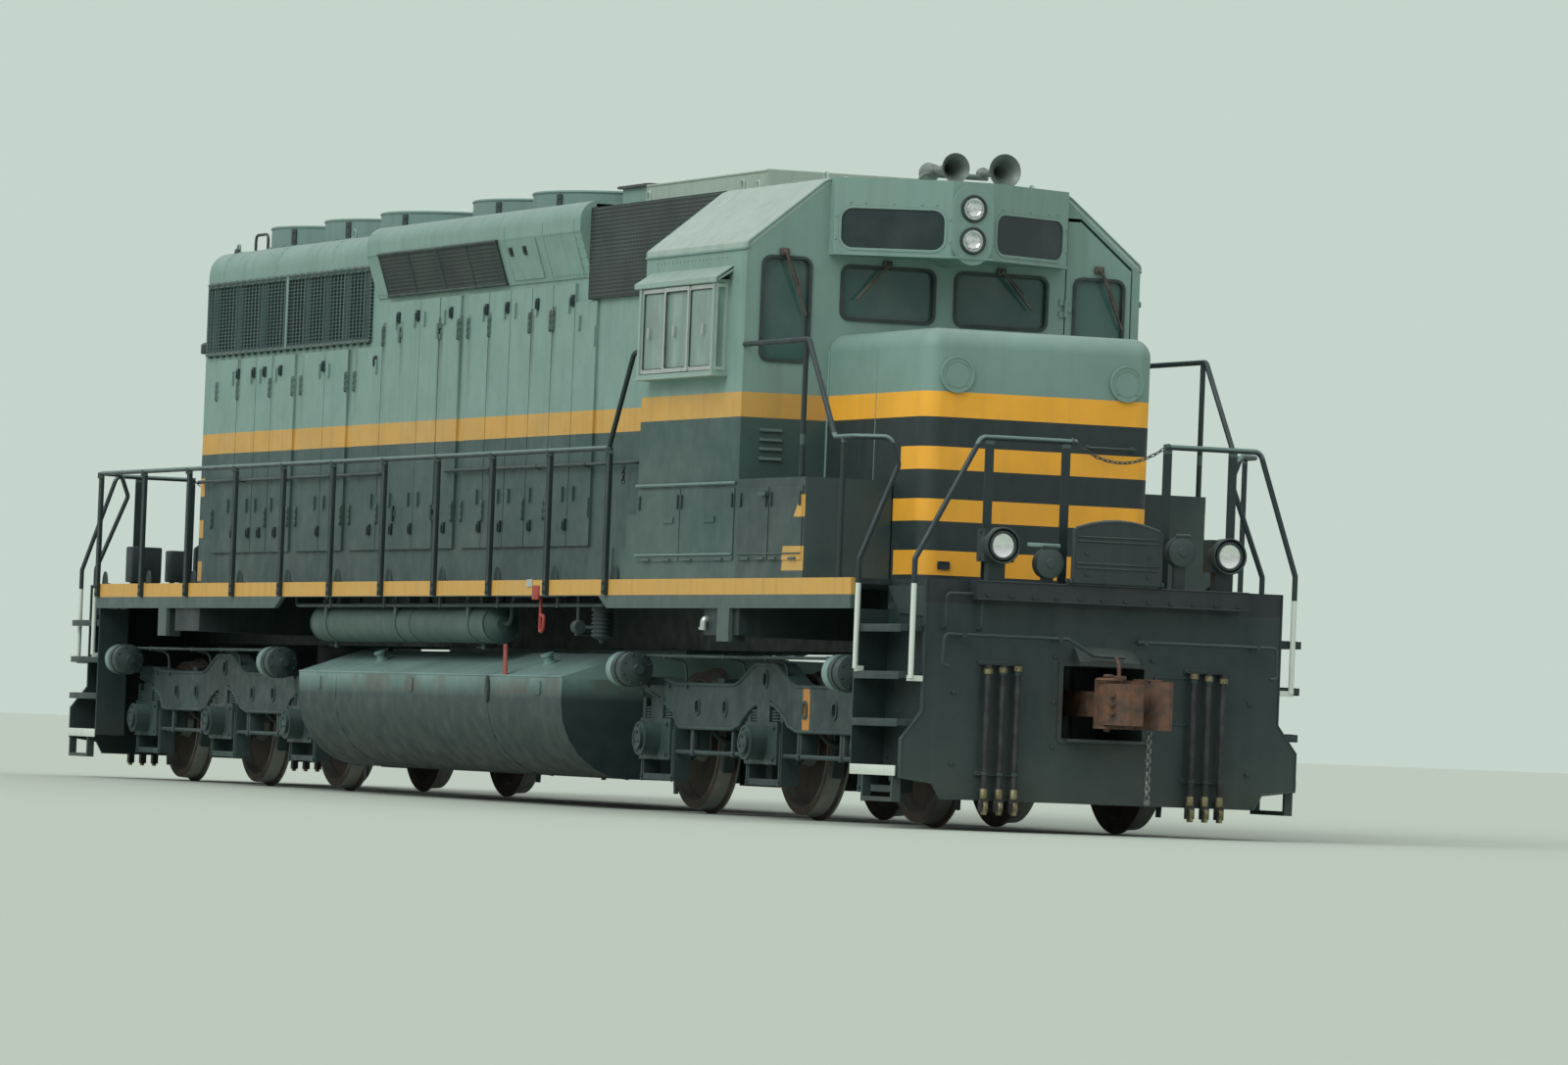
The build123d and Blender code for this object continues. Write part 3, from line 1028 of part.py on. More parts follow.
# Each side window stands proud of the wall in a box frame under its awning
BAY_X = (4620, 6090)
BAY_Z = (FLANGE + 3105, FLANGE + 3780)
BAY_Y = CAB_Y + 116
BAY_POST = 35
BAY_SHELF_T = 25
with BuildPart() as cab_glass:
    for plane_x, openings in ((CAB_FRONT - CAB_WALL / 2, ((*WINDSHIELD, -1), (*WINDSHIELD, 1),
                                                          (*FRONT_QUARTER, -1))),
                              (CAB_REAR + CAB_WALL / 2, ((*REAR_QUARTER, 1),))):
        with BuildSketch(Plane.YZ.offset(plane_x)):
            for low, high, sill, head, across in openings:
                with Locations((across * (low + high) / 2, (sill + head) / 2)):
                    RectangleRounded(high - low, head - sill, WINDOW_R)
        extrude(amount=GLASS_T / 2, both=True)
    for side in (-1, 1):
        pane_y = side * (BAY_Y - BAY_POST)
        box(BAY_X[0] + BAY_POST, BAY_X[1] - BAY_POST, pane_y, pane_y + side * GLASS_T,
            BAY_Z[0] + BAY_SHELF_T, BAY_Z[1] - BAY_SHELF_T)
        for pane_x in (BAY_X[0] + BAY_POST / 2, BAY_X[1] - BAY_POST / 2):
            box(pane_x - GLASS_T / 2, pane_x + GLASS_T / 2, side * (CAB_Y + BAY_POST), pane_y,
                BAY_Z[0] + BAY_SHELF_T, BAY_Z[1] - BAY_SHELF_T)
save(cab_glass, "cab_glass")

for name, wall_x, way, side in (("front", CAB_FRONT, 1, 1), ("rear", CAB_REAR, -1, -1)):
    with BuildPart() as cab_door:
        with BuildSketch(Plane.YZ.offset(wall_x - way * DOOR_THICK / 2)):
            door_outline(side, 0, 0, Mode.ADD)
            window(*DOOR_WINDOW, side)
        extrude(amount=DOOR_THICK / 2, both=True)
        with BuildSketch(Plane.YZ.offset(wall_x - way * DOOR_THICK / 2)):
            with Locations((side * (DOOR_WINDOW[0] + DOOR_WINDOW[1]) / 2,
                            (DOOR_WINDOW[2] + DOOR_WINDOW[3]) / 2)):
                RectangleRounded(DOOR_WINDOW[1] - DOOR_WINDOW[0],
                                 DOOR_WINDOW[3] - DOOR_WINDOW[2], WINDOW_R)
        extrude(amount=GLASS_T / 2, both=True)
        for height in CAB_HINGES_Z:
            box(wall_x, wall_x + way * HINGE_LEAF_T, side * DOOR_Y[0],
                side * (DOOR_Y[0] + HINGE_LEAF), height - HINGE_KNUCKLE / 2,
                height + HINGE_KNUCKLE / 2)
            turning_knuckle(wall_x + way * CAB_HINGE_PROUD, side * CAB_HINGE_Y, height)
    save(cab_door, f"cab_door_{name}")

# Cab furniture seen through the glass: two seats and the control stand

with BuildPart() as cab_furniture:
    for seat_y in (-1050, 1050):
        box(5150, 5600, seat_y - 230, seat_y + 230, CAB_FLOOR + 430, CAB_FLOOR + 540)
        box(5120, 5200, seat_y - 220, seat_y + 220, CAB_FLOOR + 540, CAB_FLOOR + 1150)
        box(5330, 5430, seat_y - 60, seat_y + 60, CAB_FLOOR, CAB_FLOOR + 430)
    box(5500, 6050, -760, -500, CAB_FLOOR, CAB_FLOOR + 1250)
save(cab_furniture, "cab_furniture")

with BuildPart() as window_awnings:
    with BuildSketch(Plane.YZ.offset(SIDE_WINDOW[0] - 90)):
        outline(
            (-CAB_Y, FLANGE + 3880),
            (-CAB_Y, FLANGE + 3862),
            (-BAY_Y, BAY_Z[1]),
            (-BAY_Y, BAY_Z[1] - 20),
            (-BAY_Y - 14, BAY_Z[1] - 20),
            (-BAY_Y - 14, BAY_Z[1] + 12),
        )
    extrude(amount=SIDE_WINDOW[1] - SIDE_WINDOW[0] + 180)
    for shelf_z in (BAY_Z[0], BAY_Z[1] - BAY_SHELF_T):
        box(*BAY_X, -BAY_Y, -CAB_Y, shelf_z, shelf_z + BAY_SHELF_T)
    for post_x in (BAY_X[0], BAY_X[1] - BAY_POST):
        for post_y in (-BAY_Y, -CAB_Y - BAY_POST):
            box(post_x, post_x + BAY_POST, post_y, post_y + BAY_POST, *BAY_Z)
    mirror(about=Plane.XZ)
save(window_awnings, "window_awnings")

# Short hood with its rounded top and corners

with BuildPart() as nose:
    box(CAB_FRONT, NOSE_FRONT, -NOSE_Y, NOSE_Y, DECK, NOSE_TOP)
    fillet(nose.edges().filter_by(Axis.Z).group_by(Axis.X)[-1], radius=NOSE_R)
    fillet(nose.faces().sort_by(Axis.Z)[-1].edges().filter_by(
        lambda e: e.center().X > CAB_FRONT + 1), radius=NOSE_R)
    with BuildSketch(Plane.YZ.offset(NOSE_FRONT - NOSE_R / 2)):
        with Locations((0, NOSE_LAMP_Z)):
            with GridLocations(2 * NOSE_LAMP_Y, 1, 2, 1):
                Circle(NOSE_LAMP_R)
    extrude(amount=NOSE_R / 2 + NOSE_LAMP_PROUD)
save(nose, "nose")

# Headlight and number-board housing over the windshield, with blank boards

HOUSING_BOTTOM = FLANGE + 3980
HOUSING_END_X = 6480
HOUSING_END_Y = 905
HOUSING_X = 6848
LAMP_X = 6866
HEAD_Y = LAMP_CASE_W / 2
FRONT_LAMP_Z = FLANGE + 4226
BOARD_W = 770
BOARD_H = 320
BOARD_R = 100
BOARD_DEEP = 12
BOARD_MIDDLE_Z = FLANGE + 4174
HOUSING_LEDGE = 25
HOUSING_LEDGE_T = 16


def housing_outline(grow):
    """Plan of the housing: two slanted board faces that meet the lamp case in front."""
    return outline(
        (CAB_FRONT, -HOUSING_END_Y),
        (HOUSING_END_X + grow, -HOUSING_END_Y),
        (HOUSING_X + grow, -HEAD_Y),
        (HOUSING_X + grow, HEAD_Y),
        (HOUSING_END_X + grow, HOUSING_END_Y),
        (CAB_FRONT, HOUSING_END_Y),
    )


with BuildPart() as headlight_housing:
    with BuildSketch(Plane.XY.offset(HOUSING_BOTTOM)):
        housing_outline(0)
    extrude(amount=CAB_ROOF_TOP - HOUSING_BOTTOM)
    with BuildSketch(Plane.XY.offset(HOUSING_BOTTOM)):
        housing_outline(HOUSING_LEDGE)
    extrude(amount=HOUSING_LEDGE_T)
    for side in (-1, 1):
        run_x = HOUSING_X - HOUSING_END_X
        run_y = side * (HEAD_Y - HOUSING_END_Y)
        board_face = Plane(origin=((HOUSING_X + HOUSING_END_X) / 2,
                                   side * (HEAD_Y + HOUSING_END_Y) / 2, BOARD_MIDDLE_Z),
                           x_dir=(-side * run_x, -side * run_y, 0), z_dir=(abs(run_y), side * run_x, 0))
        with BuildSketch(board_face):
            RectangleRounded(BOARD_W, BOARD_H, BOARD_R)
        extrude(amount=-BOARD_DEEP, mode=Mode.SUBTRACT)
    with BuildSketch(Plane.YZ.offset(LAMP_X)):
        with Locations((0, FRONT_LAMP_Z)):
            SlotOverall(LAMP_CASE_H, LAMP_CASE_W, rotation=90)
    extrude(amount=CAB_FRONT - LAMP_X)
    with BuildSketch(Plane.YZ.offset(LAMP_X)):
        with Locations((0, FRONT_LAMP_Z)):
            with GridLocations(1, LAMP_PITCH, 1, 2):
                Circle(LAMP_R)
    extrude(amount=-LAMP_DEEP, mode=Mode.SUBTRACT)
save(headlight_housing, "headlight_housing")

# Ditch lights on the front platform

DITCH_Y = 842
DITCH_Z = FLANGE + 1900
DITCH_X = PILOT_X + ANTICLIMBER_REACH - 20
# Plugs for the cables between locomotives. Columns: place across, height
RECEPTACLES = ((-478, FLANGE + 1795), (500, FLANGE + 1915))
RECEPTACLE_R = 104
RECEPTACLE_DEEP = 60
with BuildPart() as ditch_lights:
    box(DITCH_X - 150, DITCH_X - 20, -DITCH_Y - 110, -DITCH_Y + 110, DITCH_Z - 110, DITCH_Z + 110)
    with Locations((DITCH_X - 10, -DITCH_Y, DITCH_Z)):
        Cylinder(95, 20, rotation=(0, 90, 0))
    box(DITCH_X - 130, DITCH_X - 50, -DITCH_Y - 60, -DITCH_Y + 60, DECK, DITCH_Z - 110)
    mirror(about=Plane.XZ)
    for receptacle_y, receptacle_z in RECEPTACLES:
        with Locations((DITCH_X, receptacle_y, receptacle_z)):
            Cylinder(RECEPTACLE_R, RECEPTACLE_DEEP, rotation=(0, 90, 0),
                     align=(Align.CENTER, Align.CENTER, Align.MAX))
        box(DITCH_X - RECEPTACLE_DEEP, DITCH_X - 20, receptacle_y - 40, receptacle_y + 40, DECK,
            receptacle_z)
save(ditch_lights, "ditch_lights")

# Air horns on the cab roof

HORN_Z = FLANGE + 4665
HORN_TAIL_X = 5860
HORN_TAIL_R = 26
# Columns: place across, radius of the bell, where the bell's mouth is along the cab
HORNS = ((101, 108, 6280), (485, 124, 6280), (190, 79, 5580))
HORN_FLARE = (60, 0.55)          # length of the flared mouth and the radius where it starts
MANIFOLD_Y = (60, 510)
with BuildPart() as horns:
    flare_run, flare_share = HORN_FLARE
    for horn_y, bell_r, mouth_x in HORNS:
        facing = 1 if mouth_x > HORN_TAIL_X else -1
        with BuildSketch(Plane.XY.offset(HORN_Z)):
            outline(
                (HORN_TAIL_X, horn_y),
                (HORN_TAIL_X, horn_y + HORN_TAIL_R),
                (mouth_x - facing * flare_run, horn_y + bell_r * flare_share),
                (mouth_x, horn_y + bell_r),
                (mouth_x, horn_y),
            )
        revolve(axis=Axis((0, horn_y, HORN_Z), (1, 0, 0)))
    box(HORN_TAIL_X - 40, HORN_TAIL_X + 60, *MANIFOLD_Y, HORN_Z - 45, HORN_Z - 10)
    box(HORN_TAIL_X - 20, HORN_TAIL_X + 40, 250, 310, CAB_ROOF_TOP, HORN_Z - 20)
save(horns, "horns")

# Handrails: a round rail on flat posts along each side, and round bars at both ends

RAIL_R = 19
RAIL_Y = 1555
RAIL_Z = FLANGE + 2623
POST_PITCH = 1238
POST_COUNT = 11
POST_FRONT = 3902
POST_W = 62
POST_T = 14
SILL_BAND = 115                  # height of the painted band along the sill
RAIL_BEND = 60
STEP_RAIL_X = 8640               # rail beside each flight of steps, which leans in at its top
STEP_RAIL_Y = 1515
STEP_RAIL_LEAN = (1320, 1250)
STEP_RAIL_Z = (RAIL_Z, FLANGE + 2440, FLANGE + 1790)
GRAB_FOOT = LOWEST_STEP + 2 * STEP_RISE
NOSE_RAIL_Z = FLANGE + 3313
# Upright bars under the nose's rail. Columns: place along, top, foot
NOSE_POSTS = ((7543, NOSE_RAIL_Z, BATTERY_TOP), (8290, RAIL_Z, DECK))


def step_rail(way):
    """Points of the rail beside the right-hand steps of one end, from the foot up."""
    return (
        (way * STEP_RAIL_X, -STEP_RAIL_Y, GRAB_FOOT + RAIL_R),
        (way * STEP_RAIL_X, -STEP_RAIL_Y, STEP_RAIL_Z[2]),
        (way * STEP_RAIL_X, -STEP_RAIL_LEAN[1], STEP_RAIL_Z[1]),
        (way * STEP_RAIL_X, -STEP_RAIL_LEAN[0], STEP_RAIL_Z[0]),
    )


with BuildPart() as side_handrails:
    rail_rear = POST_FRONT - (POST_COUNT - 1) * POST_PITCH
    bar((*step_rail(-1), (rail_rear, -RAIL_Y, RAIL_Z), (POST_FRONT, -RAIL_Y, RAIL_Z),
         (CAB_REAR - 110, -RAIL_Y, FLANGE + 3301), (CAB_REAR, -RAIL_Y, FLANGE + 3320)),
        RAIL_BEND, RAIL_R)
    for post in range(POST_COUNT):
        post_x = rail_rear + post * POST_PITCH
        box(post_x - POST_W / 2, post_x + POST_W / 2, -RAIL_Y - POST_T / 2, -RAIL_Y + POST_T / 2,
            DECK - SILL_BAND, RAIL_Z)
        box(post_x - POST_W / 2, post_x + POST_W / 2, -RAIL_Y, -SILL_Y,
            DECK - SILL_BAND, DECK - 10)
    bar((*step_rail(1), (STEP_RAIL_X - 180, -STEP_RAIL_Y, RAIL_Z), (8130, -STEP_RAIL_Y, RAIL_Z),
         (7590, -STEP_RAIL_Y, NOSE_RAIL_Z), (CAB_FRONT, -STEP_RAIL_Y, NOSE_RAIL_Z)),
        RAIL_BEND, RAIL_R)
    for post_x, post_top, foot in NOSE_POSTS:
        bar(((post_x, -STEP_RAIL_Y, post_top), (post_x, -STEP_RAIL_Y, foot)), 0, RAIL_R)
    for way in (-1, 1):
        box(way * (STEP_RAIL_X - RAIL_R), way * (STEP_RAIL_X + RAIL_R), -STEP_RAIL_Y,
            -STEP_Y + 30, GRAB_FOOT, GRAB_FOOT + 2 * RAIL_R)
    mirror(about=Plane.XZ)
save(side_handrails, "side_handrails")

END_RAIL_Z = FLANGE + 2630
END_RAIL_X = PILOT_X - 77
# Rails across each end. Columns: side, inner end, where it turns down, and its two posts
END_RAILS = ((-1, 229, 930, (303, 869)), (1, 442, 1150, (454, 945)))
GRAB_X = PILOT_X - 5             # upright end of the rail, outside the edge of the pilot
GRAB_Y = 1415
GRAB_TOP = FLANGE + 1790
GRAB_BOTTOM = FLANGE + 985
with BuildPart() as end_handrails:
    for end, way in both_ends():
        rail_x = way * END_RAIL_X
        for side, inner, turn, posts in END_RAILS:
            across = way * side
            bar(((rail_x, across * inner, END_RAIL_Z), (rail_x, across * turn, END_RAIL_Z),
                 (way * GRAB_X, across * GRAB_Y, GRAB_TOP),
                 (way * GRAB_X, across * GRAB_Y, GRAB_BOTTOM)), RAIL_BEND, RAIL_R)
            box(way * (PILOT_X - PILOT_T), way * PILOT_X, across * PILOT_HIGH_Y,
                across * (GRAB_Y + RAIL_R), GRAB_BOTTOM - RAIL_R, GRAB_BOTTOM + RAIL_R)
            for post_y in posts:
                box(rail_x - POST_T / 2, rail_x + POST_T / 2, across * post_y - POST_W / 2,
                    across * post_y + POST_W / 2, DECK, END_RAIL_Z + RAIL_R)
save(end_handrails, "end_handrails")

# Walkover steps, folded up between the end rails and hinged at their lower edge

DROP_T = 28
DROP_TOP = FLANGE + 2101
for end, way in both_ends():
    with BuildPart() as drop_step:
        with BuildSketch(Plane.YZ.offset(way * DROP_X)):
            with BuildLine():
                Polyline((-DROP_Y, DROP_TOP - 65), (-DROP_Y, DROP_HINGE_Z),
                         (DROP_Y, DROP_HINGE_Z), (DROP_Y, DROP_TOP - 65))
                ThreePointArc((DROP_Y, DROP_TOP - 65), (0, DROP_TOP), (-DROP_Y, DROP_TOP - 65))
            make_face()
        extrude(amount=DROP_T / 2, both=True)
        with Locations((way * DROP_X, 0, DROP_HINGE_Z)):
            Cylinder(DROP_T / 2, 2 * DROP_Y, rotation=(90, 0, 0))
            Cylinder(DROP_PIN_R, 2 * (DROP_Y + GAP + DROP_LUG_T + 3), rotation=(90, 0, 0))
    save(drop_step, f"drop_step_{end}")

# Air hoses parked against the pilots, with their couplings on holders at the foot

HOSE_Y = (655, 765, 875)
HOSE_R = 21
HOSE_TOP = FLANGE + 1075
HOSE_FOOT = FLANGE + 150
HOSE_X = PILOT_X + 55
with BuildPart() as air_hoses:
    for end, way in both_ends():
        for hose_y in HOSE_Y:
            with Locations((way * PILOT_X, -hose_y, HOSE_TOP)):
                Cylinder(HOSE_R, HOSE_X - PILOT_X + HOSE_R, rotation=(0, way * 90, 0),
                         align=(Align.CENTER, Align.CENTER, Align.MIN))
            with Locations((way * HOSE_X, -hose_y, HOSE_FOOT)):
                Cylinder(HOSE_R, HOSE_TOP - HOSE_FOOT,
                         align=(Align.CENTER, Align.CENTER, Align.MIN))
            with Locations((way * HOSE_X, -hose_y, HOSE_FOOT)):
                Box(60, 50, 90)
            with Locations((way * (PILOT_X + 30), -hose_y, HOSE_FOOT + 60)):
                Box(60, 24, 30)
    mirror(about=Plane.XZ)
save(air_hoses, "air_hoses")
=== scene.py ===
"""Looks of a six-axle diesel locomotive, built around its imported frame.

Lengths are metres in the row frame: +X to the cab end, +Y to the locomotive's left side,
+Z up from the wheels' flange tips. Heights were read above the rail head, which lies at RAIL:
a Shape adds it to its points, and the materials add it themselves.
"""
import math

import bmesh
import bpy
from mathutils import Matrix, Vector


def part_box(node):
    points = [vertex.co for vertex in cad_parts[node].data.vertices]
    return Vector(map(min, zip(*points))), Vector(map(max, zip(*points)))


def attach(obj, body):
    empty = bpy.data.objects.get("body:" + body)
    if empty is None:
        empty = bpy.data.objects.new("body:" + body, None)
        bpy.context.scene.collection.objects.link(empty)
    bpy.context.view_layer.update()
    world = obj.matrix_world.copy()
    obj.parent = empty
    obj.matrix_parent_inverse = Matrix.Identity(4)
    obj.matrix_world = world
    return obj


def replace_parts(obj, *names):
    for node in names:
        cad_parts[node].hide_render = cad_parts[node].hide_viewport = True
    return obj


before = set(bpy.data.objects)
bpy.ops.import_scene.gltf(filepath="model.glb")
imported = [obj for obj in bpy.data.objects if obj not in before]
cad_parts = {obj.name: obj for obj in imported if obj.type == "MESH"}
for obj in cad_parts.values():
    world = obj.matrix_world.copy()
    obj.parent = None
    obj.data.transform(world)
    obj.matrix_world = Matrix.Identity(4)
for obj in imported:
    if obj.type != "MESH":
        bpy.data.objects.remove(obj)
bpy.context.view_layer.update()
RAIL = 0.028
BODY = "locomotive"
ENDS = (("front", 1), ("rear", -1))
SIDES = (("right", -1), ("left", 1))
ALONG, ACROSS, UP, DOWN = (1, 0, 0), (0, 1, 0), (0, 0, 1), (0, 0, -1)
# The two directions that span a flat outline on an end wall, a side and a roof
ON_END, ON_SIDE, ON_ROOF = (ACROSS, UP), (ALONG, UP), (ALONG, ACROSS)

# Colours as they look in daylight, linear
GREY = (0.190, 0.318, 0.278)
CHARCOAL = (0.034, 0.077, 0.073)
YELLOW = (0.600, 0.345, 0.070)
FRESH_YELLOW = (0.950, 0.460, 0.030)
PANE = (0.058, 0.132, 0.120)
SIDE_PANE = (0.300, 0.450, 0.390)
BLACK = (0.009, 0.022, 0.024)
GEAR_GREY = (0.026, 0.055, 0.055)
DUST = (0.230, 0.290, 0.250)
BRAKE_DUST = (0.120, 0.195, 0.180)
RUST = (0.150, 0.055, 0.025)
WHITE = (0.620, 0.700, 0.620)
SKY = (0.565, 0.665, 0.600)
FLOOR = (0.435, 0.510, 0.430)

# Where oil runs down from the hood doors' hinges, and the body's stripes from the top down
STAINS_X = (-6.735, -5.850, -5.060, -3.890, -3.698, -3.026, -2.600, -1.672, -1.215, -0.985,
            -0.516, 0.405, 0.885)
STAIN_HALF = 0.040
STRIPE_ONE = (RAIL + 2.803, RAIL + 2.979)
LOWER_STRIPES = ((RAIL + 2.440, RAIL + 2.598), (RAIL + 2.083, RAIL + 2.237),
                 (RAIL + 1.711, RAIL + 1.880))
WEAVE = 0.030


# Materials

def shaded(colour, share):
    return tuple(share * c for c in colour)


class Look:
    """A material under construction, with short calls for the nodes it uses."""

    def __init__(self, name, metallic=0.0):
        self.made = bpy.data.materials.new(name)
        self.made.use_nodes = True
        self.tree = self.made.node_tree
        self.tree.nodes.clear()
        self.shader = self.node("BsdfPrincipled")
        self.shader.inputs["Metallic"].default_value = metallic
        self.link(self.shader.outputs[0], self.node("OutputMaterial").inputs[0])
        spots = self.node("TexCoord").outputs
        self.place = spots["Object"]
        self.x, self.y, self.z = self.parts(spots["Object"])
        self.facing = self.parts(spots["Normal"])
        self.reach = self.size(self.y)

    def node(self, kind, **settings):
        made = self.tree.nodes.new("ShaderNode" + kind)
        for key, value in settings.items():
            setattr(made, key, value)
        return made

    def link(self, source, target):
        self.tree.links.new(source, target)

    def feed(self, sockets, *values):
        """Gives each socket a node's output, a colour or a number."""
        for socket, value in zip(sockets, values):
            if isinstance(value, bpy.types.NodeSocket):
                self.link(value, socket)
            else:
                socket.default_value = (*value, 1.0) if isinstance(value, tuple) else value

    def parts(self, vector):
        split = self.node("SeparateXYZ")
        self.link(vector, split.inputs[0])
        return split.outputs

    def noise(self, scale, detail=5.0, stretch=(1, 1, 1), at=(0, 0, 0)):
        placed = self.node("Mapping")
        placed.inputs["Scale"].default_value = stretch
        placed.inputs["Location"].default_value = at
        self.link(self.place, placed.inputs[0])
        made = self.node("TexNoise")
        made.inputs["Scale"].default_value = scale
        made.inputs["Detail"].default_value = detail
        self.link(placed.outputs[0], made.inputs["Vector"])
        return made.outputs["Fac"]

    def spread(self, value, low, high, out_low=0.0, out_high=1.0):
        """Maps a value from one range to another and holds it inside."""
        made = self.node("MapRange")
        self.feed(made.inputs, value, low, high, out_low, out_high)
        return made.outputs[0]

    def cloud(self, scale, detail, low, high, out=(0.0, 1.0), **placed):
        """Noise between two levels, spread over the out range."""
        return self.spread(self.noise(scale, detail, **placed), low, high, *out)

    def math(self, operation, first, second=0.0):
        made = self.node("Math", operation=operation)
        self.feed(made.inputs, first, second)
        return made.outputs[0]

    def times(self, first, *others):
        for other in others:
            first = self.math("MULTIPLY", first, other)
        return first

    def size(self, value):
        return self.math("ABSOLUTE", value)

    def over(self, value, limit):
        return self.math("GREATER_THAN", value, limit)

    def under(self, value, limit):
        return self.math("LESS_THAN", value, limit)

    def band(self, value, low, high):
        return self.times(self.over(value, low), self.under(value, high))

    def blend(self, amount, first, second, kind="MIX"):
        made = self.node("Mix", data_type="RGBA", blend_type=kind)
        self.feed((made.inputs[0], made.inputs[6], made.inputs[7]), amount, first, second)
        return made.outputs[2]

    def bump(self, height, strength, distance):
        made = self.node("Bump")
        made.inputs["Strength"].default_value = strength
        made.inputs["Distance"].default_value = distance
        self.link(height, made.inputs["Height"])
        self.link(made.outputs[0], self.shader.inputs["Normal"])

    def give(self, name, value):
        """Feeds one input of the shader."""
        self.feed([self.shader.inputs[name]], value)

    def finish(self, colour, roughness):
        self.give("Base Color", colour)
        self.give("Roughness", roughness)
        return self.made


def weathered(look, paint, rough=(0.42, 0.68), dirt=0.5, rust=0.5, soil_from=1.3, haze=0.14,
              settled=0.30, dust=DUST):
    """Ages a painted surface: clouding, run-down streaks, dust that settled on top and low
    down, chips and rust."""
    faded = look.blend(look.times(look.cloud(0.9, 6.0, 0.32, 0.68), haze), paint, dust)
    upward = look.spread(look.facing[2], 0.25, 0.95, 0.0, settled)
    faded = look.blend(look.times(upward, look.cloud(1.7, 5.0, 0.25, 0.6)), faded, dust)
    streaks = look.cloud(5.0, 4.0, 0.50, 0.78, stretch=(2.2, 2.2, 0.12))
    streaked = look.blend(look.times(streaks, 0.42 * dirt), faded, shaded(dust, 0.35))
    grime = look.times(look.spread(look.z, soil_from + 1.1, soil_from),
                       look.cloud(2.6, 6.0, 0.30, 0.75))
    soiled = look.blend(look.times(grime, 0.55 * dirt), streaked, dust)
    rusty = look.times(look.cloud(26.0, 8.0, 0.715, 0.735),
                       look.cloud(1.4, 3.0, 0.48, 0.62, at=(7, 3, 1)), rust)
    look.bump(look.noise(140.0, 3.0), 0.10, 0.0008)
    return look.finish(look.blend(rusty, soiled, RUST), look.cloud(7.0, 5.0, 0.3, 0.7, rough))


def plain_paint(name, colour, **age):
    return weathered(Look(name), colour, **{"soil_from": -9, **age})


def hinge_stains(look):
    """How far oil run down from the hood doors' hinges darkens a place."""
    wander = look.cloud(6.0, 3.0, 0.0, 1.0, (-0.035, 0.035), stretch=(1, 1, 0.25))
    ramp = look.node("ValToRGB")
    ramp.color_ramp.interpolation = "CONSTANT"
    stops = ramp.color_ramp.elements
    rear, front = -8.0, 2.0
    for place in STAINS_X:
        for edge, shade in ((-STAIN_HALF, 1.0), (STAIN_HALF, 0.0)):
            stop = stops.new((place + edge - rear) / (front - rear))
            stop.color = (shade, shade, shade, 1.0)
    stops.remove(stops[-1])
    stops[0].color = (0.0, 0.0, 0.0, 1.0)
    look.link(look.spread(look.math("ADD", look.x, wander), rear, front), ramp.inputs[0])
    upper, lower = (look.times(look.spread(look.z, RAIL + low, RAIL + high),
                               look.under(look.z, RAIL + high))
                    for low, high in ((2.95, 3.80), (1.66, 2.34)))
    patchy = look.cloud(2.3, 4.0, 0.30, 0.62, (0.15, 0.75), stretch=(1, 1, 0.5))
    return look.times(ramp.outputs[0], look.math("ADD", upper, lower), patchy)


def two_tone(look, upper, lower, yellow):
    """The body's two paints, parted by its first stripe."""
    paint = look.blend(look.over(look.z, STRIPE_ONE[1]), lower, upper)
    return look.blend(look.band(look.z, *STRIPE_ONE), paint, yellow)


def striped_paint(name, lower, wraps=(), yellow=YELLOW, side=0.0, stained=False, **age):
    """Body paint. Each lower stripe starts at its own distance from the middle, with an edge
    that may lean, and lies only outside the side distance."""
    look = Look(name)
    paint = two_tone(look, GREY, lower, yellow)
    for (low, high), (start, lean) in zip(LOWER_STRIPES, wraps):
        edge = look.math("ADD", look.times(look.math("SUBTRACT", look.z, low), lean), start)
        past = look.times(look.over(look.size(look.x), edge), look.over(look.reach, side))
        paint = look.blend(look.times(past, look.band(look.z, low, high)), paint, yellow)
    paint = look.blend(1.0, paint, look.cloud(3.0, 4.0, 0.3, 0.7, (0.92, 1.05)), "MULTIPLY")
    if stained:
        paint = look.blend(hinge_stains(look), paint, (0.030, 0.055, 0.048))
    return weathered(look, paint, **age)


def door_paint():
    """Cab paint with the dark pane of each door's window."""
    look = Look("cab_door_paint")
    pane = look.times(look.band(look.reach, 1.012, 1.393),
                      look.band(look.z, RAIL + 3.232, RAIL + 3.918))
    paint = two_tone(look, GREY, CHARCOAL, YELLOW)
    made = weathered(look, look.blend(pane, paint, PANE), rust=0.2)
    look.give("Roughness", look.spread(pane, 0, 1, 0.55, 0.10))
    return made


def handrail_paint():
    """Dark rails, white beside the steps and pale where the top rail catches the sky."""
    look = Look("handrail_paint")
    level = look.under(look.size(look.math("SUBTRACT", look.z, RAIL + 2.62)), 0.035)
    lit = look.times(look.spread(look.facing[2], -0.25, 0.35), level)
    paint = look.blend(lit, (0.010, 0.024, 0.027), (0.120, 0.195, 0.178))
    beside = look.times(look.over(look.size(look.x), 8.600), look.under(look.z, RAIL + 1.622))
    return weathered(look, look.blend(beside, paint, WHITE), rough=(0.35, 0.6), dirt=0.2, rust=0.5,
                     soil_from=-9, haze=0.03, dust=BRAKE_DUST)


def roof_box_paint():
    """Hood grey, with the box ahead of the stack faded to a paler, warmer grey."""
    look = Look("roof_box_paint")
    paint = look.blend(look.over(look.x, 1.90), GREY, (0.330, 0.420, 0.350))
    return weathered(look, paint, dirt=0.6, rust=0.4, soil_from=-9)


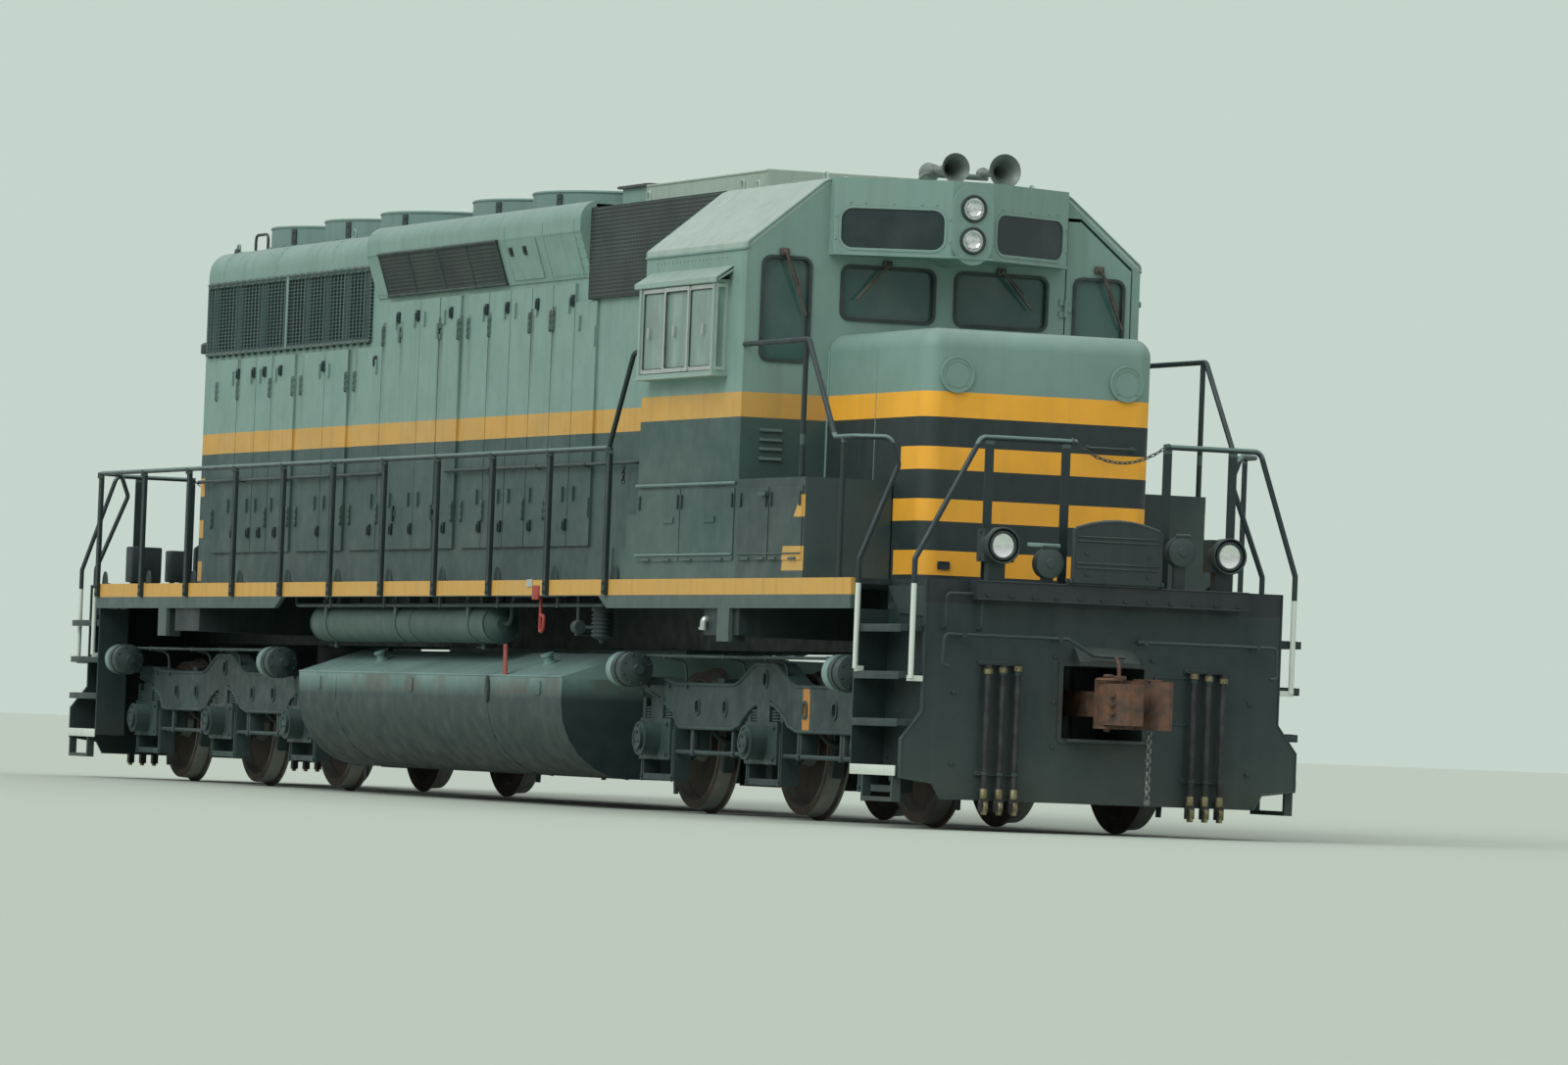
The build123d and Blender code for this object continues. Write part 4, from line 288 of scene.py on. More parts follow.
def pilot_paint():
    """Black pilot paint: painted shade along the anticlimber, brown with road dirt lower down."""
    look = Look("pilot_paint")
    # The band along the anticlimber is darkened as painted shade.
    paint = look.blend(look.band(look.z, RAIL + 1.500, RAIL + 1.672), (0.012, 0.031, 0.033),
                       (0.008, 0.015, 0.020))
    road = look.times(look.spread(look.z, RAIL + 0.75, RAIL + 0.15),
                      look.cloud(2.4, 6.0, 0.35, 0.65))
    paint = look.blend(look.times(road, 0.6), paint, (0.034, 0.042, 0.030))
    off_coupler = look.math("ADD", look.times(look.y, look.y), look.math(
        "POWER", look.math("SUBTRACT", look.z, RAIL + 0.86), 2.0))
    worn = look.times(look.spread(off_coupler, 0.22, 0.05), look.cloud(5.0, 6.0, 0.42, 0.62))
    paint = look.blend(look.times(worn, 0.5), paint, (0.070, 0.045, 0.032))
    return weathered(look, paint, dirt=0.25, rust=0.6, soil_from=-0.2, haze=0.05)


def sill_paint():
    """Black frame paint with the yellow band along the side sills."""
    look = Look("frame_black")
    outer = look.over(look.reach, 1.50)
    band, below = (look.times(outer, look.band(look.z, RAIL + low, RAIL + high))
                   for low, high in ((1.545, 1.6605), (1.2, 1.545)))
    paint = look.blend(band, look.blend(below, BLACK, (0.060, 0.098, 0.092)), YELLOW)
    return weathered(look, paint, dirt=0.5, rust=0.8, soil_from=0.4, haze=0.07)


def gear_paint(name, marked=False):
    """Grey running gear under oil, brake dust and rust, with one paint mark if asked."""
    look = Look(name)
    paint = look.blend(look.cloud(1.8, 7.0, 0.35, 0.65), GEAR_GREY, shaded(GEAR_GREY, 0.45))
    if marked:
        mark = look.times(look.band(look.x, 6.805, 6.935),
                          look.band(look.z, RAIL + 0.59, RAIL + 0.93), look.under(look.y, -1.0),
                          look.cloud(9.0, 5.0, 0.25, 0.4))
        paint = look.blend(mark, paint, (0.52, 0.22, 0.03))
    oil = look.cloud(3.1, 6.0, 0.55, 0.72, stretch=(1, 1, 0.35))
    paint = look.blend(look.times(oil, 0.7), paint, BLACK)
    return weathered(look, paint, rough=(0.38, 0.75), dirt=0.5, rust=0.7, soil_from=-0.4, haze=0.10,
                     settled=0.55, dust=BRAKE_DUST)


def tank_paint():
    """Grey tank paint with a painted highlight mixed with dust along its shoulder, stained below it, and
    painted shade darkening it towards the bottom.
    """
    look = Look("tank_paint")
    # Along the shoulder: a painted highlight, mixed with dust.
    shoulder_highlight_and_dust = look.times(look.spread(look.z, RAIL + 0.770, RAIL + 0.945),
                          look.cloud(2.2, 5.0, 0.25, 0.55, (0.55, 1.0), stretch=(0.5, 1, 1)))
    # Darker towards the bottom: painted shade.
    paint = look.blend(look.spread(look.z, RAIL + 0.30, RAIL + 0.80), (0.007, 0.020, 0.022),
                       (0.022, 0.048, 0.045))
    paint = look.blend(shoulder_highlight_and_dust, paint, (0.190, 0.315, 0.290))
    stain = look.times(look.band(look.z, RAIL + 0.800, RAIL + 0.930),
                       look.cloud(1.5, 5.0, 0.50, 0.62, (0.0, 0.55), at=(2, 0, 5)))
    paint = look.blend(stain, paint, (0.085, 0.062, 0.040))
    return weathered(look, paint, rough=(0.40, 0.65), dirt=0.30, rust=0.6, soil_from=-9, haze=0.05,
                     dust=BRAKE_DUST)


def wheel_steel():
    """Rusty rolled steel, polished where the tread and flange run."""
    look = Look("wheel_steel", 0.35)
    radial = look.under(look.size(look.facing[1]), 0.45)
    brown = look.blend(look.cloud(9.0, 7.0, 0.3, 0.7), (0.030, 0.032, 0.028), (0.085, 0.055, 0.036))
    polished = look.blend(look.cloud(4.0, 3.0, 0.3, 0.7), (0.380, 0.400, 0.380), (0.20, 0.20, 0.18))
    look.bump(look.noise(60.0, 6.0), 0.25, 0.002)
    return look.finish(look.blend(look.times(radial, 0.8), brown, polished),
                       look.spread(radial, 0, 1, 0.75, 0.34))


def castings(name, first, second, rough=(0.62, 0.85), metallic=0.1):
    """A rough casting, rubber or bare metal in two mixed colours."""
    look = Look(name, metallic)
    grain = look.noise(85.0, 6.0)
    look.bump(grain, 0.45, 0.0025)
    return look.finish(look.blend(look.cloud(11.0, 8.0, 0.34, 0.66), first, second),
                       look.spread(grain, 0.3, 0.7, *rough))


def tinted_glass(name, colour, alpha, rough=0.06, dust=0.6):
    """Safety glass with a film of dust, and blinds pulled down behind the side windows."""
    look = Look(name)
    film = look.times(look.cloud(3.5, 5.0, 0.42, 0.78), dust)
    blind = look.cloud(2.6, 3.0, 0.40, 0.62, (0.70, 1.0), stretch=(3.5, 1, 0.4), at=(4, 0, 0))
    tinted = look.blend(look.times(look.over(look.reach, 1.530), blind), colour, SIDE_PANE)
    look.give("IOR", 1.52)
    look.give("Alpha", look.spread(film, 0, 1, alpha, min(1.0, alpha + 0.22)))
    return look.finish(look.blend(film, tinted, shaded(DUST, 0.5)), look.spread(film, 0, 1, rough, 0.4))


def clear_lens():
    """The ribbed glass of a lamp over its reflector."""
    look = Look("lamp_lens")
    ribs = look.noise(60.0, 2.0, (0.2, 1.0, 1.0))
    look.bump(ribs, 0.35, 0.003)
    look.give("Alpha", 0.22)
    look.give("IOR", 1.5)
    return look.finish(look.blend(ribs, (0.70, 0.78, 0.74), (0.85, 0.92, 0.88)), 0.08)


def screen_wire():
    """Woven wire over an opening whose dark inside is painted shade in the gaps between the wires: fine
    crossed ridges, paler on the radiators.
    """
    look = Look("screen_wire")
    colour = look.blend(look.under(look.x, -3.300), (0.016, 0.035, 0.035), (0.074, 0.138, 0.130))
    across, along = (look.math("SINE", look.times(spot, 2 * math.pi / WEAVE))
                     for spot in (look.x, look.z))
    weave = look.math("MAXIMUM", across, along)
    wire = look.blend(look.times(look.cloud(2.0, 5.0, 0.3, 0.75), 0.25), colour, DUST)
    look.bump(weave, 0.7, 0.005)
    # The gaps between the wires are darkened towards black as painted shade of the opening behind.
    shaded_gaps = look.blend(0.78, colour, (0.0, 0.0, 0.0))
    return look.finish(look.blend(look.spread(weave, 0.0, 0.95), shaded_gaps, wire), 0.62)


PAINT_HOOD = striped_paint("hood_paint", CHARCOAL, ((7.600, 0.0),) * 3, stained=True)
PAINT_CAB = striped_paint("cab_paint", CHARCOAL)
PAINT_NOSE = striped_paint("nose_paint", (0.012, 0.028, 0.030),
                           ((7.758, 0.0), (7.650, 0.0), (7.689, 0.0)), FRESH_YELLOW,
                           dirt=0.25, haze=0.05)
PAINT_BATTERY = striped_paint("battery_paint", (0.022, 0.050, 0.050),
                              ((9.0, 0.0), (7.470, 0.8), (7.254, 0.25)), side=1.520, haze=0.08)
PAINT_DOOR = door_paint()
PAINT_ROOF = plain_paint("roof_paint", (0.360, 0.465, 0.410), dirt=0.6, rust=0.9)
PAINT_GREY = plain_paint("grey_paint", GREY, dirt=0.6, rust=0.3)
PAINT_BOX = roof_box_paint()
PAINT_FANS = plain_paint("fan_paint", (0.140, 0.238, 0.218), dirt=0.7, rust=0.3)
PAINT_AWNING = plain_paint("awning_paint", (0.270, 0.390, 0.335), dirt=0.5, rust=0.4)
PAINT_HINGE = plain_paint("hinge_paint", (0.048, 0.088, 0.080), dirt=0.5, rust=0.5)
PAINT_BLACK = plain_paint("black_paint", BLACK, dirt=0.3, rust=0.5, soil_from=-0.2, haze=0.05)
PAINT_RAIL = plain_paint("rail_paint", (0.020, 0.040, 0.041), dirt=0.3, rust=0.6, haze=0.07)
PAINT_HANDRAIL = handrail_paint()
PAINT_PILOT = pilot_paint()
PAINT_WHITE = plain_paint("white_paint", WHITE, rough=(0.35, 0.6), dirt=0.4, rust=0.4)
PAINT_RED = plain_paint("red_paint", (0.34, 0.030, 0.020), dirt=0.4, rust=0.2)
PAINT_SILL = sill_paint()
GEAR = gear_paint("gear_paint")
GEAR_MARKED = gear_paint("gear_marked", marked=True)
TANK = tank_paint()
RESERVOIRS = plain_paint("reservoir_paint", (0.052, 0.096, 0.086), dirt=0.5, rust=0.4, haze=0.10,
                         settled=0.5, dust=BRAKE_DUST)
ENGINE = plain_paint("engine_paint", (0.020, 0.030, 0.031), dirt=0.5, rust=0.6, haze=0.06)
WHEEL = wheel_steel()
CAST = castings("rusty_casting", (0.060, 0.045, 0.034), (0.165, 0.078, 0.045))
SOOTY = castings("sooty_steel", (0.050, 0.050, 0.054), (0.105, 0.098, 0.100))
STEEL = castings("grey_steel", (0.18, 0.20, 0.19), (0.30, 0.32, 0.30), (0.35, 0.55), 0.8)
ALUMINIUM = castings("aluminium", (0.50, 0.56, 0.53), (0.62, 0.68, 0.64), (0.28, 0.42), 0.75)
BLADES = castings("fan_blades", (0.200, 0.225, 0.215), (0.300, 0.325, 0.310), (0.45, 0.65), 0.5)
CHROME = castings("reflector", (0.80, 0.84, 0.82), (0.90, 0.93, 0.91), (0.05, 0.12), 1.0)
HOSE = castings("hose_rubber", (0.012, 0.014, 0.014), (0.035, 0.042, 0.040), (0.55, 0.75), 0.0)
GASKET = castings("gasket_rubber", (0.020, 0.035, 0.034), (0.038, 0.058, 0.055), (0.5, 0.7), 0.0)
WIPER = castings("wiper_steel", (0.055, 0.052, 0.044), (0.130, 0.105, 0.082), (0.5, 0.7), 0.2)
SEAT = castings("seat_vinyl", (0.020, 0.022, 0.022), (0.035, 0.038, 0.036), (0.40, 0.6), 0.0)
HORN = castings("horn_paint", (0.145, 0.190, 0.170), (0.215, 0.265, 0.235), (0.35, 0.6), 0.35)
BRASS = castings("old_brass", (0.14, 0.13, 0.07), (0.30, 0.27, 0.15), (0.35, 0.6), 0.6)
GLASS = tinted_glass("window_glass", PANE, 0.80)
LENS = clear_lens()
BOARD = tinted_glass("board_glass", (0.013, 0.031, 0.033), 1.0, 0.12, 0.20)
SCREEN = screen_wire()

# A node takes the look of the first start that its name has
NODE_LOOKS = (
    ("underframe", PAINT_SILL), ("pilot", PAINT_PILOT), ("fuel_tank", TANK),
    ("air_reservoirs", RESERVOIRS), ("engine_block", ENGINE), ("engine_door", PAINT_HOOD),
    ("hood_grilles", SCREEN), ("hood", PAINT_HOOD), ("brake_flare", PAINT_HOOD),
    ("fan_housings", PAINT_FANS), ("fan", BLADES), ("roof_fittings", PAINT_BOX),
    ("battery_boxes", PAINT_BATTERY), ("cab_door", PAINT_DOOR), ("cab_roof", PAINT_ROOF),
    ("cab_glass", GLASS), ("cab_furniture", SEAT), ("cab", PAINT_CAB),
    ("window_awnings", PAINT_AWNING), ("nose", PAINT_NOSE), ("headlight_housing", PAINT_GREY),
    ("ditch_lights", PAINT_BLACK), ("horns", STEEL), ("side_handrails", PAINT_HANDRAIL),
    ("end_handrails", PAINT_HANDRAIL), ("air_hoses", HOSE), ("truck_frame_front", GEAR_MARKED),
    ("truck_frame", GEAR), ("traction_motors", ENGINE), ("coupler", CAST), ("knuckle", CAST),
    ("drop_step", PAINT_BLACK), ("wheelset", WHEEL),
)
for name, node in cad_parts.items():
    node.data.materials.clear()
    node.data.materials.append(next(look for start, look in NODE_LOOKS if name.startswith(start)))


# Mesh making

def spun(degrees, radius=1.0):
    """The two parts of a radius turned by an angle."""
    return radius * math.cos(math.radians(degrees)), radius * math.sin(math.radians(degrees))


def grown(size, by):
    return tuple(part + by for part in size)


def hoop(inner, outer, low, high):
    """The profile of a flat band, for a lathe whose ends are joined."""
    return (inner, low), (outer, low), (outer, high), (inner, high)


def bead(radius, along, wire=0.010):
    """The profile of a round wire bent into a circle."""
    return [(radius + out, along + up) for out, up in (spun(60 * n, wire) for n in range(6))]


def rectangle(x, y, z):
    """A flat outline around the middle place y = 0, between two places along."""
    return [(x[0], -y, z), (x[1], -y, z), (x[1], y, z), (x[0], y, z)]


def eased(points, bend):
    """The points with each corner swapped for a short curve."""
    if bend <= 0 or len(points) < 3:
        return points
    path = [points[0]]
    for before, corner, after in zip(points, points[1:], points[2:]):
        into, out = before - corner, after - corner
        reach = min(bend, 0.45 * into.length, 0.45 * out.length)
        start = corner + into.normalized() * reach
        end = corner + out.normalized() * reach
        path += [start * (1 - t) ** 2 + corner * 2 * t * (1 - t) + end * t ** 2
                 for t in (0, 0.25, 0.5, 0.75, 1)]
    return path + [points[-1]]


def rounded(centre, spans, size, steps=5):
    """A rounded rectangle's outline. Its size is half its width, half its height and the
    corners' radius."""
    centre, across, upward = Vector(centre), Vector(spans[0]), Vector(spans[1])
    half_w, half_h, corner = size
    points = []
    for sx, sy, start in ((1, 1, 0), (-1, 1, 90), (-1, -1, 180), (1, -1, 270)):
        for n in range(steps + 1):
            w, h = spun(start + 90 * n / steps, corner)
            points.append(centre + across * (sx * (half_w - corner) + w)
                          + upward * (sy * (half_h - corner) + h))
    return points


class Shape:
    """Primitives gathered into one mesh piece. Its points have heights above the rail head,
    and its two signs mirror them across and along."""

    def __init__(self, side=1, way=1):
        self.bm = bmesh.new()
        self.signs = Vector((way, side, 1))

    def at(self, point):
        return Vector(point) * self.signs + Vector((0, 0, RAIL))

    def aim(self, direction):
        return Vector(direction) * self.signs

    def loop(self, points):
        return [self.bm.verts.new(point) for point in points]

    def join(self, first, second):
        """Faces between two closed loops; a point that two corners share makes a triangle."""
        for corners in zip(first, first[1:] + first[:1], second[1:] + second[:1], second):
            corners = list(dict.fromkeys(corners))
            if len(corners) > 2:
                self.bm.faces.new(corners)

    def box(self, low, high, bevel=0.0):
        """A block between two corners, its edges rounded off by bevel."""
        ends = self.at(low), self.at(high)
        low, high = Vector(map(min, *ends)), Vector(map(max, *ends))
        verts = bmesh.ops.create_cube(self.bm, size=1.0)["verts"]
        bmesh.ops.scale(self.bm, vec=high - low, verts=verts)
        bmesh.ops.translate(self.bm, vec=(low + high) / 2, verts=verts)
        if bevel:
            bmesh.ops.bevel(self.bm, geom=list({e for v in verts for e in v.link_edges}),
                            offset=bevel, segments=2, affect="EDGES", profile=0.5)

    def turned(self, profile, origin, axis, steps=24, ends="capped"):
        """A lathe of (radius, distance along axis) points; it closes where the radius is 0.
        Its ends are capped, left open or joined into a hoop."""
        turn = Vector(UP).rotation_difference(self.aim(axis)).to_matrix()
        origin = self.at(origin)
        rings = []
        for radius, along in profile:
            count = steps if radius else 1
            ring = self.loop(origin + turn @ Vector((*spun(360 * n / steps, radius), along))
                             for n in range(count))
            rings.append(ring * (steps // count))
        following = rings[1:] + rings[:1] if ends == "hoop" else rings[1:]
        for first, second in zip(rings, following):
            self.join(first, second)
        for ring in (rings[0], rings[-1]):
            if ends == "capped" and ring[0] is not ring[1]:
                self.bm.faces.new(ring)

    def tube(self, points, radius, sides=10, bend=0.0):
        """A round bar along points, its corners eased over the bend distance."""
        self.bar([self.at(p) for p in points], radius, sides, bend)

    def bar(self, points, radius, sides, bend=0.0):
        path = eased(points, bend)
        rings = []
        across = None
        for n, spot in enumerate(path):
            ahead = (path[min(n + 1, len(path) - 1)] - path[max(n - 1, 0)]).normalized()
            across = across or ahead.orthogonal().normalized()
            across = (across - ahead * across.dot(ahead)).normalized()
            other = ahead.cross(across)
            turns = [spun(360 * k / sides, radius) for k in range(sides)]
            rings.append(self.loop(spot + across * c + other * s for c, s in turns))
        for first, second in zip(rings, rings[1:]):
            self.join(first, second)
        self.bm.faces.new(rings[0])
        self.bm.faces.new(rings[-1])

    def chain(self, points, wire):
        """Links that stand turn about along the points."""
        points = [self.at(p) for p in points]
        for n, (near, far) in enumerate(zip(points, points[1:])):
            along = (far - near).normalized()
            side = along.orthogonal().normalized()
            if n % 2:
                side = along.cross(side)
            half = (far - near).length / 2 + wire * 1.6
            turns = [spun(30 * k) for k in (*range(12), 0)]
            self.bar([(near + far) / 2 + along * half * c + side * wire * 2.4 * s for c, s in turns],
                     wire, 5)

    def slab(self, outline, depth):
        """A flat plate from a closed outline of points, as thick as the depth vector."""
        outline = [self.at(p) for p in outline]
        bottom, top = self.loop(outline), self.loop(p + self.aim(depth) for p in outline)
        self.bm.faces.new(bottom)
        self.bm.faces.new(top)
        self.join(bottom, top)

    def pad(self, centre, spans, size, depth, steps=5):
        """A slab with a rounded outline."""
        self.slab(rounded(centre, spans, size, steps), depth)

    def ring(self, inner, outer, depth):
        """A flat frame between two outlines with the same number of points."""
        lift = self.aim(depth)
        inner, outer = [self.at(p) for p in inner], [self.at(p) for p in outer]
        loops = [self.loop(points) for points in (outer, [p + lift for p in outer],
                                                  [p + lift for p in inner], inner)]
        for first, second in zip(loops, loops[1:] + loops[:1]):
            self.join(first, second)

    def rim(self, centre, spans, inner, outer, depth, steps=5):
        """A ring between two rounded outlines."""
        self.ring(rounded(centre, spans, inner, steps), rounded(centre, spans, outer, steps), depth)

    def bolt(self, at, normal, radius=0.011, height=0.009):
        """A hexagon head with a washer, standing on a surface."""
        low = height * 0.25
        self.turned(((radius * 1.35, 0), (radius * 1.35, low)), at, normal, 8)
        self.turned(((radius, low), (radius, height), (radius * 0.75, height * 1.15)), at, normal, 6)

    def finish(self, name, look, slot, body=BODY):
        """Turns the gathered primitives into a piece that rides on a body."""
        bmesh.ops.recalc_face_normals(self.bm, faces=self.bm.faces)
        mesh = bpy.data.meshes.new(name)
        self.bm.to_mesh(mesh)
        self.bm.free()
        mesh.materials.append(look)
        mesh.set_sharp_from_angle(angle=math.radians(38))
        mesh.polygons.foreach_set("use_smooth", [True] * len(mesh.polygons))
        piece = bpy.data.objects.new(name, mesh)
        bpy.context.scene.collection.objects.link(piece)
        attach(piece, body)
        return piece


def sides(*shapes):
    """Mirrors the shapes to the right side, then back to the left one."""
    for side in (-1, 1):
        for shape in shapes:
            shape.signs.y *= -1
        yield side


# Cab: window gaskets, wipers, louvres, box windows and gutters

CAB_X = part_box("cab_side_walls")[1].x
BACK_CAB_X = 4.445
# Window openings: nearest and farthest place across, sill, head
WINDSHIELD = (0.082, 0.795, 3.533, 3.910)
FRONT_QUARTER = (1.037, 1.400, 3.211, 3.944)
REAR_QUARTER = (1.010, 1.380, 3.230, 3.900)
DOOR_WINDOW = (1.010, 1.395, 3.230, 3.920)
WINDOW_R = 0.060
GASKET_LAP = 0.012
BAY_X = (4.620, 6.090)
BAY_Z = (3.130, 3.755)
BAY_Y = 1.640
CAB_SIDE_Y = 1.524
EAVE = 4.040
ROOF_BEND_Y = 0.923
ROOF_TOP = 4.530
LOCKER_Y = 1.533


def gasket(shape, wall_x, way, opening, across):
    """A rubber channel round a window opening, with a lip over the wall's face."""
    low, high, sill, head = opening
    size = (high - low) / 2, (head - sill) / 2, WINDOW_R
    for inner, outer, start, depth in ((-0.013, -0.0005, -0.026, 0.030),
                                       (-0.010, GASKET_LAP, 0.0005, 0.012)):
        shape.rim((wall_x + way * start, across * (low + high) / 2, (sill + head) / 2), ON_END,
                  grown(size, inner), grown(size, outer), (way * depth, 0, 0))


def window_gaskets():
    """Gaskets round the cab's front and rear windows, and the doors' gaskets and handles."""
    shape = Shape()
    for wall_x, way, opening, across in (
            (CAB_X, 1, WINDSHIELD, -1), (CAB_X, 1, WINDSHIELD, 1), (CAB_X, 1, FRONT_QUARTER, -1),
            (BACK_CAB_X, -1, REAR_QUARTER, 1)):
        gasket(shape, wall_x, way, opening, across)
    shape.finish("window_gaskets", GASKET, "hose_rubber")
    for end, wall_x, way in (("front", CAB_X, 1), ("rear", BACK_CAB_X, -1)):
        shape = Shape()
        gasket(shape, wall_x, way, DOOR_WINDOW, way)
        shape.finish(f"door_gasket_{end}", GASKET, "hose_rubber", f"cab_door_{end}")
        y, z = way * 1.425, 3.050
        shape = Shape()
        shape.turned(((0.030, 0), (0.030, 0.006), (0.016, 0.010), (0.012, 0.030)), (wall_x, y, z),
                     (way, 0, 0), 16)
        shape.tube(((wall_x + way * 0.026, y, z), (wall_x + way * 0.030, y - way * 0.110, z - 0.006)),
                   0.009)
        shape.box((wall_x, y - 0.022, 2.940), (wall_x + way * 0.006, y + 0.022, 2.990), 0.002)
        shape.finish(f"door_handle_{end}", STEEL, "wheel_steel", f"cab_door_{end}")


def wiper(shape, wall_x, way, pivot, hand, half):
    """A wiper: its motor at the pivot, the arm and a blade that lies along it."""
    motor = Vector((wall_x, *pivot))
    grip = Vector((wall_x + way * 0.034, *hand))
    shape.box(motor + Vector((0, -0.034, -0.022)), motor + Vector((way * 0.034, 0.034, 0.030)), 0.006)
    shape.turned(((0.016, 0.03), (0.016, 0.048), (0.010, 0.053)), motor, (way, 0, 0), 12)
    shape.tube((motor + Vector((way * 0.044, 0, 0)),
                (motor + grip) / 2 + Vector((way * 0.034, 0, 0)), grip), 0.009, 8, 0.05)
    shape.tube((motor + Vector((way * 0.038, 0.016, -0.004)),
                grip + Vector((way * 0.004, 0.014, 0.02))), 0.005, 6)
    along = (grip - motor) * Vector((0, 1, 1))
    along.normalize()
    for out, radius in ((-0.008, 0.009), (-0.020, 0.005)):
        middle = grip + Vector((way * out, 0, 0))
        shape.tube((middle - along * half, middle + along * half), radius, 8)


def wipers():
    """Wipers over the front windows, the rear one and the front door's."""
    shape = Shape()
    wiper(shape, CAB_X, 1, (-1.246, 3.978), (-1.125, 3.680), 0.150)
    wiper(shape, CAB_X, 1, (-0.455, 3.930), (-0.600, 3.770), 0.130)
    wiper(shape, CAB_X, 1, (0.430, 3.930), (0.585, 3.765), 0.130)
    wiper(shape, BACK_CAB_X, -1, (1.246, 3.978), (1.125, 3.680), 0.150)
    shape.finish("wipers", WIPER, "rail_paint")
    shape = Shape()
    wiper(shape, CAB_X, 1, (1.193, 3.985), (1.330, 3.690), 0.130)
    shape.finish("door_wiper_front", WIPER, "rail_paint", "cab_door_front")


def front_louvres():
    """Four pressed louvres in the cab's front wall beside the nose."""
    for side_name, side in SIDES:
        shape = Shape(side)
        for z in (2.510, 2.579, 2.644, 2.712):
            shape.slab([(CAB_X + out, 1.209, z + up) for out, up in
                        ((0, 0.016), (0.016, -0.002), (0.016, -0.008), (0, -0.010))], (0, 0.170, 0))
        shape.finish(f"front_louvres_{side_name}", PAINT_HINGE, "grey_body_paint")


def bay_windows():
    """Three aluminium sashes in each box window, their seals, and the box's lips and bolts."""
    face = BAY_Y - 0.024
    low, high = BAY_X[0] + 0.036, BAY_X[1] - 0.036
    width = (high - low + 0.06) / 3
    middle, half_h = sum(BAY_Z) / 2, (BAY_Z[1] - BAY_Z[0]) / 2 - 0.006
    for side_name, side in SIDES:
        frames, seals, trim = Shape(side), Shape(side), Shape(side)
        for n in range(3):
            centre = low + n * (width - 0.03) + width / 2, face + (0.010 if n == 1 else 0.0), middle
            for grow, depth, made in ((0.030, 0.012, frames), (0.036, 0.008, seals)):
                w, h = width / 2 - grow, half_h - grow
                made.rim(centre, ON_SIDE, (w, h, 0.018), (w + 0.028, h + 0.028, 0.008), (0, depth, 0))
        for end_x, out in ((BAY_X[0], -1), (BAY_X[1], 1)):
            frames.rim((end_x - out * 0.010, (CAB_SIDE_Y + BAY_Y) / 2, middle), ON_END,
                       (0.030, half_h - 0.024, 0.012), (0.044, half_h, 0.006), (out * 0.012, 0, 0))
        for x in (4.80, 5.30, 5.86):
            frames.box((x, face - 0.003, BAY_Z[0] + 0.26), (x + 0.018, face + 0.024, BAY_Z[0] + 0.34),
                       0.003)
        frames.finish(f"window_sashes_{side_name}", ALUMINIUM, "aluminium_blade")
        seals.finish(f"sash_seals_{side_name}", GASKET, "hose_rubber")
        lip_y = BAY_Y + 0.006
        trim.tube(((4.555, lip_y, 3.762), (6.145, lip_y, 3.762)), 0.008, 8)
        for x in (4.550, 6.144):
            trim.slab(((x, CAB_SIDE_Y, 3.874), (x, lip_y, 3.782), (x, lip_y, 3.760),
                       (x, CAB_SIDE_Y, 3.840)), (0.006, 0, 0))
        for x in (4.70, 5.10, 5.50, 5.90):
            trim.tube(((x, 1.520, 3.800), (x, 1.630, 3.778)), 0.006, 6)
        for n in range(19):
            trim.bolt((4.66 + n * 0.075, CAB_SIDE_Y, 3.945), ACROSS, 0.007, 0.006)
        trim.box((BAY_X[0] - 0.02, CAB_SIDE_Y, 3.092), (BAY_X[1] + 0.02, 1.652, 3.106), 0.003)
        trim.finish(f"bay_trim_{side_name}", PAINT_AWNING, "grey_body_paint")


def cab_gutters():
    """Rain gutters along the eaves, beads down the gables and the roof's small fittings."""
    shape = Shape()
    for _ in sides(shape):
        shape.box((BACK_CAB_X + 0.002, CAB_SIDE_Y, 3.986), (CAB_X - 0.002, 1.537, 4.002), 0.003)
        for x in (CAB_X + 0.004, BACK_CAB_X - 0.004):
            shape.tube(((x, 1.522, 3.995), (x, 1.522, EAVE - 0.004),
                        (x, ROOF_BEND_Y, ROOF_TOP - 0.008), (x, 0, ROOF_TOP - 0.006)), 0.008, 8, 0.06)
    shape.finish("cab_gutters", PAINT_GREY, "grey_body_paint")
    shape = Shape()
    shape.turned(((0.075, 0), (0.070, 0.018), (0.045, 0.034), (0, 0.040)), (6.10, -0.402, ROOF_TOP),
                 UP, 20)
    shape.turned(((0.030, 0), (0.030, 0.014), (0.018, 0.024), (0, 0.026)), (6.22, -0.718, ROOF_TOP),
                 UP, 14)
    for _ in sides(shape):
        for x in (4.75, 6.05):
            shape.box((x - 0.05, 0.792, ROOF_TOP), (x + 0.05, 0.808, ROOF_TOP + 0.012), 0.002)
            shape.tube([(x + dx, 0.80, ROOF_TOP + up) for dx, up in
                        ((-0.035, 0), (-0.030, 0.06), (0.030, 0.06), (0.035, 0))], 0.009, 8, 0.03)
    for x in (5.10, 5.75):
        shape.box((x - 0.012, -0.93, ROOF_TOP), (x + 0.012, 0.93, ROOF_TOP + 0.006), 0.002)
    shape.finish("cab_roof_fittings", PAINT_ROOF, "roof_paint")


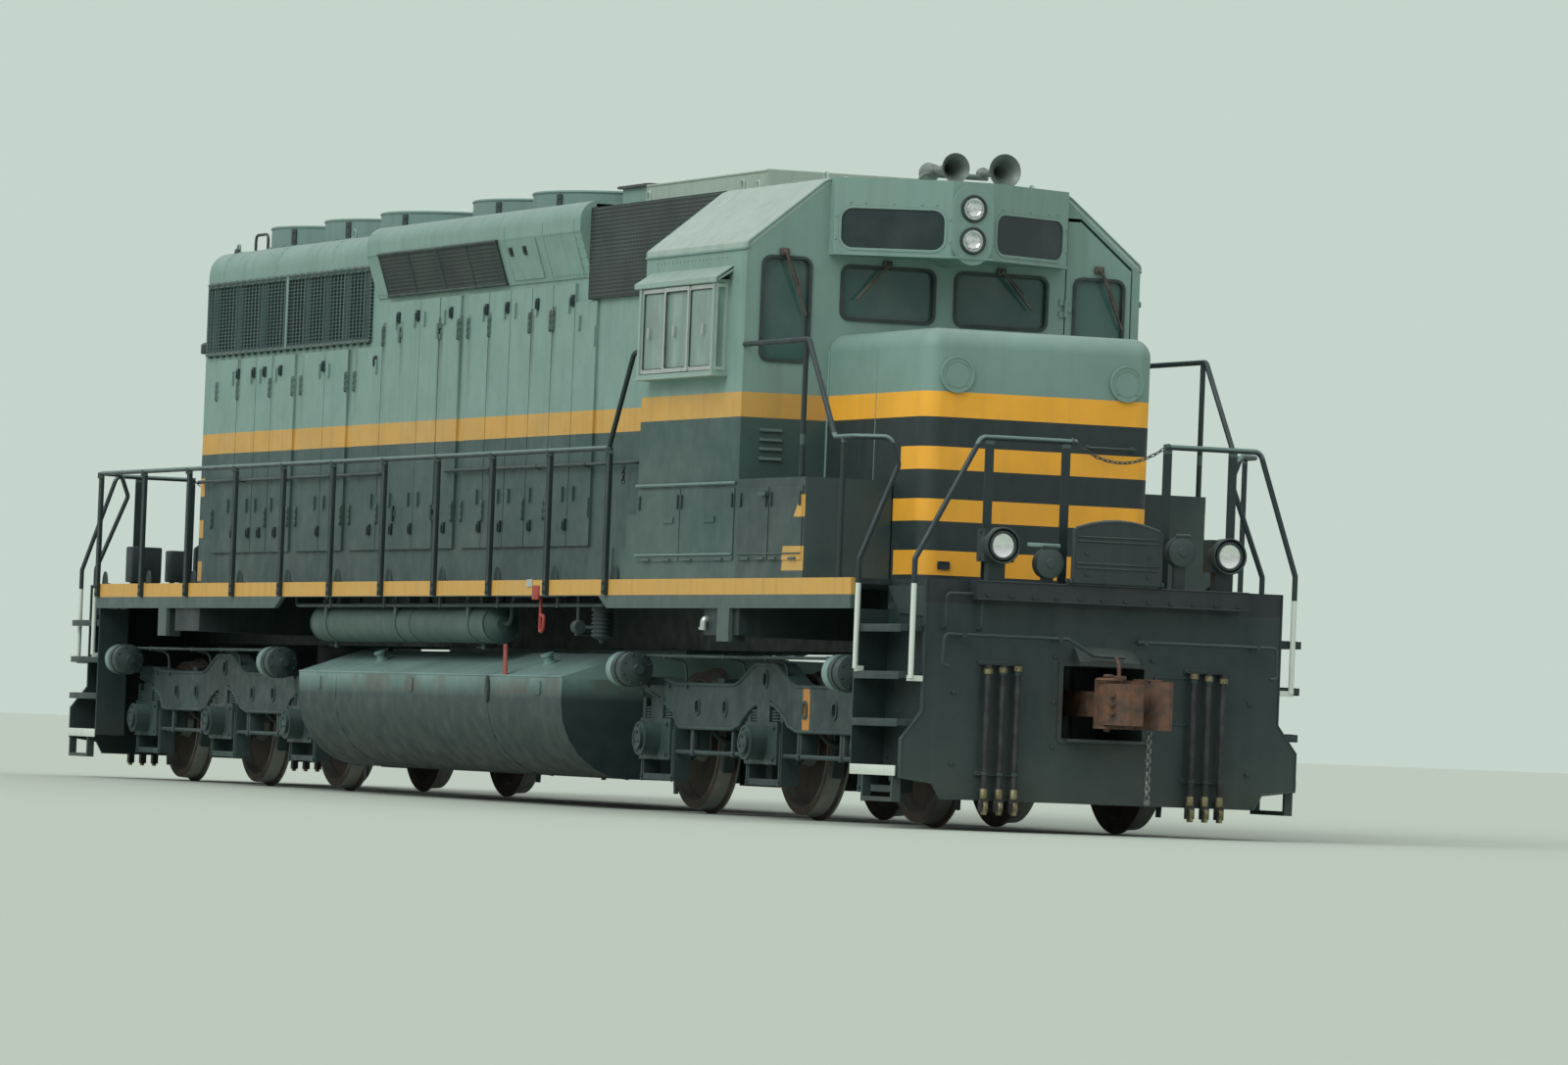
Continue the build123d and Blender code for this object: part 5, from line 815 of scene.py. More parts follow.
def lockers():
    """Latches, seams and the drip rails on the lockers under the cab and on the battery boxes."""
    steel, grey, pale = Shape(), Shape(), Shape()
    y = LOCKER_Y
    for _ in sides(steel, grey, pale):
        for x in (4.520, 5.275, 5.352, 6.322, 6.488, 6.965, 7.058, 7.590):
            steel.box((x - 0.012, y, 2.160), (x + 0.012, y + 0.014, 2.262), 0.004)
        for x in (4.70, 5.10, 5.52, 6.12, 6.62, 6.90, 7.12, 7.48):
            grey.turned(((0.010, -0.06), (0.010, 0.06)), (x, y + 0.006, 1.795), ALONG, 8)
        pale.box((4.470, y, 1.826), (6.348, y + 0.013, 1.840), 0.003)
        pale.box((4.440, y, 2.330), (6.370, y + 0.012, 2.346), 0.003)
        grey.box((6.460, y, 1.826), (7.620, y + 0.010, 1.836), 0.003)
        for x in (5.10, 5.90):
            grey.slab(((x - 0.10, y, 2.06), (x + 0.10, y, 2.06), (x + 0.10, y, 2.10),
                       (x - 0.10, y, 2.10)), (0, 0.010, 0))
        grey.slab(((6.870, y, 2.262), (7.010, y, 2.262), (7.005, y, 2.236), (6.875, y, 2.236)),
                  (0, 0.034, 0))
    steel.finish("locker_latches", PAINT_RAIL, "rail_paint")
    grey.finish("locker_trim", PAINT_CAB, "grey_body_paint")
    pale.finish("locker_ledges", PAINT_FANS, "grey_body_paint")


# Lamps, the two blank boards and the horns

FRONT_LAMP = (6.866, 4.226)
REAR_LAMP = (-7.740, 4.235)
LAMP_PITCH = 0.227
DITCH = (9.487, 0.842, 1.900)
BOARD_FACE = ((6.480, 0.905), (6.848, 0.156))
BOARD_Z = 4.174
BOARD_SIZE = (0.385, 0.160, 0.100)
HORN_Z = 4.665
HORN_TAIL_X = 5.860
# Columns: place across, radius of the mouth, place of the mouth
HORNS = ((0.101, 0.108, 6.280), (0.485, 0.124, 6.280), (0.190, 0.079, 5.580))


def lamp(bezels, bowls, glasses, at, way, radius, sunk):
    """One sealed lamp facing along X: its bezel, its reflector bowl and its domed glass."""
    axis = (way, 0, 0)
    bezels.turned(((radius * 0.86, -0.004), (radius * 0.86, 0.010), (radius * 0.93, 0.016),
                   (radius * 1.06, 0.012), (radius * 1.08, 0.0)), at, axis, 40, "hoop")
    bowls.turned(((0, -sunk), (radius * 0.34, -sunk * 0.94), (radius * 0.62, -sunk * 0.70),
                  (radius * 0.80, -sunk * 0.36), (radius * 0.88, -0.006)), at, axis, 40, "open")
    bowls.turned(((radius * 0.17, -sunk * 0.97), (radius * 0.17, -sunk * 0.45),
                  (0, -sunk * 0.30)), at, axis, 20)
    glasses.turned(((radius * 0.87, 0.0), (radius * 0.86, 0.008), (radius * 0.66, 0.016),
                    (radius * 0.35, 0.022), (0, 0.024)), at, axis, 40, "open")


def lamps():
    """The headlights' lamps at both ends and the two ditch lights."""
    bezels, bowls, glasses = Shape(), Shape(), Shape()
    for (x, z), way in ((FRONT_LAMP, 1), (REAR_LAMP, -1)):
        for level in (-0.5, 0.5):
            lamp(bezels, bowls, glasses, (x, 0, z + level * LAMP_PITCH), way, 0.092, 0.052)
    for _ in sides(bezels, bowls, glasses):
        x, y, z = DITCH
        lamp(bezels, bowls, glasses, (x + 0.034, y, z), 1, 0.094, 0.030)
        bezels.turned(((0.122, -0.062), (0.124, 0.050), (0.118, 0.054), (0.112, 0.050),
                       (0.108, -0.062)), DITCH, ALONG, 40, "hoop")
        for dy, dz in (spun(angle, 0.112) for angle in (45, 135, 225, 315)):
            bezels.bolt((x - 0.022, y + dy, z + dz), ALONG, 0.008, 0.007)
    bezels.finish("lamp_bezels", PAINT_BLACK, "black_paint")
    bowls.finish("lamp_reflectors", CHROME, "aluminium_blade")
    glasses.finish("lamp_glasses", LENS, "window_glass")


def blank_boards():
    """Dark blank panes in the two slanted pockets, held by a bolted rim."""
    rims, panes = Shape(), Shape()
    (near_x, near_y), (far_x, far_y) = BOARD_FACE
    along, up = Vector((far_x - near_x, far_y - near_y, 0)).normalized(), Vector(UP)
    out = Vector((-along.y, along.x, 0))
    middle = Vector(((near_x + far_x) / 2, (near_y + far_y) / 2, BOARD_Z))
    edge = BOARD_SIZE[1] + 0.020
    for _ in sides(rims, panes):
        panes.pad(middle - out * 0.012, (along, up), grown(BOARD_SIZE, -0.002), out * 0.005, 7)
        rims.rim(middle - out * 0.007, (along, up), grown(BOARD_SIZE, -0.020),
                 grown(BOARD_SIZE, -0.001), out * 0.011, 7)
        spots = rounded(middle, (along, up), (BOARD_SIZE[0] + 0.020, edge, BOARD_SIZE[2]), 1)
        spots += [middle + along * spread + up * level * edge
                  for spread in (-0.2, 0.0, 0.2) for level in (-1, 1)]
        for spot in spots:
            rims.bolt(spot, out, 0.007, 0.006)
    panes.finish("blank_board_panes", BOARD, "window_glass")
    rims.finish("blank_board_rims", PAINT_GREY, "grey_body_paint")


def horn_set():
    """Three hollow trumpets on a bracket."""
    shape = Shape()
    for y, mouth, mouth_x in HORNS:
        length = abs(mouth_x - HORN_TAIL_X)
        outer = ((0.0, -0.006), (0.044, -0.004), (0.046, 0.030), (0.026, 0.044), (0.026, 0.10),
                 (0.034, 0.45 * length), (0.060, 0.80 * length), (0.84 * mouth, 0.94 * length),
                 (0.97 * mouth, 0.985 * length), (mouth, length), (0.965 * mouth, length),
                 (0.80 * mouth, 0.945 * length), (0.052, 0.80 * length), (0.026, 0.45 * length),
                 (0.016, 0.12), (0.0, 0.11))
        shape.turned(outer, (HORN_TAIL_X, y, HORN_Z), (mouth_x - HORN_TAIL_X, 0, 0), 36)
        shape.box((5.868, y - 0.014, HORN_Z - 0.048), (5.902, y + 0.014, HORN_Z - 0.010), 0.004)
    shape.tube(((5.885, 0.050, HORN_Z - 0.028), (5.885, 0.520, HORN_Z - 0.028)), 0.022, 12)
    shape.box((5.830, 0.235, ROOF_TOP), (5.940, 0.325, ROOF_TOP + 0.012), 0.003)
    shape.box((5.850, 0.262, ROOF_TOP + 0.010), (5.920, 0.298, HORN_Z - 0.030), 0.006)
    shape.tube(((5.885, 0.060, HORN_Z - 0.028), (5.885, 0.010, HORN_Z - 0.030),
                (5.860, -0.030, ROOF_TOP + 0.02), (5.860, -0.030, ROOF_TOP)), 0.011, 8, 0.05)
    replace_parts(shape.finish("horn_set", HORN, "grey_body_paint"), "horns")


# Long hood: rods, latches, hinges, screens' clips, flare hatch, fans and roof

HOOD_RODS = ((-7.620, -2.950), (-1.350, 2.870))
ROD_Y = 0.946
ROD_Z = 2.565
HOOD_TOP = 4.560
# Latches on the hood doors. Columns: place along, height of the upper one
LATCHES = ((-6.725, 3.480), (-6.304, 3.480), (-6.016, 3.480), (-5.595, 3.480), (-4.486, 3.485),
           (-3.188, 3.490), (-2.650, 3.830), (-1.402, 3.830), (-0.580, 3.825), (-0.106, 3.825),
           (0.560, 3.830), (1.330, 3.830))
ENGINE_LATCH = (-2.176, 3.830)
LOWER_LATCH = 2.115
LATCH_FACE = 0.911
# Hinge leaves of the fixed doors. Columns: place along, height of the upper one
HINGES = ((-7.290, 3.340), (-6.725, 3.340), (-5.862, 3.340), (-5.264, 3.340), (-5.050, 3.340),
          (-3.904, 3.340), (-3.688, 3.340), (-3.016, 3.690), (-1.220, 3.690), (-0.992, 3.690),
          (-0.511, 3.690), (0.400, 3.690), (0.865, 3.690), (0.919, 3.690))
LOWER_HINGE = 2.240
RADIATOR_X = (-7.640, -5.490, -3.366)
RADIATOR_Z = (3.660, 4.270)
BRAKE_SCREEN_X = (-2.893, -0.150)
HATCH_X = (0.050, 0.700)
FAN_X = (-6.570, -5.165, -3.745, -1.525, -0.150)
FAN_R = 0.680
FAN_TOP = 4.750
HOOD_END_X = -7.700


def flare_at(x, z, off=0.0):
    """A place on the brake flare's slanted side, lifted off it by a distance."""
    lean = (1.015 - 0.901) / (4.350 - 4.000)
    return x, 0.901 + (min(z, 4.350) - 4.000) * lean + off, z


def latch(shape, x, z, face):
    """A door latch: its case with a T handle on a boss."""
    shape.box((x - 0.029, face - 0.002, z - 0.045), (x + 0.029, face + 0.019, z + 0.045), 0.006)
    shape.turned(((0.013, 0.0), (0.013, 0.006), (0.009, 0.010)), (x, face + 0.018, z + 0.016),
                 ACROSS, 10)
    shape.box((x - 0.006, face + 0.018, z - 0.036), (x + 0.006, face + 0.027, z + 0.012), 0.002)


def hood_rods(side_name, side):
    """The grab rods along the hood, and a short chain on the right one."""
    rods = Shape(side)
    for rear, front in HOOD_RODS:
        rods.tube(((rear, 0.895, ROD_Z), (rear, ROD_Y, ROD_Z), (front, ROD_Y, ROD_Z),
                   (front, 0.895, ROD_Z)), 0.013, 10, 0.04)
        count = round((front - rear) / 1.05)
        for n in range(1, count):
            x = rear + n * (front - rear) / count
            rods.box((x - 0.016, 0.888, ROD_Z - 0.020), (x + 0.016, ROD_Y - 0.004, ROD_Z - 0.008), 0.003)
            rods.tube(((x - 0.014, ROD_Y, ROD_Z), (x + 0.014, ROD_Y, ROD_Z)), 0.018)
    if side < 0:
        rods.chain([(2.630, ROD_Y, ROD_Z - 0.012 - n * 0.028) for n in range(6)], 0.005)
    rods.finish(f"hood_rods_{side_name}", PAINT_RAIL, "rail_paint")


def hood_hinges(side_name, side):
    """The hood doors' hinges: knuckles round a pin, and the leaves' screws."""
    hinges = Shape(side)
    pin = [(0.006, -0.084), (0.009, -0.080)]
    for low in (-0.076, -0.025, 0.026):
        pin += [(0.011, low), (0.013, low + 0.003), (0.013, low + 0.044), (0.011, low + 0.047)]
    pin += [(0.009, 0.080), (0.006, 0.084)]
    for x, high in HINGES:
        for z in (LOWER_HINGE, high):
            hinges.turned(pin, (x, 0.921, z), UP, 10)
            for dz in (-0.050, 0.0, 0.050):
                for dx in (-0.024, 0.024):
                    hinges.bolt((x + dx, 0.911, z + dz), ACROSS, 0.005, 0.005)
    hinges.finish(f"door_hinges_{side_name}", PAINT_HINGE, "grey_body_paint")


def radiator_clips(side_name, side, count=25):
    """Clips along the radiator screens, and the pale post between the two."""
    rear, mullion, front = RADIATOR_X
    low, high = RADIATOR_Z
    clips, post = Shape(side), Shape(side)
    for n in range(count):
        x = rear + (n + 0.5) * (front - rear) / count
        for z in (low - 0.016, high - 0.020):
            clips.box((x - 0.024, 0.889, z - 0.008), (x + 0.024, 0.922, z + 0.034), 0.004)
            clips.bolt((x, 0.921, z + 0.012), ACROSS, 0.008, 0.006)
    for z in (low, high):
        clips.tube(((rear, 0.915, z), (front, 0.915, z)), 0.008, 8)
    clips.finish(f"radiator_clips_{side_name}", PAINT_HINGE, "grey_body_paint")
    post.box((mullion - 0.020, 0.910, low), (mullion + 0.020, 0.923, high), 0.004)
    post.finish(f"radiator_post_{side_name}", PAINT_GREY, "grey_body_paint")


def hood_trim():
    """Rods, latches, hinges and screens' clips on both sides of the hood."""
    for side_name, side in SIDES:
        hood_rods(side_name, side)
        fixed, moving = Shape(side), Shape(side)
        for x, high in LATCHES:
            for z in (LOWER_LATCH, high):
                latch(fixed, x, z, LATCH_FACE)
        fixed.finish(f"door_latches_{side_name}", PAINT_HANDRAIL, "rail_paint")
        for z in (LOWER_LATCH, ENGINE_LATCH[1]):
            latch(moving, ENGINE_LATCH[0], z, LATCH_FACE + 0.005)
        moving.finish(f"engine_latches_{side_name}", PAINT_HANDRAIL, "rail_paint",
                      f"engine_door_{side_name}_a")
        hood_hinges(side_name, side)
        radiator_clips(side_name, side)


def flare_trim():
    """Frames, the hatch with its two latches and the rivet rows on the brake flare."""
    leaning = (0, 1, -0.32)
    rear, front = BRAKE_SCREEN_X
    for side_name, side in SIDES:
        frames, latches, edges = Shape(side), Shape(side), Shape(side)
        for z in (4.012, 4.340):
            edges.tube((flare_at(rear - 0.02, z, 0.014), flare_at(front + 0.02, z, 0.014)), 0.013, 8)
        for n in range(5):
            x = rear + n * (front - rear) / 4
            edges.tube((flare_at(x, 4.012, 0.014), flare_at(x, 4.340, 0.014)), 0.011, 8)
        low, high = HATCH_X
        frames.slab([flare_at(x, z, 0.001) for x, z in
                     ((low, 4.030), (high, 4.030), (high, 4.335), (low, 4.335))], (0, 0.008, 0))
        for x in (0.016, 0.860, 1.541):
            frames.tube((flare_at(x, 4.010, 0.001), flare_at(x, 4.350, 0.001), (x, 1.016, 4.440)),
                        0.005, 6)
        for start, end in ((0.900, 1.660), (-3.190, -2.940)):
            count = round((end - start) / 0.070)
            for z in (4.340, 4.030):
                for n in range(count + 1):
                    frames.bolt(flare_at(start + n * (end - start) / count, z), leaning, 0.007, 0.006)
        for n in range(4):
            for x in (1.565, 1.665):
                frames.bolt(flare_at(x, 4.08 + n * 0.07), leaning, 0.007, 0.006)
        for x in (0.129, 0.436):
            for half, off in ((0.034, 0.012), (0.018, 0.020)):
                latches.slab([flare_at(x + dx * half, 4.246 + dz * half, 0.005)
                              for dx, dz in ((-1, -1), (1, -1), (1, 1), (-1, 1))], (0, off, 0))
        frames.finish(f"flare_trim_{side_name}", PAINT_GREY, "grey_body_paint")
        latches.finish(f"flare_latches_{side_name}", PAINT_BLACK, "black_paint")
        edges.finish(f"flare_screen_edges_{side_name}", PAINT_RAIL, "rail_paint")


def fan_trim():
    """Rolled rims, bolted feet, straps and hub caps on the five fan housings."""
    for number, fan_x in enumerate(FAN_X, 1):
        rim, boss = Shape(), Shape()
        centre = Vector((fan_x, 0, 0))
        rim.turned(bead(FAN_R, FAN_TOP - 0.012), centre, UP, 56, "hoop")
        rim.turned(hoop(FAN_R, FAN_R + 0.030, HOOD_TOP, HOOD_TOP + 0.012), centre, UP, 56, "hoop")
        for n in range(12):
            rim.bolt((*(centre.xy + Vector(spun(30 * n + 15, FAN_R + 0.016))), HOOD_TOP + 0.012), UP,
                     0.009, 0.010)
        rim.finish(f"fan_rim_{number}", PAINT_FANS, "grey_body_paint")
        boss.turned(((0.120, FAN_TOP), (0.112, FAN_TOP + 0.010), (0.060, FAN_TOP + 0.018),
                     (0.0, FAN_TOP + 0.020)), centre, UP, 32)
        for n in range(6):
            boss.bolt(centre + Vector((*spun(60 * n, 0.132), FAN_TOP)), UP, 0.008, 0.008)
        for turn in (-64, 116):
            out = Vector((*spun(turn), 0))
            across = Vector((-out.y, out.x, 0)) * 0.026
            foot = centre + out * (FAN_R - 0.002) + Vector((0, 0, HOOD_TOP + 0.030))
            head = foot + Vector((0, 0, 0.130))
            boss.slab((foot - across, foot + across, head + across, head - across), out * 0.014)
            for share in (0.25, 0.75):
                boss.bolt(foot.lerp(head, share) + out * 0.014, out, 0.008, 0.007)
        boss.finish(f"fan_boss_{number}", PAINT_RAIL, "rail_paint")


def hood_roof_trim():
    """Panel seams over the hood, lifting eyes, the stack's flange and the small roof pipe."""
    shape = Shape()
    eave = [(-0.889, 4.335), (-0.889, 4.370)]
    bend = [(-0.880, 4.430), (-0.852, 4.487), (-0.807, 4.528), (-0.753, 4.553), (-0.699, 4.560)]
    for x in (-7.30, -5.868, -4.455, -3.235):
        run = eave + bend
        shape.tube([(x, y, z) for y, z in run + [(-y, z) for y, z in reversed(run)]], 0.006, 6)
    for _ in sides(shape):
        for x in (1.700, 1.990, 3.200):
            shape.tube([(x, y, z) for y, z in bend], 0.006, 6)
        for x in (-7.50, -4.45, 2.30, 4.20):
            shape.box((x - 0.045, 0.688, HOOD_TOP), (x + 0.045, 0.712, HOOD_TOP + 0.014), 0.003)
            shape.tube([(x + dx, 0.700, HOOD_TOP + up) for dx, up in
                        ((-0.030, 0), (-0.028, 0.070), (0.028, 0.070), (0.030, 0))], 0.011, 8, 0.035)
        shape.tube(((2.0, 0.600, 4.695), (4.438, 0.600, 4.695)), 0.009, 8)
        for n in range(16):
            shape.bolt((2.08 + n * 0.153, 0.560, 4.700), UP, 0.009, 0.008)
    for x in (2.0, 2.81, 3.62, 4.43):
        shape.box((x - 0.010, -0.602, 4.560), (x + 0.006, 0.602, 4.708), 0.003)
    shape.finish("hood_roof_trim", PAINT_BOX, "grey_body_paint")
    stack = Shape()
    stack.ring(rectangle((0.880, 1.230), 0.230, 4.745), rectangle((0.745, 1.365), 0.365, 4.745),
               (0, 0, 0.020))
    stack.ring(rectangle((0.780, 1.330), 0.330, HOOD_TOP), rectangle((0.700, 1.410), 0.410, HOOD_TOP),
               (0, 0, 0.014))
    for n in range(5):
        for y in (-0.380, 0.380):
            stack.bolt((0.80 + n * 0.130, y, HOOD_TOP + 0.014), UP, 0.009, 0.010)
    for n in range(4):
        y = -0.14 + n * 0.093
        stack.box((0.878, y - 0.005, 4.700), (1.232, y + 0.005, 4.735), 0.002)
    stack.finish("exhaust_flange", SOOTY, "rusty_casting")
    pipe = Shape()
    rear, front, y = -7.340, -7.010, -0.600
    pipe.tube(((rear, y, 4.555), (rear, y, 4.712), (front, y, 4.712), (front, y, 4.555)), 0.013, 8, 0.06)
    for x in (rear, front):
        pipe.turned(((0.034, 0.0), (0.034, 0.008), (0.020, 0.014)), (x, y, HOOD_TOP), UP, 14)
    pipe.turned(((0.026, 0.0), (0.024, 0.030), (0.012, 0.045)), (-7.42, -0.740, 4.550), UP, 12)
    pipe.finish("roof_handhold", PAINT_RAIL, "rail_paint")


def hood_end_trim():
    """The hood's rear wall: its beads, sand hatches, ladder irons, louvres and markers."""
    shape, marker = Shape(), Shape()
    x = HOOD_END_X
    for _ in sides(shape, marker):
        shape.tube(((x, 0.884, 1.665), (x, 0.884, 4.360)), 0.008, 8)
        shape.pad((x, 0.560, 2.340), ON_END, (0.235, 0.300, 0.030), (-0.012, 0, 0), 3)
        for z in (2.120, 2.560):
            shape.turned(((0.011, -0.050), (0.011, 0.050)), (x - 0.012, 0.790, z), UP, 8)
        shape.box((x - 0.026, 0.333, 2.300), (x - 0.010, 0.357, 2.380), 0.003)
        marker.box((x, 0.800, 3.560), (x - 0.012, 0.880, 3.790), 0.004)
        marker.tube(((x - 0.006, 0.840, 3.590), (x - 0.100, 0.840, 3.610), (x - 0.130, 0.840, 3.690)),
                    0.013, 8, 0.03)
        marker.turned(((0.052, -0.050), (0.058, -0.040), (0.058, 0.030), (0.040, 0.046),
                       (0.020, 0.052)), (x - 0.130, 0.840, 3.735), UP, 20)
    for n in range(7):
        z = 2.050 + n * 0.330
        near, far, out = (0.560, 0.800, 0.070) if n > 2 else (-0.160, 0.160, 0.040)
        shape.tube(((x, near, z), (x - out, near, z), (x - out, far, z), (x, far, z)), 0.011, 8, 0.03)
    for n in range(4):
        z = 3.200 + n * 0.070
        shape.slab([(x - out, -0.650, z + up) for out, up in
                    ((0, 0.018), (0.018, -0.004), (0.018, -0.010), (0, -0.012))], (0, 0.420, 0))
    shape.finish("hood_rear_trim", PAINT_HOOD, "grey_body_paint")
    marker.finish("rear_marker_brackets", PAINT_RAIL, "rail_paint")


# Nose

NOSE_X = 8.165
NOSE_COVER = (8.179, 0.642, 3.098, 0.122)
NOSE_GRAB = (0.367, 0.704, 2.640)
NOSE_HOLE = (-0.735, -0.644, 1.751, 1.807)


def nose_trim():
    """The nose's two blank lamp covers, corner beads, grab iron, hatch, and drain hole, its shade
    painted on a dark pad.
    """
    covers, grab, hole = Shape(), Shape(), Shape()
    x, y, z, radius = NOSE_COVER
    for _ in sides(covers):
        covers.turned(((radius - 0.010, -0.004), (radius + 0.007, -0.004), (radius + 0.005, 0.005),
                       (radius - 0.008, 0.005)), (x, y, z), ALONG, 44, "hoop")
        covers.turned(((radius - 0.034, -0.002), (radius - 0.030, -0.002), (radius - 0.031, 0.003),
                       (radius - 0.033, 0.003)), (x, y, z), ALONG, 44, "hoop")
        for dy, dz in (spun(angle, 0.100) for angle in (45, 135, 225, 315)):
            covers.bolt((x, y + dy, z + dz), ALONG, 0.006, 0.006)
        covers.tube(((6.404, 0.869, 1.665), (6.404, 0.869, 3.300)), 0.008, 8)
        covers.tube(((7.280, 0.866, 2.370), (7.280, 0.866, 3.290)), 0.004, 6)
    covers.finish("nose_covers", PAINT_GREY, "grey_body_paint")
    near, far, height = NOSE_GRAB
    grab.tube([(NOSE_X + out, y, height) for out, y in
               ((-0.005, near), (0.062, near), (0.062, far), (-0.005, far))], 0.011, 10, 0.035)
    for y in (near, far):
        grab.turned(((0.026, 0.0), (0.024, 0.006), (0.014, 0.009)), (NOSE_X, y, height), ALONG, 12)
    grab.pad((7.420, 0, 3.420), ON_ROOF, (0.200, 0.260, 0.040), (0, 0, 0.018), 4)
    for y in (-0.180, 0.180):
        grab.box((7.200, y - 0.030, 3.418), (7.230, y + 0.030, 3.446), 0.004)
    grab.finish("nose_grab_irons", PAINT_RAIL, "rail_paint")
    low, high, sill, head = NOSE_HOLE
    centre, w, h = (NOSE_X, (low + high) / 2, (sill + head) / 2), (high - low) / 2, (head - sill) / 2
    hole.rim(centre, ON_END, (w - 0.006, h - 0.006, 0.004), (w, h, 0.008), (0.010, 0, 0), 2)
    # The hole's shade is painted as a dark rubber pad inside the rim.
    hole.pad(centre, ON_END, (w - 0.005, h - 0.005, 0.004), (0.003, 0, 0), 2)
    hole.finish("nose_drain_hole", GASKET, "hose_rubber")


# Sills, reservoirs, tank and the gear between the trucks

POSTS_X = [3.902 - n * 1.238 for n in range(11)]
RESERVOIR = (-3.220, 0.970, 1.240, 1.340, 0.150)
TANK_X = (-3.100, 2.950)
TANK_Y = 1.490


def sill_trim():
    """Bolts and lugs at the handrail posts and the joints of the walkway plates."""
    for side_name, side in SIDES:
        shape, flanges = Shape(side), Shape(side)
        for x in POSTS_X:
            for z in (1.572, 1.632):
                shape.bolt((x, 1.562, z), ACROSS, 0.012, 0.010)
            shape.slab([(x + 0.085 + 0.068 * c, 1.500, 1.658 + 0.112 * s)
                        for c, s in (spun(15 * k) for k in range(13))], (0, 0.012, 0))
            shape.box((x + 0.040, 1.470, 1.656), (x + 0.130, 1.512, 1.668), 0.003)
            shape.turned(((0.030, -0.026), (0.030, 0.020), (0.022, 0.028)), (x, 1.555, 2.606), UP, 14)
            for away in (-1, 1):
                flanges.box((x + away * 0.0315, 1.532, 1.552), (x + away * 0.0245, 1.5635, 2.602), 0.002)
        for x in (-7.30, -5.10, -2.90, -0.70, 1.50, 3.70):
            shape.box((x - 0.006, 0.930, 1.659), (x + 0.006, 1.525, 1.664))
        shape.finish(f"sill_trim_{side_name}", PAINT_RAIL, "rail_paint")
        flanges.finish(f"post_flanges_{side_name}", PAINT_HANDRAIL, "rail_paint")


def reservoir_trim():
    """Straps, hangers, weld beads and drains on the reservoirs, and the pipes over them."""
    rear, front, y, z, radius = RESERVOIR
    for side_name, side in SIDES:
        shape, pipes = Shape(side), Shape(side)
        for x in (rear + 0.419, (rear + front) / 2, front - 0.419):
            shape.turned(hoop(radius, radius + 0.007, -0.028, 0.028), (x, y, z), ALONG, 36, "hoop")
            for away in (-1, 1):
                strap = y + away * 0.140
                shape.box((x - 0.026, strap - 0.012, z + 0.05), (x + 0.026, strap + 0.012, 1.622), 0.003)
                shape.bolt((x, y + away * 0.153, z + 0.17), (0, away, 0), 0.012, 0.012)
        for x in (rear + 0.070, front - 0.070, (rear + front) / 2 + 0.35):
            shape.turned(((radius - 0.004, -0.008), (radius + 0.004, -0.008), (radius + 0.005, 0.008),
                          (radius - 0.004, 0.008)), (x, y, z), ALONG, 36, "hoop")
        low = z - radius
        for x in (rear + 0.30, 0.55):
            shape.turned(((0.016, -0.012), (0.016, 0.030), (0.024, 0.032), (0.024, 0.050),
                          (0.010, 0.056)), (x, y, low + 0.006), DOWN, 12)
            shape.tube(((x, y, low - 0.030), (x, y + 0.060, low - 0.034)), 0.005, 6)
        shape.finish(f"reservoir_trim_{side_name}", RESERVOIRS, "grey_running_gear")
        pipes.tube(((-3.480, 1.405, 1.600), (-3.480, 1.405, 1.478), (3.560, 1.405, 1.478),
                    (3.560, 1.405, 1.610)), 0.017, 10, 0.09)
        pipes.tube(((front - 0.03, y, z), (1.150, y, z), (1.150, y, 1.560), (2.300, y, 1.560),
                    (2.300, y, 1.620)), 0.020, 10, 0.10)
        for x in (-2.60, -1.30, 0.0, 1.30, 2.60):
            pipes.box((x - 0.020, 1.384, 1.456), (x + 0.020, 1.426, 1.622), 0.003)
        for x, height in ((1.150, 1.480), (2.300, 1.585)):
            pipes.turned(((0.030, -0.020), (0.030, 0.020)), (x, y, height), UP, 6)
        pipes.finish(f"sill_pipes_{side_name}", PAINT_RAIL, "rail_paint")


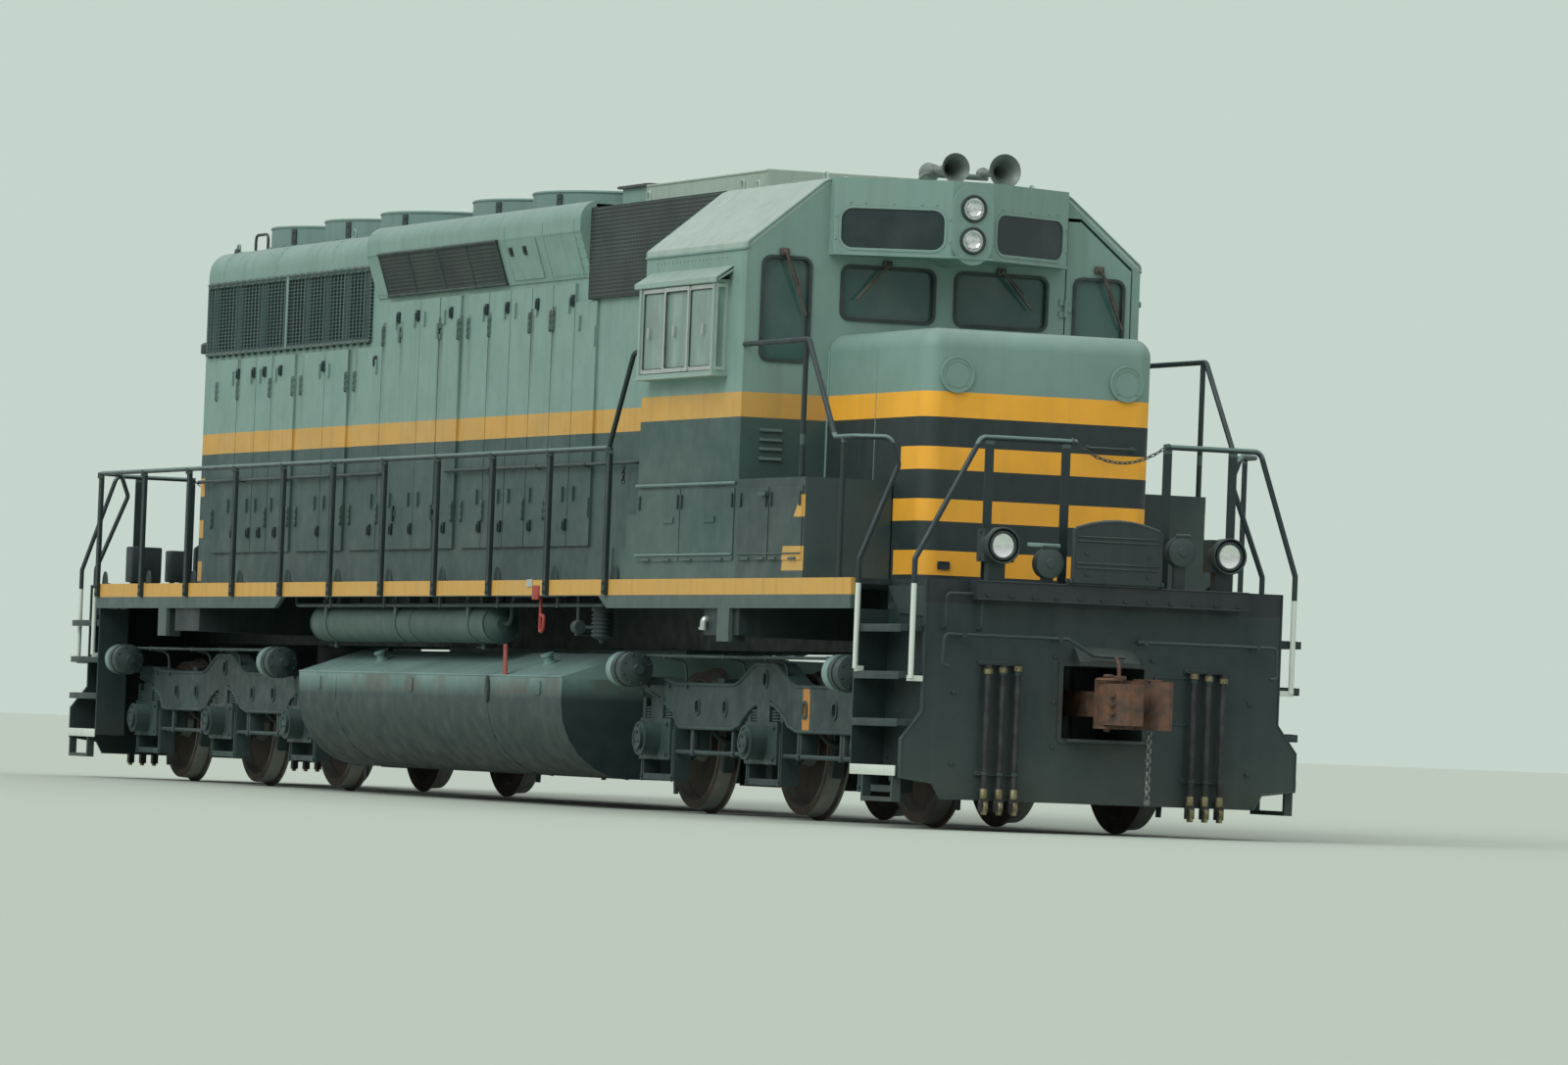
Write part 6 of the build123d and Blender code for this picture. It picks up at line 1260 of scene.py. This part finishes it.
def underside_gear():
    """Filter, valve, cut-off pull and elbow that hang below the side sills."""
    ribs = [(0.030, 1.622), (0.030, 1.480), (0.086, 1.470), (0.086, 1.440)]
    for n in range(6):
        z = 1.425 - n * 0.030
        ribs += [(0.072, z), (0.072, z - 0.012), (0.084, z - 0.015), (0.084, z - 0.027)]
    ribs += [(0.060, 1.235), (0.026, 1.222), (0.020, 1.200), (0.0, 1.198)]
    for side_name, side in SIDES:
        dark, pale, red = Shape(side), Shape(side), Shape(side)
        dark.turned(ribs, (3.246, 1.300, 0), UP, 28)
        dark.turned(((0.045, -0.050), (0.052, -0.030), (0.052, 0.030), (0.045, 0.050)),
                    (3.002, 1.400, 1.314), ALONG, 18)
        dark.tube(((3.002, 1.400, 1.340), (3.002, 1.400, 1.620)), 0.016)
        dark.tube(((2.900, 1.400, 1.314), (3.160, 1.320, 1.314)), 0.014)
        dark.box((2.980, 1.300, 1.250), (3.024, 1.420, 1.266), 0.004)
        dark.finish(f"air_filter_{side_name}", PAINT_RAIL, "rail_paint")
        pale.tube(((5.824, 1.470, 1.372), (5.824, 1.514, 1.372), (5.812, 1.514, 1.300)), 0.026, 12, 0.03)
        pale.turned(((0.034, 0), (0.034, 0.014)), (5.812, 1.514, 1.312), (-0.16, 0, -1), 12)
        pale.slab([(x, 1.531, z) for x, z in
                   ((2.235, 1.606), (2.350, 1.612), (2.345, 1.668), (2.230, 1.664))], (0, 0.006, 0))
        pale.finish(f"vent_elbow_{side_name}", ALUMINIUM, "aluminium_blade")
        red.tube([(x, 1.478, z) for x, z in ((2.400, 1.548), (2.400, 1.270), (2.470, 1.290),
                                             (2.480, 1.395), (2.410, 1.395))], 0.014, 8, 0.03)
        red.box((2.360, 1.531, 1.512), (2.500, 1.541, 1.618), 0.006)
        red.slab([(x, 1.484, z) for x, z in
                  ((1.655, 0.936), (1.722, 0.936), (1.700, 1.172), (1.640, 1.175))], (0, -0.012, 0))
        red.turned(((0.020, -0.010), (0.020, 0.010)), (1.672, 1.478, 1.160), ACROSS, 12)
        red.finish(f"red_pulls_{side_name}", PAINT_RED, "grey_body_paint")


def tank_trim():
    """The fuel tank's weld seams, sight gauges, fillers, drains and end bolts."""
    rear, front = TANK_X
    section = [(0.950, 1.130), (TANK_Y, 0.940), (TANK_Y, 0.755)]
    section += [(0.930 + c, 0.755 - s) for c, s in (spun(15 * n, 0.560) for n in range(1, 7))]
    seams, gauge = Shape(), Shape()
    for _ in sides(seams, gauge):
        for x in (rear + 0.006, -2.178, 1.354, front - 0.006):
            seams.tube([(x, y, z) for y, z in section], 0.006, 6)
        seams.tube(((rear, TANK_Y, 0.940), (front, TANK_Y, 0.940)), 0.007, 6)
        for x, way in ((rear, -1), (front, 1)):
            for z in (0.350, 0.600, 0.850):
                seams.bolt((x, 0.850, z), (way, 0, 0), 0.016, 0.012)
        for x in (-1.900, 1.900):
            seams.turned(((0.060, -0.010), (0.060, 0.012), (0.040, 0.018), (0.040, 0.060),
                          (0.052, 0.062), (0.052, 0.082), (0.0, 0.086)), (x, 1.200, 1.042),
                         (0, 0.33, 0.94), 24)
        for x in (-2.60, -0.40, 2.45):
            seams.slab([(x + dx, TANK_Y, z) for dx, z in
                        ((-0.05, 0.800), (0.05, 0.800), (0.05, 0.905), (-0.05, 0.905))], (0, 0.010, 0))
        for grow, off in ((0.0, 0.012), (-0.014, 0.016)):
            gauge.slab([(1.354 + (0.046 + grow) * c, 1.489, 0.836 + (0.104 + grow) * s)
                        for c, s in (spun(15 * n) for n in range(24))], (0, off, 0))
    for x in (-2.4, 0.0, 2.3):
        seams.turned(((0.036, 0), (0.036, 0.012), (0.020, 0.014), (0.020, 0.030)), (x, 0, 0.196),
                     DOWN, 6)
    seams.finish("tank_seams", TANK, "grey_running_gear")
    gauge.finish("tank_gauges", PAINT_BLACK, "black_paint")


# Trucks and wheels

TRUCK_X = 6.096
AXLE_PITCH = 2.070
AXLE_Z = 0.508
FRAME_FACE = 1.135
# Edges of the cast side frame, from its swivel outward
FRAME_UPPER = ((0.000, 1.080), (0.170, 1.080), (0.220, 1.068), (0.500, 0.945), (0.600, 0.925),
               (1.700, 0.925), (2.000, 0.960), (2.330, 0.960))
FRAME_LOWER = ((0.000, 0.785), (0.100, 0.778), (0.200, 0.757), (0.300, 0.720), (0.400, 0.664),
               (0.460, 0.620), (0.620, 0.585), (1.640, 0.585), (1.690, 0.625), (1.760, 0.700),
               (2.070, 0.800), (2.330, 0.850))
FRAME_HOLES = ((-1.295, 0.750), (-0.755, 0.750), (0.0, 0.960), (0.755, 0.750), (1.295, 0.750))
CYLINDER_Y, CYLINDER_Z, CYLINDER_HALF = 1.375, 1.010, 0.145


def frame_edges(shape, pivot):
    """Rolled flanges along the side frame and raised rims round its holes."""
    y = FRAME_FACE
    for edge, inward in ((FRAME_UPPER, -0.012), (FRAME_LOWER, 0.012)):
        points = [(-x, z) for x, z in reversed(edge[1:])] + list(edge)
        shape.tube([(pivot + x, y, z + inward) for x, z in points], 0.013, 8)
    for x, z in FRAME_HOLES:
        shape.rim((pivot + x, y, z), ON_SIDE, (0.032, 0.048, 0.030), (0.050, 0.066, 0.045),
                  (0, 0.008, 0), 4)
    for x in (-2.280, -1.850, -1.500, 1.500, 1.850, 2.280):
        shape.bolt((pivot + x, y, 0.900), ACROSS, 0.017, 0.016)


def journal_trim(shape, axle_x):
    """Flanges, bolts, springs and tie bolts of one journal box."""
    for radius, face, proud in ((0.120, 1.275, 0.006), (0.078, 1.297, 0.005)):
        shape.turned(((radius - 0.016, -0.004), (radius + 0.004, -0.004), (radius + 0.003, proud),
                      (radius - 0.014, proud)), (axle_x, face, AXLE_Z), ACROSS, 32, "hoop")
    for dx, dz in (spun(angle, 0.044) for angle in (90, 210, 330)):
        shape.bolt((axle_x + dx, 1.297, AXLE_Z + dz), ACROSS, 0.010, 0.010)
    for leg in (-1, 1):
        for dz in (-0.110, 0.110):
            shape.bolt((axle_x + leg * 0.240, 1.155, AXLE_Z + dz), ACROSS, 0.015, 0.014)
        for level in range(4):
            shape.turned(bead(0.044, 0.668 + level * 0.022), (axle_x + leg * 0.190, 1.095, 0), UP, 18,
                         "hoop")
        x = axle_x + leg * 0.303
        for z in (0.212, 0.236):
            shape.bolt((x, 1.125, z), ACROSS, 0.012, 0.012)
        shape.tube(((x, 1.127, 0.250), (x, 1.127, 0.580)), 0.009, 6)


def brake_gear(shape, axle_x, toward):
    """One brake shoe with its hanger, off the wheel's tread by ten millimetres."""
    arc = (-24, -12, 0, 12, 24)
    rim = [spun(turn, 0.522) for turn in arc] + [spun(turn, 0.566) for turn in reversed(arc)]
    shape.slab([(axle_x + toward * c, 0.732, AXLE_Z + s) for c, s in rim], (0, 0.082, 0))
    shape.tube([(axle_x + toward * out, y, z) for out, y, z in
                ((0.575, 0.775, 0.508), (0.615, 0.880, 0.520), (0.640, 1.000, 0.620))], 0.020, 8, 0.06)
    x = axle_x + toward * 0.640
    shape.box((x - 0.025, 0.985, 0.400), (x + 0.025, 1.118, 0.590), 0.006)


def brake_cylinders(gear, caps, axle_x, side):
    """The two ends, the bolts and the band of one brake cylinder."""
    y, z, rear, front = CYLINDER_Y, CYLINDER_Z, axle_x - CYLINDER_HALF, axle_x + CYLINDER_HALF
    caps.turned(((0.1265, -0.085), (0.1275, -0.060), (0.1275, 0.010), (0.112, 0.036), (0.060, 0.050),
                 (0.0, 0.054)), (rear, y, z), (-1, 0, 0), 32)
    gear.turned(((0.128, -0.020), (0.130, 0.000), (0.104, 0.010), (0.050, 0.026), (0.036, 0.030),
                 (0.036, 0.066), (0.0, 0.068)), (front, y, z), ALONG, 32)
    for dy, dz in (spun(45 * n + 20, 0.108) for n in range(8)):
        gear.bolt((front, y + side * dy, z + dz), ALONG, 0.010, 0.014)
    gear.turned(hoop(0.127, 0.132, -0.010, 0.010), (axle_x + 0.020, y, z), ALONG, 32, "hoop")


def truck_trim():
    """Castings' edges, brake gear and cylinders' ends on both sides of both trucks."""
    for end, way in ENDS:
        pivot = way * TRUCK_X
        for side_name, side in SIDES:
            cast, gear, caps = Shape(side), Shape(side), Shape(side)
            frame_edges(cast, pivot)
            for place in (-1, 0, 1):
                axle_x = pivot + place * AXLE_PITCH
                journal_trim(cast, axle_x)
                brake_gear(gear, axle_x, 1 if place < 1 else -1)
                if place:
                    brake_cylinders(gear, caps, axle_x, side)
            for x in (pivot - 1.40, pivot - 0.62, pivot + 0.62, pivot + 1.40):
                gear.box((x - 0.018, 1.085, 0.395), (x + 0.018, 1.125, 0.600), 0.005)
                gear.turned(((0.026, -0.030), (0.026, 0.030)), (x, 1.105, 0.420), ALONG, 12)
            for x in (pivot - 1.55, pivot - 0.40, pivot + 0.40, pivot + 1.55):
                gear.box((x - 0.014, 1.288, 1.090), (x + 0.014, 1.312, 1.126), 0.003)
                gear.tube(((x, 1.300, 1.105), (x, 1.140, 1.080), (x, 1.125, 0.935)), 0.011, 8, 0.05)
            for out in (-1, 1):
                gear.tube([(pivot + out * x, y, z) for x, y, z in
                           ((2.320, 1.000, 0.905), (2.500, 0.860, 0.880), (2.660, 0.760, 0.560),
                            (2.625, 0.752, 0.105))], 0.020, 8, 0.12)
            for name, shape, look in (("frame_castings", cast, GEAR), ("brake_gear", gear, PAINT_RAIL),
                                      ("cylinder_caps", caps, TANK)):
                shape.finish(f"{name}_{end}_{side_name}", look, "grey_running_gear", f"truck_{end}")


def wheel_trim():
    """Raised rims and hub rings on each wheel's outer face, turning with it."""
    axles = [pivot + place * AXLE_PITCH for pivot in (TRUCK_X, -TRUCK_X) for place in (1, 0, -1)]
    for number, axle_x in enumerate(axles, 1):
        shape = Shape()
        for _ in sides(shape):
            for inner, outer, face, proud in ((0.440, 0.452, 0.821, 0.006), (0.488, 0.500, 0.821, 0.004),
                                              (0.112, 0.128, 0.846, 0.005)):
                shape.turned(((inner, 0), (outer, 0), (outer - 0.003, proud), (inner + 0.003, proud)),
                             (axle_x, face, AXLE_Z), ACROSS, 48, "hoop")
        shape.finish(f"wheel_rims_{number}", WHEEL, "wheel_steel", f"wheelset_{number}")


# Pilots, steps, couplers and hoses, given for the front end and turned round for the rear one

PILOT_X = 9.377
PLATFORM_X = 9.507
HOSE_X = 9.432
HOSE_Y = (0.655, 0.765, 0.875)
COUPLER_TOP = 1.025
PILOT_EDGE = ((1.167, 0.180), (1.227, 0.285), (1.475, 0.315), (1.475, 0.575), (1.328, 0.766),
              (1.328, 1.655))


def pilot_trim():
    """The pilots' edges, hose racks, cut levers, bolts, pocket frame, and flat black pads that paint the
    recesses' shade.
    """
    for end, way in ENDS:
        shape, dark = Shape(way, way), Shape(way, way)
        x = PILOT_X
        for side in sides(shape, dark):
            shape.tube([(x, y - 0.008, z) for y, z in PILOT_EDGE], 0.008, 6)
            for z in (0.362, 1.107):
                shape.box((x, 0.600, z - 0.016), (x + 0.010, 0.930, z + 0.016), 0.003)
                shape.box((x + 0.004, 0.610, z - 0.012), (HOSE_X - 0.016, 0.920, z - 0.004), 0.002)
                for y in HOSE_Y:
                    shape.turned(hoop(0.0215, 0.0265, -0.010, 0.010), (HOSE_X, y, min(z, 1.040)), UP, 14,
                                 "hoop")
            lever = 1.150 if side < 0 else 1.155
            shape.tube([(9.497, lever + dy, z) for dy, z in
                        ((-0.02, 1.289), (0.080, 1.289), (0.090, 1.080), (0.040, 1.075))],
                       0.012, 8, 0.035)
            for z in (0.56, 1.17):
                shape.bolt((x, 0.36, z), ALONG, 0.014, 0.012)
            for z in (0.42, 0.90):
                shape.bolt((x, 1.10, z), ALONG, 0.014, 0.012)
            # A flat black pad paints the shade of the recess behind the hoses.
            dark.pad((x, 0.765, 0.735), ON_END, (0.150, 0.330, 0.02), (0.0015, 0, 0), 2)
        shape.bolt((x, -0.36, 0.86), ALONG, 0.014, 0.012)
        shape.tube([(x + out, y, z) for out, y, z in
                    ((0, -1.200, 1.330), (0.060, -1.200, 1.330), (0.060, -1.200, 1.565),
                     (0.060, -0.940, 1.565), (0.060, -0.940, 1.330), (0, -0.940, 1.330))],
                   0.012, 8, 0.040)
        for n in range(12):
            shape.bolt((PLATFORM_X, -0.930 + n * 0.169, 1.560), ALONG, 0.012, 0.010)
        for z in (1.535, 1.655):
            shape.tube(((PLATFORM_X, -1.005, z), (PLATFORM_X, 1.005, z)), 0.007, 6)
        shape.rim((x, 0, 0.865), ON_END, (0.300, 0.245, 0.010), (0.332, 0.277, 0.020), (0.012, 0, 0), 2)
        shape.box((x, -0.270, 0.596), (x + 0.055, 0.370, 0.618), 0.005)
        recess = x, 0.515, 0.905
        shape.rim(recess, ON_END, (0.120, 0.150, 0.015), (0.136, 0.166, 0.022), (0.008, 0, 0), 2)
        # A flat black pad paints the shade inside the recess's rim.
        dark.pad(recess, ON_END, (0.121, 0.151, 0.015), (0.002, 0, 0), 2)
        shape.finish(f"pilot_trim_{end}", PAINT_PILOT, "black_paint")
        dark.finish(f"pilot_recess_shade_{end}", PAINT_BLACK, "black_paint")


def step_trim():
    """White edges on the lowest steps, gratings on the treads and the corner gussets."""
    rear, front = 8.560, 9.345
    for end, way in ENDS:
        for side_name, side in SIDES:
            white, dark = Shape(side, way), Shape(side, way)
            white.box((rear, 1.488, 0.325), (front, 1.496, 0.395), 0.003)
            white.finish(f"step_edge_{end}_{side_name}", PAINT_WHITE, "roof_paint")
            for level in range(4):
                z = 0.385 + level * (1.660 - 0.385) / 4
                for n in range(7):
                    y = 1.262 + n * 0.034
                    dark.box((rear + 0.02, y - 0.004, z - 0.001), (front - 0.02, y + 0.004, z + 0.006),
                             0.001)
                if level:
                    dark.box((rear, 1.484, z - 0.048), (front, 1.494, z + 0.004), 0.003)
            dark.slab(((8.570, 1.254, 1.615), (9.340, 1.254, 1.615), (9.340, 1.254, 1.400),
                       (8.780, 1.254, 1.430)), (0, 0.012, 0))
            for x in (8.640, 9.290):
                for z in (0.450, 0.900, 1.250):
                    dark.bolt((x, 1.250, z), ACROSS, 0.013, 0.010)
            dark.finish(f"step_treads_{end}_{side_name}", PAINT_RAIL, "black_paint")


def hose_ends():
    """Brass collars at the top of each hose and the couplings that hang at its foot."""
    for end, way in ENDS:
        brass = Shape(way, way)
        for _ in sides(brass):
            for n, y in enumerate(HOSE_Y):
                brass.turned(((0.023, -0.020), (0.030, -0.016), (0.030, 0.016), (0.023, 0.020)),
                             (HOSE_X, y, 1.075 - 0.012 * n), UP, 6)
                brass.turned(((0.0225, -0.055), (0.0265, -0.050), (0.0265, 0.040), (0.0225, 0.045)),
                             (HOSE_X, y, 0.215), UP, 14)
                brass.turned(((0.036, -0.015), (0.040, -0.010), (0.040, 0.010), (0.036, 0.015)),
                             (HOSE_X + 0.012, y, 0.140), ACROSS, 20)
                brass.box((HOSE_X - 0.018, y - 0.013, 0.085), (HOSE_X + 0.040, y + 0.013, 0.120), 0.006)
        brass.finish(f"hose_couplings_{end}", BRASS, "wheel_steel")


def coupler_trim():
    """The couplers' lock lifters, ribs and hanging chains, and the knuckles' pins."""
    top = COUPLER_TOP
    for end, way in ENDS:
        rust, chain, pin = Shape(way, way), Shape(way, way), Shape(way, way)
        rust.box((9.700, -0.090, top - 0.004), (9.790, -0.010, top + 0.030), 0.010)
        rust.tube(((9.745, -0.050, top + 0.020), (9.740, -0.050, top + 0.110),
                   (9.690, -0.050, top + 0.150)), 0.014, 8, 0.04)
        rust.turned(((0.090, 0.0), (0.086, 0.012), (0.060, 0.018)), (9.793, -0.150, top - 0.004), UP, 24)
        for y in (0.110, 0.190):
            rust.box((9.640, y - 0.012, top - 0.002), (9.900, y + 0.012, top + 0.012), 0.004)
        for z in (0.760, 0.860, 0.960):
            rust.box((9.600, 0.222, z - 0.010), (9.950, 0.247, z + 0.010), 0.004)
        rust.finish(f"lock_lifter_{end}", CAST, "rusty_casting", f"coupler_{end}")
        chain.chain([(9.830, 0.150, 0.700 - n * 0.032) for n in range(16)], 0.0060)
        chain.turned(((0.016, -0.020), (0.024, -0.010), (0.026, 0.008), (0.012, 0.020)),
                     (9.830, 0.150, 0.208), UP, 12)
        chain.finish(f"coupler_chain_{end}", STEEL, "wheel_steel", f"coupler_{end}")
        pin.turned(((0.036, 0.0), (0.036, 0.010), (0.028, 0.018), (0.0, 0.020)),
                   (9.793, -0.150, 1.044), UP, 20)
        for y, z in ((-0.211, 0.800), (-0.214, 0.860), (-0.211, 0.920)):
            pin.box((9.930, y, z - 0.012), (9.962, -0.165, z + 0.012), 0.004)
        pin.finish(f"knuckle_pin_{end}", CAST, "rusty_casting", f"knuckle_{end}")


# Platforms: cable plugs, chains, walkover steps and boxes

def plug_lids():
    """The cable sockets' lids at the front rails, and the pale bar over one."""
    shape, pale = Shape(), Shape()
    for y, z in ((-0.478, 1.795), (0.500, 1.915)):
        shape.turned(((0.100, 0.0), (0.100, 0.012), (0.080, 0.022), (0.034, 0.026), (0.030, 0.034),
                      (0.0, 0.036)), (9.487, y, z), ALONG, 32)
        shape.box((9.470, y - 0.045, z + 0.088), (9.502, y + 0.045, z + 0.112), 0.005)
        shape.turned(((0.010, -0.055), (0.010, 0.055)), (9.500, y, z + 0.112), ACROSS, 8)
    pale.box((9.450, -0.635, 1.904), (9.476, -0.396, 1.930), 0.005)
    pale.box((9.452, -0.506, 1.880), (9.474, -0.450, 1.910), 0.003)
    shape.finish("plug_lids", PAINT_RAIL, "black_paint")
    pale.finish("plug_bar", PAINT_GREY, "grey_body_paint")


def rail_chains():
    """A sagging chain across the gap of each end's rails, with its hooks."""
    near, far, height, sag, count = -0.236, 0.435, 2.625, 0.120, 18
    for end, way in ENDS:
        shape = Shape(way, way)
        shape.chain([(9.300, near + n / count * (far - near),
                      height - sag * (1 - (2 * n / count - 1) ** 2)) for n in range(count + 1)], 0.0042)
        for y in (near - 0.022, far + 0.022):
            shape.turned(((0.022, -0.010), (0.026, 0.0), (0.022, 0.010)), (9.300, y, 2.630), ACROSS, 14)
        shape.finish(f"rail_chain_{end}", PAINT_RAIL, "rail_paint")


def drop_step_trim():
    """Ribs, a rolled rim and cleats on each walkover step."""
    face = 9.544
    rim = [(-0.322, 1.700), (-0.322, 2.020)]
    rim += [(y, 2.094 - 0.065 * (y / 0.329) ** 2) for y in (-0.30, -0.20, -0.10, 0.0, 0.10, 0.20, 0.30)]
    rim += [(0.322, 2.020), (0.322, 1.700)]
    for end, way in ENDS:
        shape = Shape(way, way)
        for z in (1.775, 1.805, 1.955, 1.985):
            shape.tube(((face, -0.300, z), (face, 0.300, z)), 0.007, 8)
        shape.tube([(9.530, y, z) for y, z in rim], 0.017, 8)
        for n in range(6):
            z = 1.760 + n * 0.052
            shape.box((9.508, -0.285, z - 0.008), (9.517, 0.285, z + 0.008), 0.002)
        for y in (-0.230, 0.230):
            for z in (1.730, 1.870):
                shape.bolt((face, y, z), ALONG, 0.011, 0.009)
        shape.finish(f"walkover_ribs_{end}", PAINT_BLACK, "black_paint", f"drop_step_{end}")


def platform_boxes():
    """Small cabinets at the rear rails and the cables of the front lamps."""
    shape = Shape()
    for low, high, sill, head in ((-1.014, -0.738, 1.700, 2.015), (-0.650, -0.478, 1.716, 1.995)):
        shape.box((-9.380, low, sill), (-9.190, high, head), 0.012)
        shape.box((-9.386, low + 0.020, sill + 0.020), (-9.376, high - 0.020, head - 0.020), 0.004)
        for y in (low + 0.030, high - 0.050):
            shape.box((-9.330, y, 1.658), (-9.240, y + 0.020, sill + 0.004), 0.003)
        shape.turned(((0.016, 0.0), (0.014, 0.012), (0.0, 0.016)),
                     (-9.385, (low + high) / 2, (sill + head) / 2), (-1, 0, 0), 12)
    for _ in sides(shape):
        shape.tube(((9.400, 0.842, 1.800), (9.390, 0.800, 1.720), (9.300, 0.780, 1.664)), 0.012, 8, 0.05)
        for z in (1.810, 1.990):
            shape.bolt((9.400, 0.953, z), ACROSS, 0.010, 0.008)
    shape.finish("platform_boxes", PAINT_BLACK, "black_paint")


def cab_inside():
    """The two seats and the stand's levers and gauges, as seen through the glass."""
    pads, metal = Shape(), Shape()
    floor = 2.370
    for y in (-1.050, 1.050):
        pads.box((5.160, y - 0.235, floor + 0.530), (5.600, y + 0.235, floor + 0.560), 0.014)
        pads.box((5.195, y - 0.215, floor + 0.600), (5.225, y + 0.215, floor + 1.140), 0.012)
        pads.box((5.120, y - 0.150, floor + 1.148), (5.200, y + 0.150, floor + 1.270), 0.025)
        for away in (-1, 1):
            arm = y + away * 0.262
            pads.box((5.200, arm - 0.028, floor + 0.740), (5.500, arm + 0.028, floor + 0.790), 0.014)
            metal.tube(((5.240, arm, floor + 0.745), (5.240, y + away * 0.236, floor + 0.500)), 0.012, 8)
    for x in (5.600, 5.750, 5.900):
        metal.turned(((0.050, 0.0), (0.050, 0.016), (0.040, 0.022)),
                     (x + 0.020, -0.762, floor + 1.120), (0, -1, 0), 20)
        metal.tube(((x, -0.700, floor + 1.245), (x, -0.760, floor + 1.330)), 0.009, 8)
        metal.turned(((0.018, -0.016), (0.022, 0.0), (0.018, 0.016)), (x, -0.762, floor + 1.334), UP, 12)
    pads.finish("seat_pads", SEAT, "seat_vinyl")
    metal.finish("cab_controls", STEEL, "wheel_steel")


for build in (window_gaskets, wipers, front_louvres, bay_windows, cab_gutters, lockers, lamps,
              blank_boards, horn_set, hood_trim, flare_trim, fan_trim, hood_roof_trim, hood_end_trim,
              nose_trim, sill_trim, reservoir_trim, underside_gear, tank_trim, truck_trim, wheel_trim,
              pilot_trim, step_trim, hose_ends, coupler_trim, plug_lids, rail_chains, drop_step_trim,
              platform_boxes, cab_inside):
    build()


# Camera, light and floor

CAMERA_AT = (60.0460, -22.9989, 0.5767)
CAMERA_AZIMUTH = 157.8515
CAMERA_PITCH = 1.4349
CAMERA_ROLL = 2.2381
CAMERA_LENS = 188.37


def staged(name, data):
    """An object of the scene that isn't part of the locomotive."""
    made = bpy.data.objects.new(name, data)
    bpy.context.scene.collection.objects.link(made)
    return made


def place_camera():
    """The camera that was fitted to the photograph."""
    azimuth, pitch, roll = (math.radians(a) for a in (CAMERA_AZIMUTH, CAMERA_PITCH, CAMERA_ROLL))
    forward = Vector((math.cos(pitch) * math.cos(azimuth), math.cos(pitch) * math.sin(azimuth),
                      math.sin(pitch)))
    right = forward.cross(Vector(UP)).normalized()
    up = right.cross(forward)
    tilted = right * math.cos(roll) + up * math.sin(roll)
    raised = up * math.cos(roll) - right * math.sin(roll)
    data = bpy.data.cameras.new("photo_camera")
    data.lens = CAMERA_LENS
    data.clip_end = 2000
    camera = staged("photo_camera", data)
    camera.matrix_world = (Matrix.Translation(CAMERA_AT)
                           @ Matrix((tilted, raised, -forward)).transposed().to_4x4())
    bpy.context.scene.camera = camera


def light_world():
    """An overcast sky, brighter overhead, shown plain and pale to the camera and in glass."""
    world = bpy.data.worlds.new("overcast")
    world.use_nodes = True
    bpy.context.scene.world = world
    tree = world.node_tree
    tree.nodes.clear()
    place, split, height, sky, shown, path, seen, mix, out = (
        tree.nodes.new("ShaderNode" + kind) for kind in
        ("TexCoord", "SeparateXYZ", "MapRange", "Background", "Background", "LightPath", "Math",
         "MixShader", "OutputWorld"))
    height.inputs["To Min"].default_value = 0.42
    height.inputs["To Max"].default_value = 1.05
    sky.inputs[0].default_value = (1.0, 1.0, 1.0, 1.0)
    shown.inputs[0].default_value = (*SKY, 1.0)
    seen.operation = "MAXIMUM"
    for source, target in ((place.outputs["Generated"], split.inputs[0]),
                           (split.outputs[2], height.inputs[0]), (height.outputs[0], sky.inputs[1]),
                           (path.outputs["Is Camera Ray"], seen.inputs[0]),
                           (path.outputs["Is Transmission Ray"], seen.inputs[1]),
                           (seen.outputs[0], mix.inputs[0]), (sky.outputs[0], mix.inputs[1]),
                           (shown.outputs[0], mix.inputs[2]), (mix.outputs[0], out.inputs[0])):
        tree.links.new(source, target)


def light_key():
    """A broad soft key from the near side and above."""
    data = bpy.data.lights.new("soft_key", "SUN")
    data.energy = 1.35
    data.angle = math.radians(40)
    key = staged("soft_key", data)
    key.rotation_mode = "QUATERNION"
    key.rotation_quaternion = Vector((-0.30, 0.72, -0.63)).to_track_quat("-Z", "Y")


def lay_floor():
    """A plain pale floor, far larger than the locomotive."""
    mesh = bpy.data.meshes.new("floor")
    bm = bmesh.new()
    bmesh.ops.create_circle(bm, cap_ends=True, segments=64, radius=900.0)
    bm.to_mesh(mesh)
    bm.free()
    look = Look("floor")
    colour = look.blend(look.times(look.noise(0.8, 4.0), 0.08), FLOOR, (0.39, 0.45, 0.38))
    mesh.materials.append(look.finish(colour, 0.9))
    staged("floor", mesh)


bpy.context.scene.view_settings.view_transform = "Standard"
place_camera()
light_world()
light_key()
lay_floor()
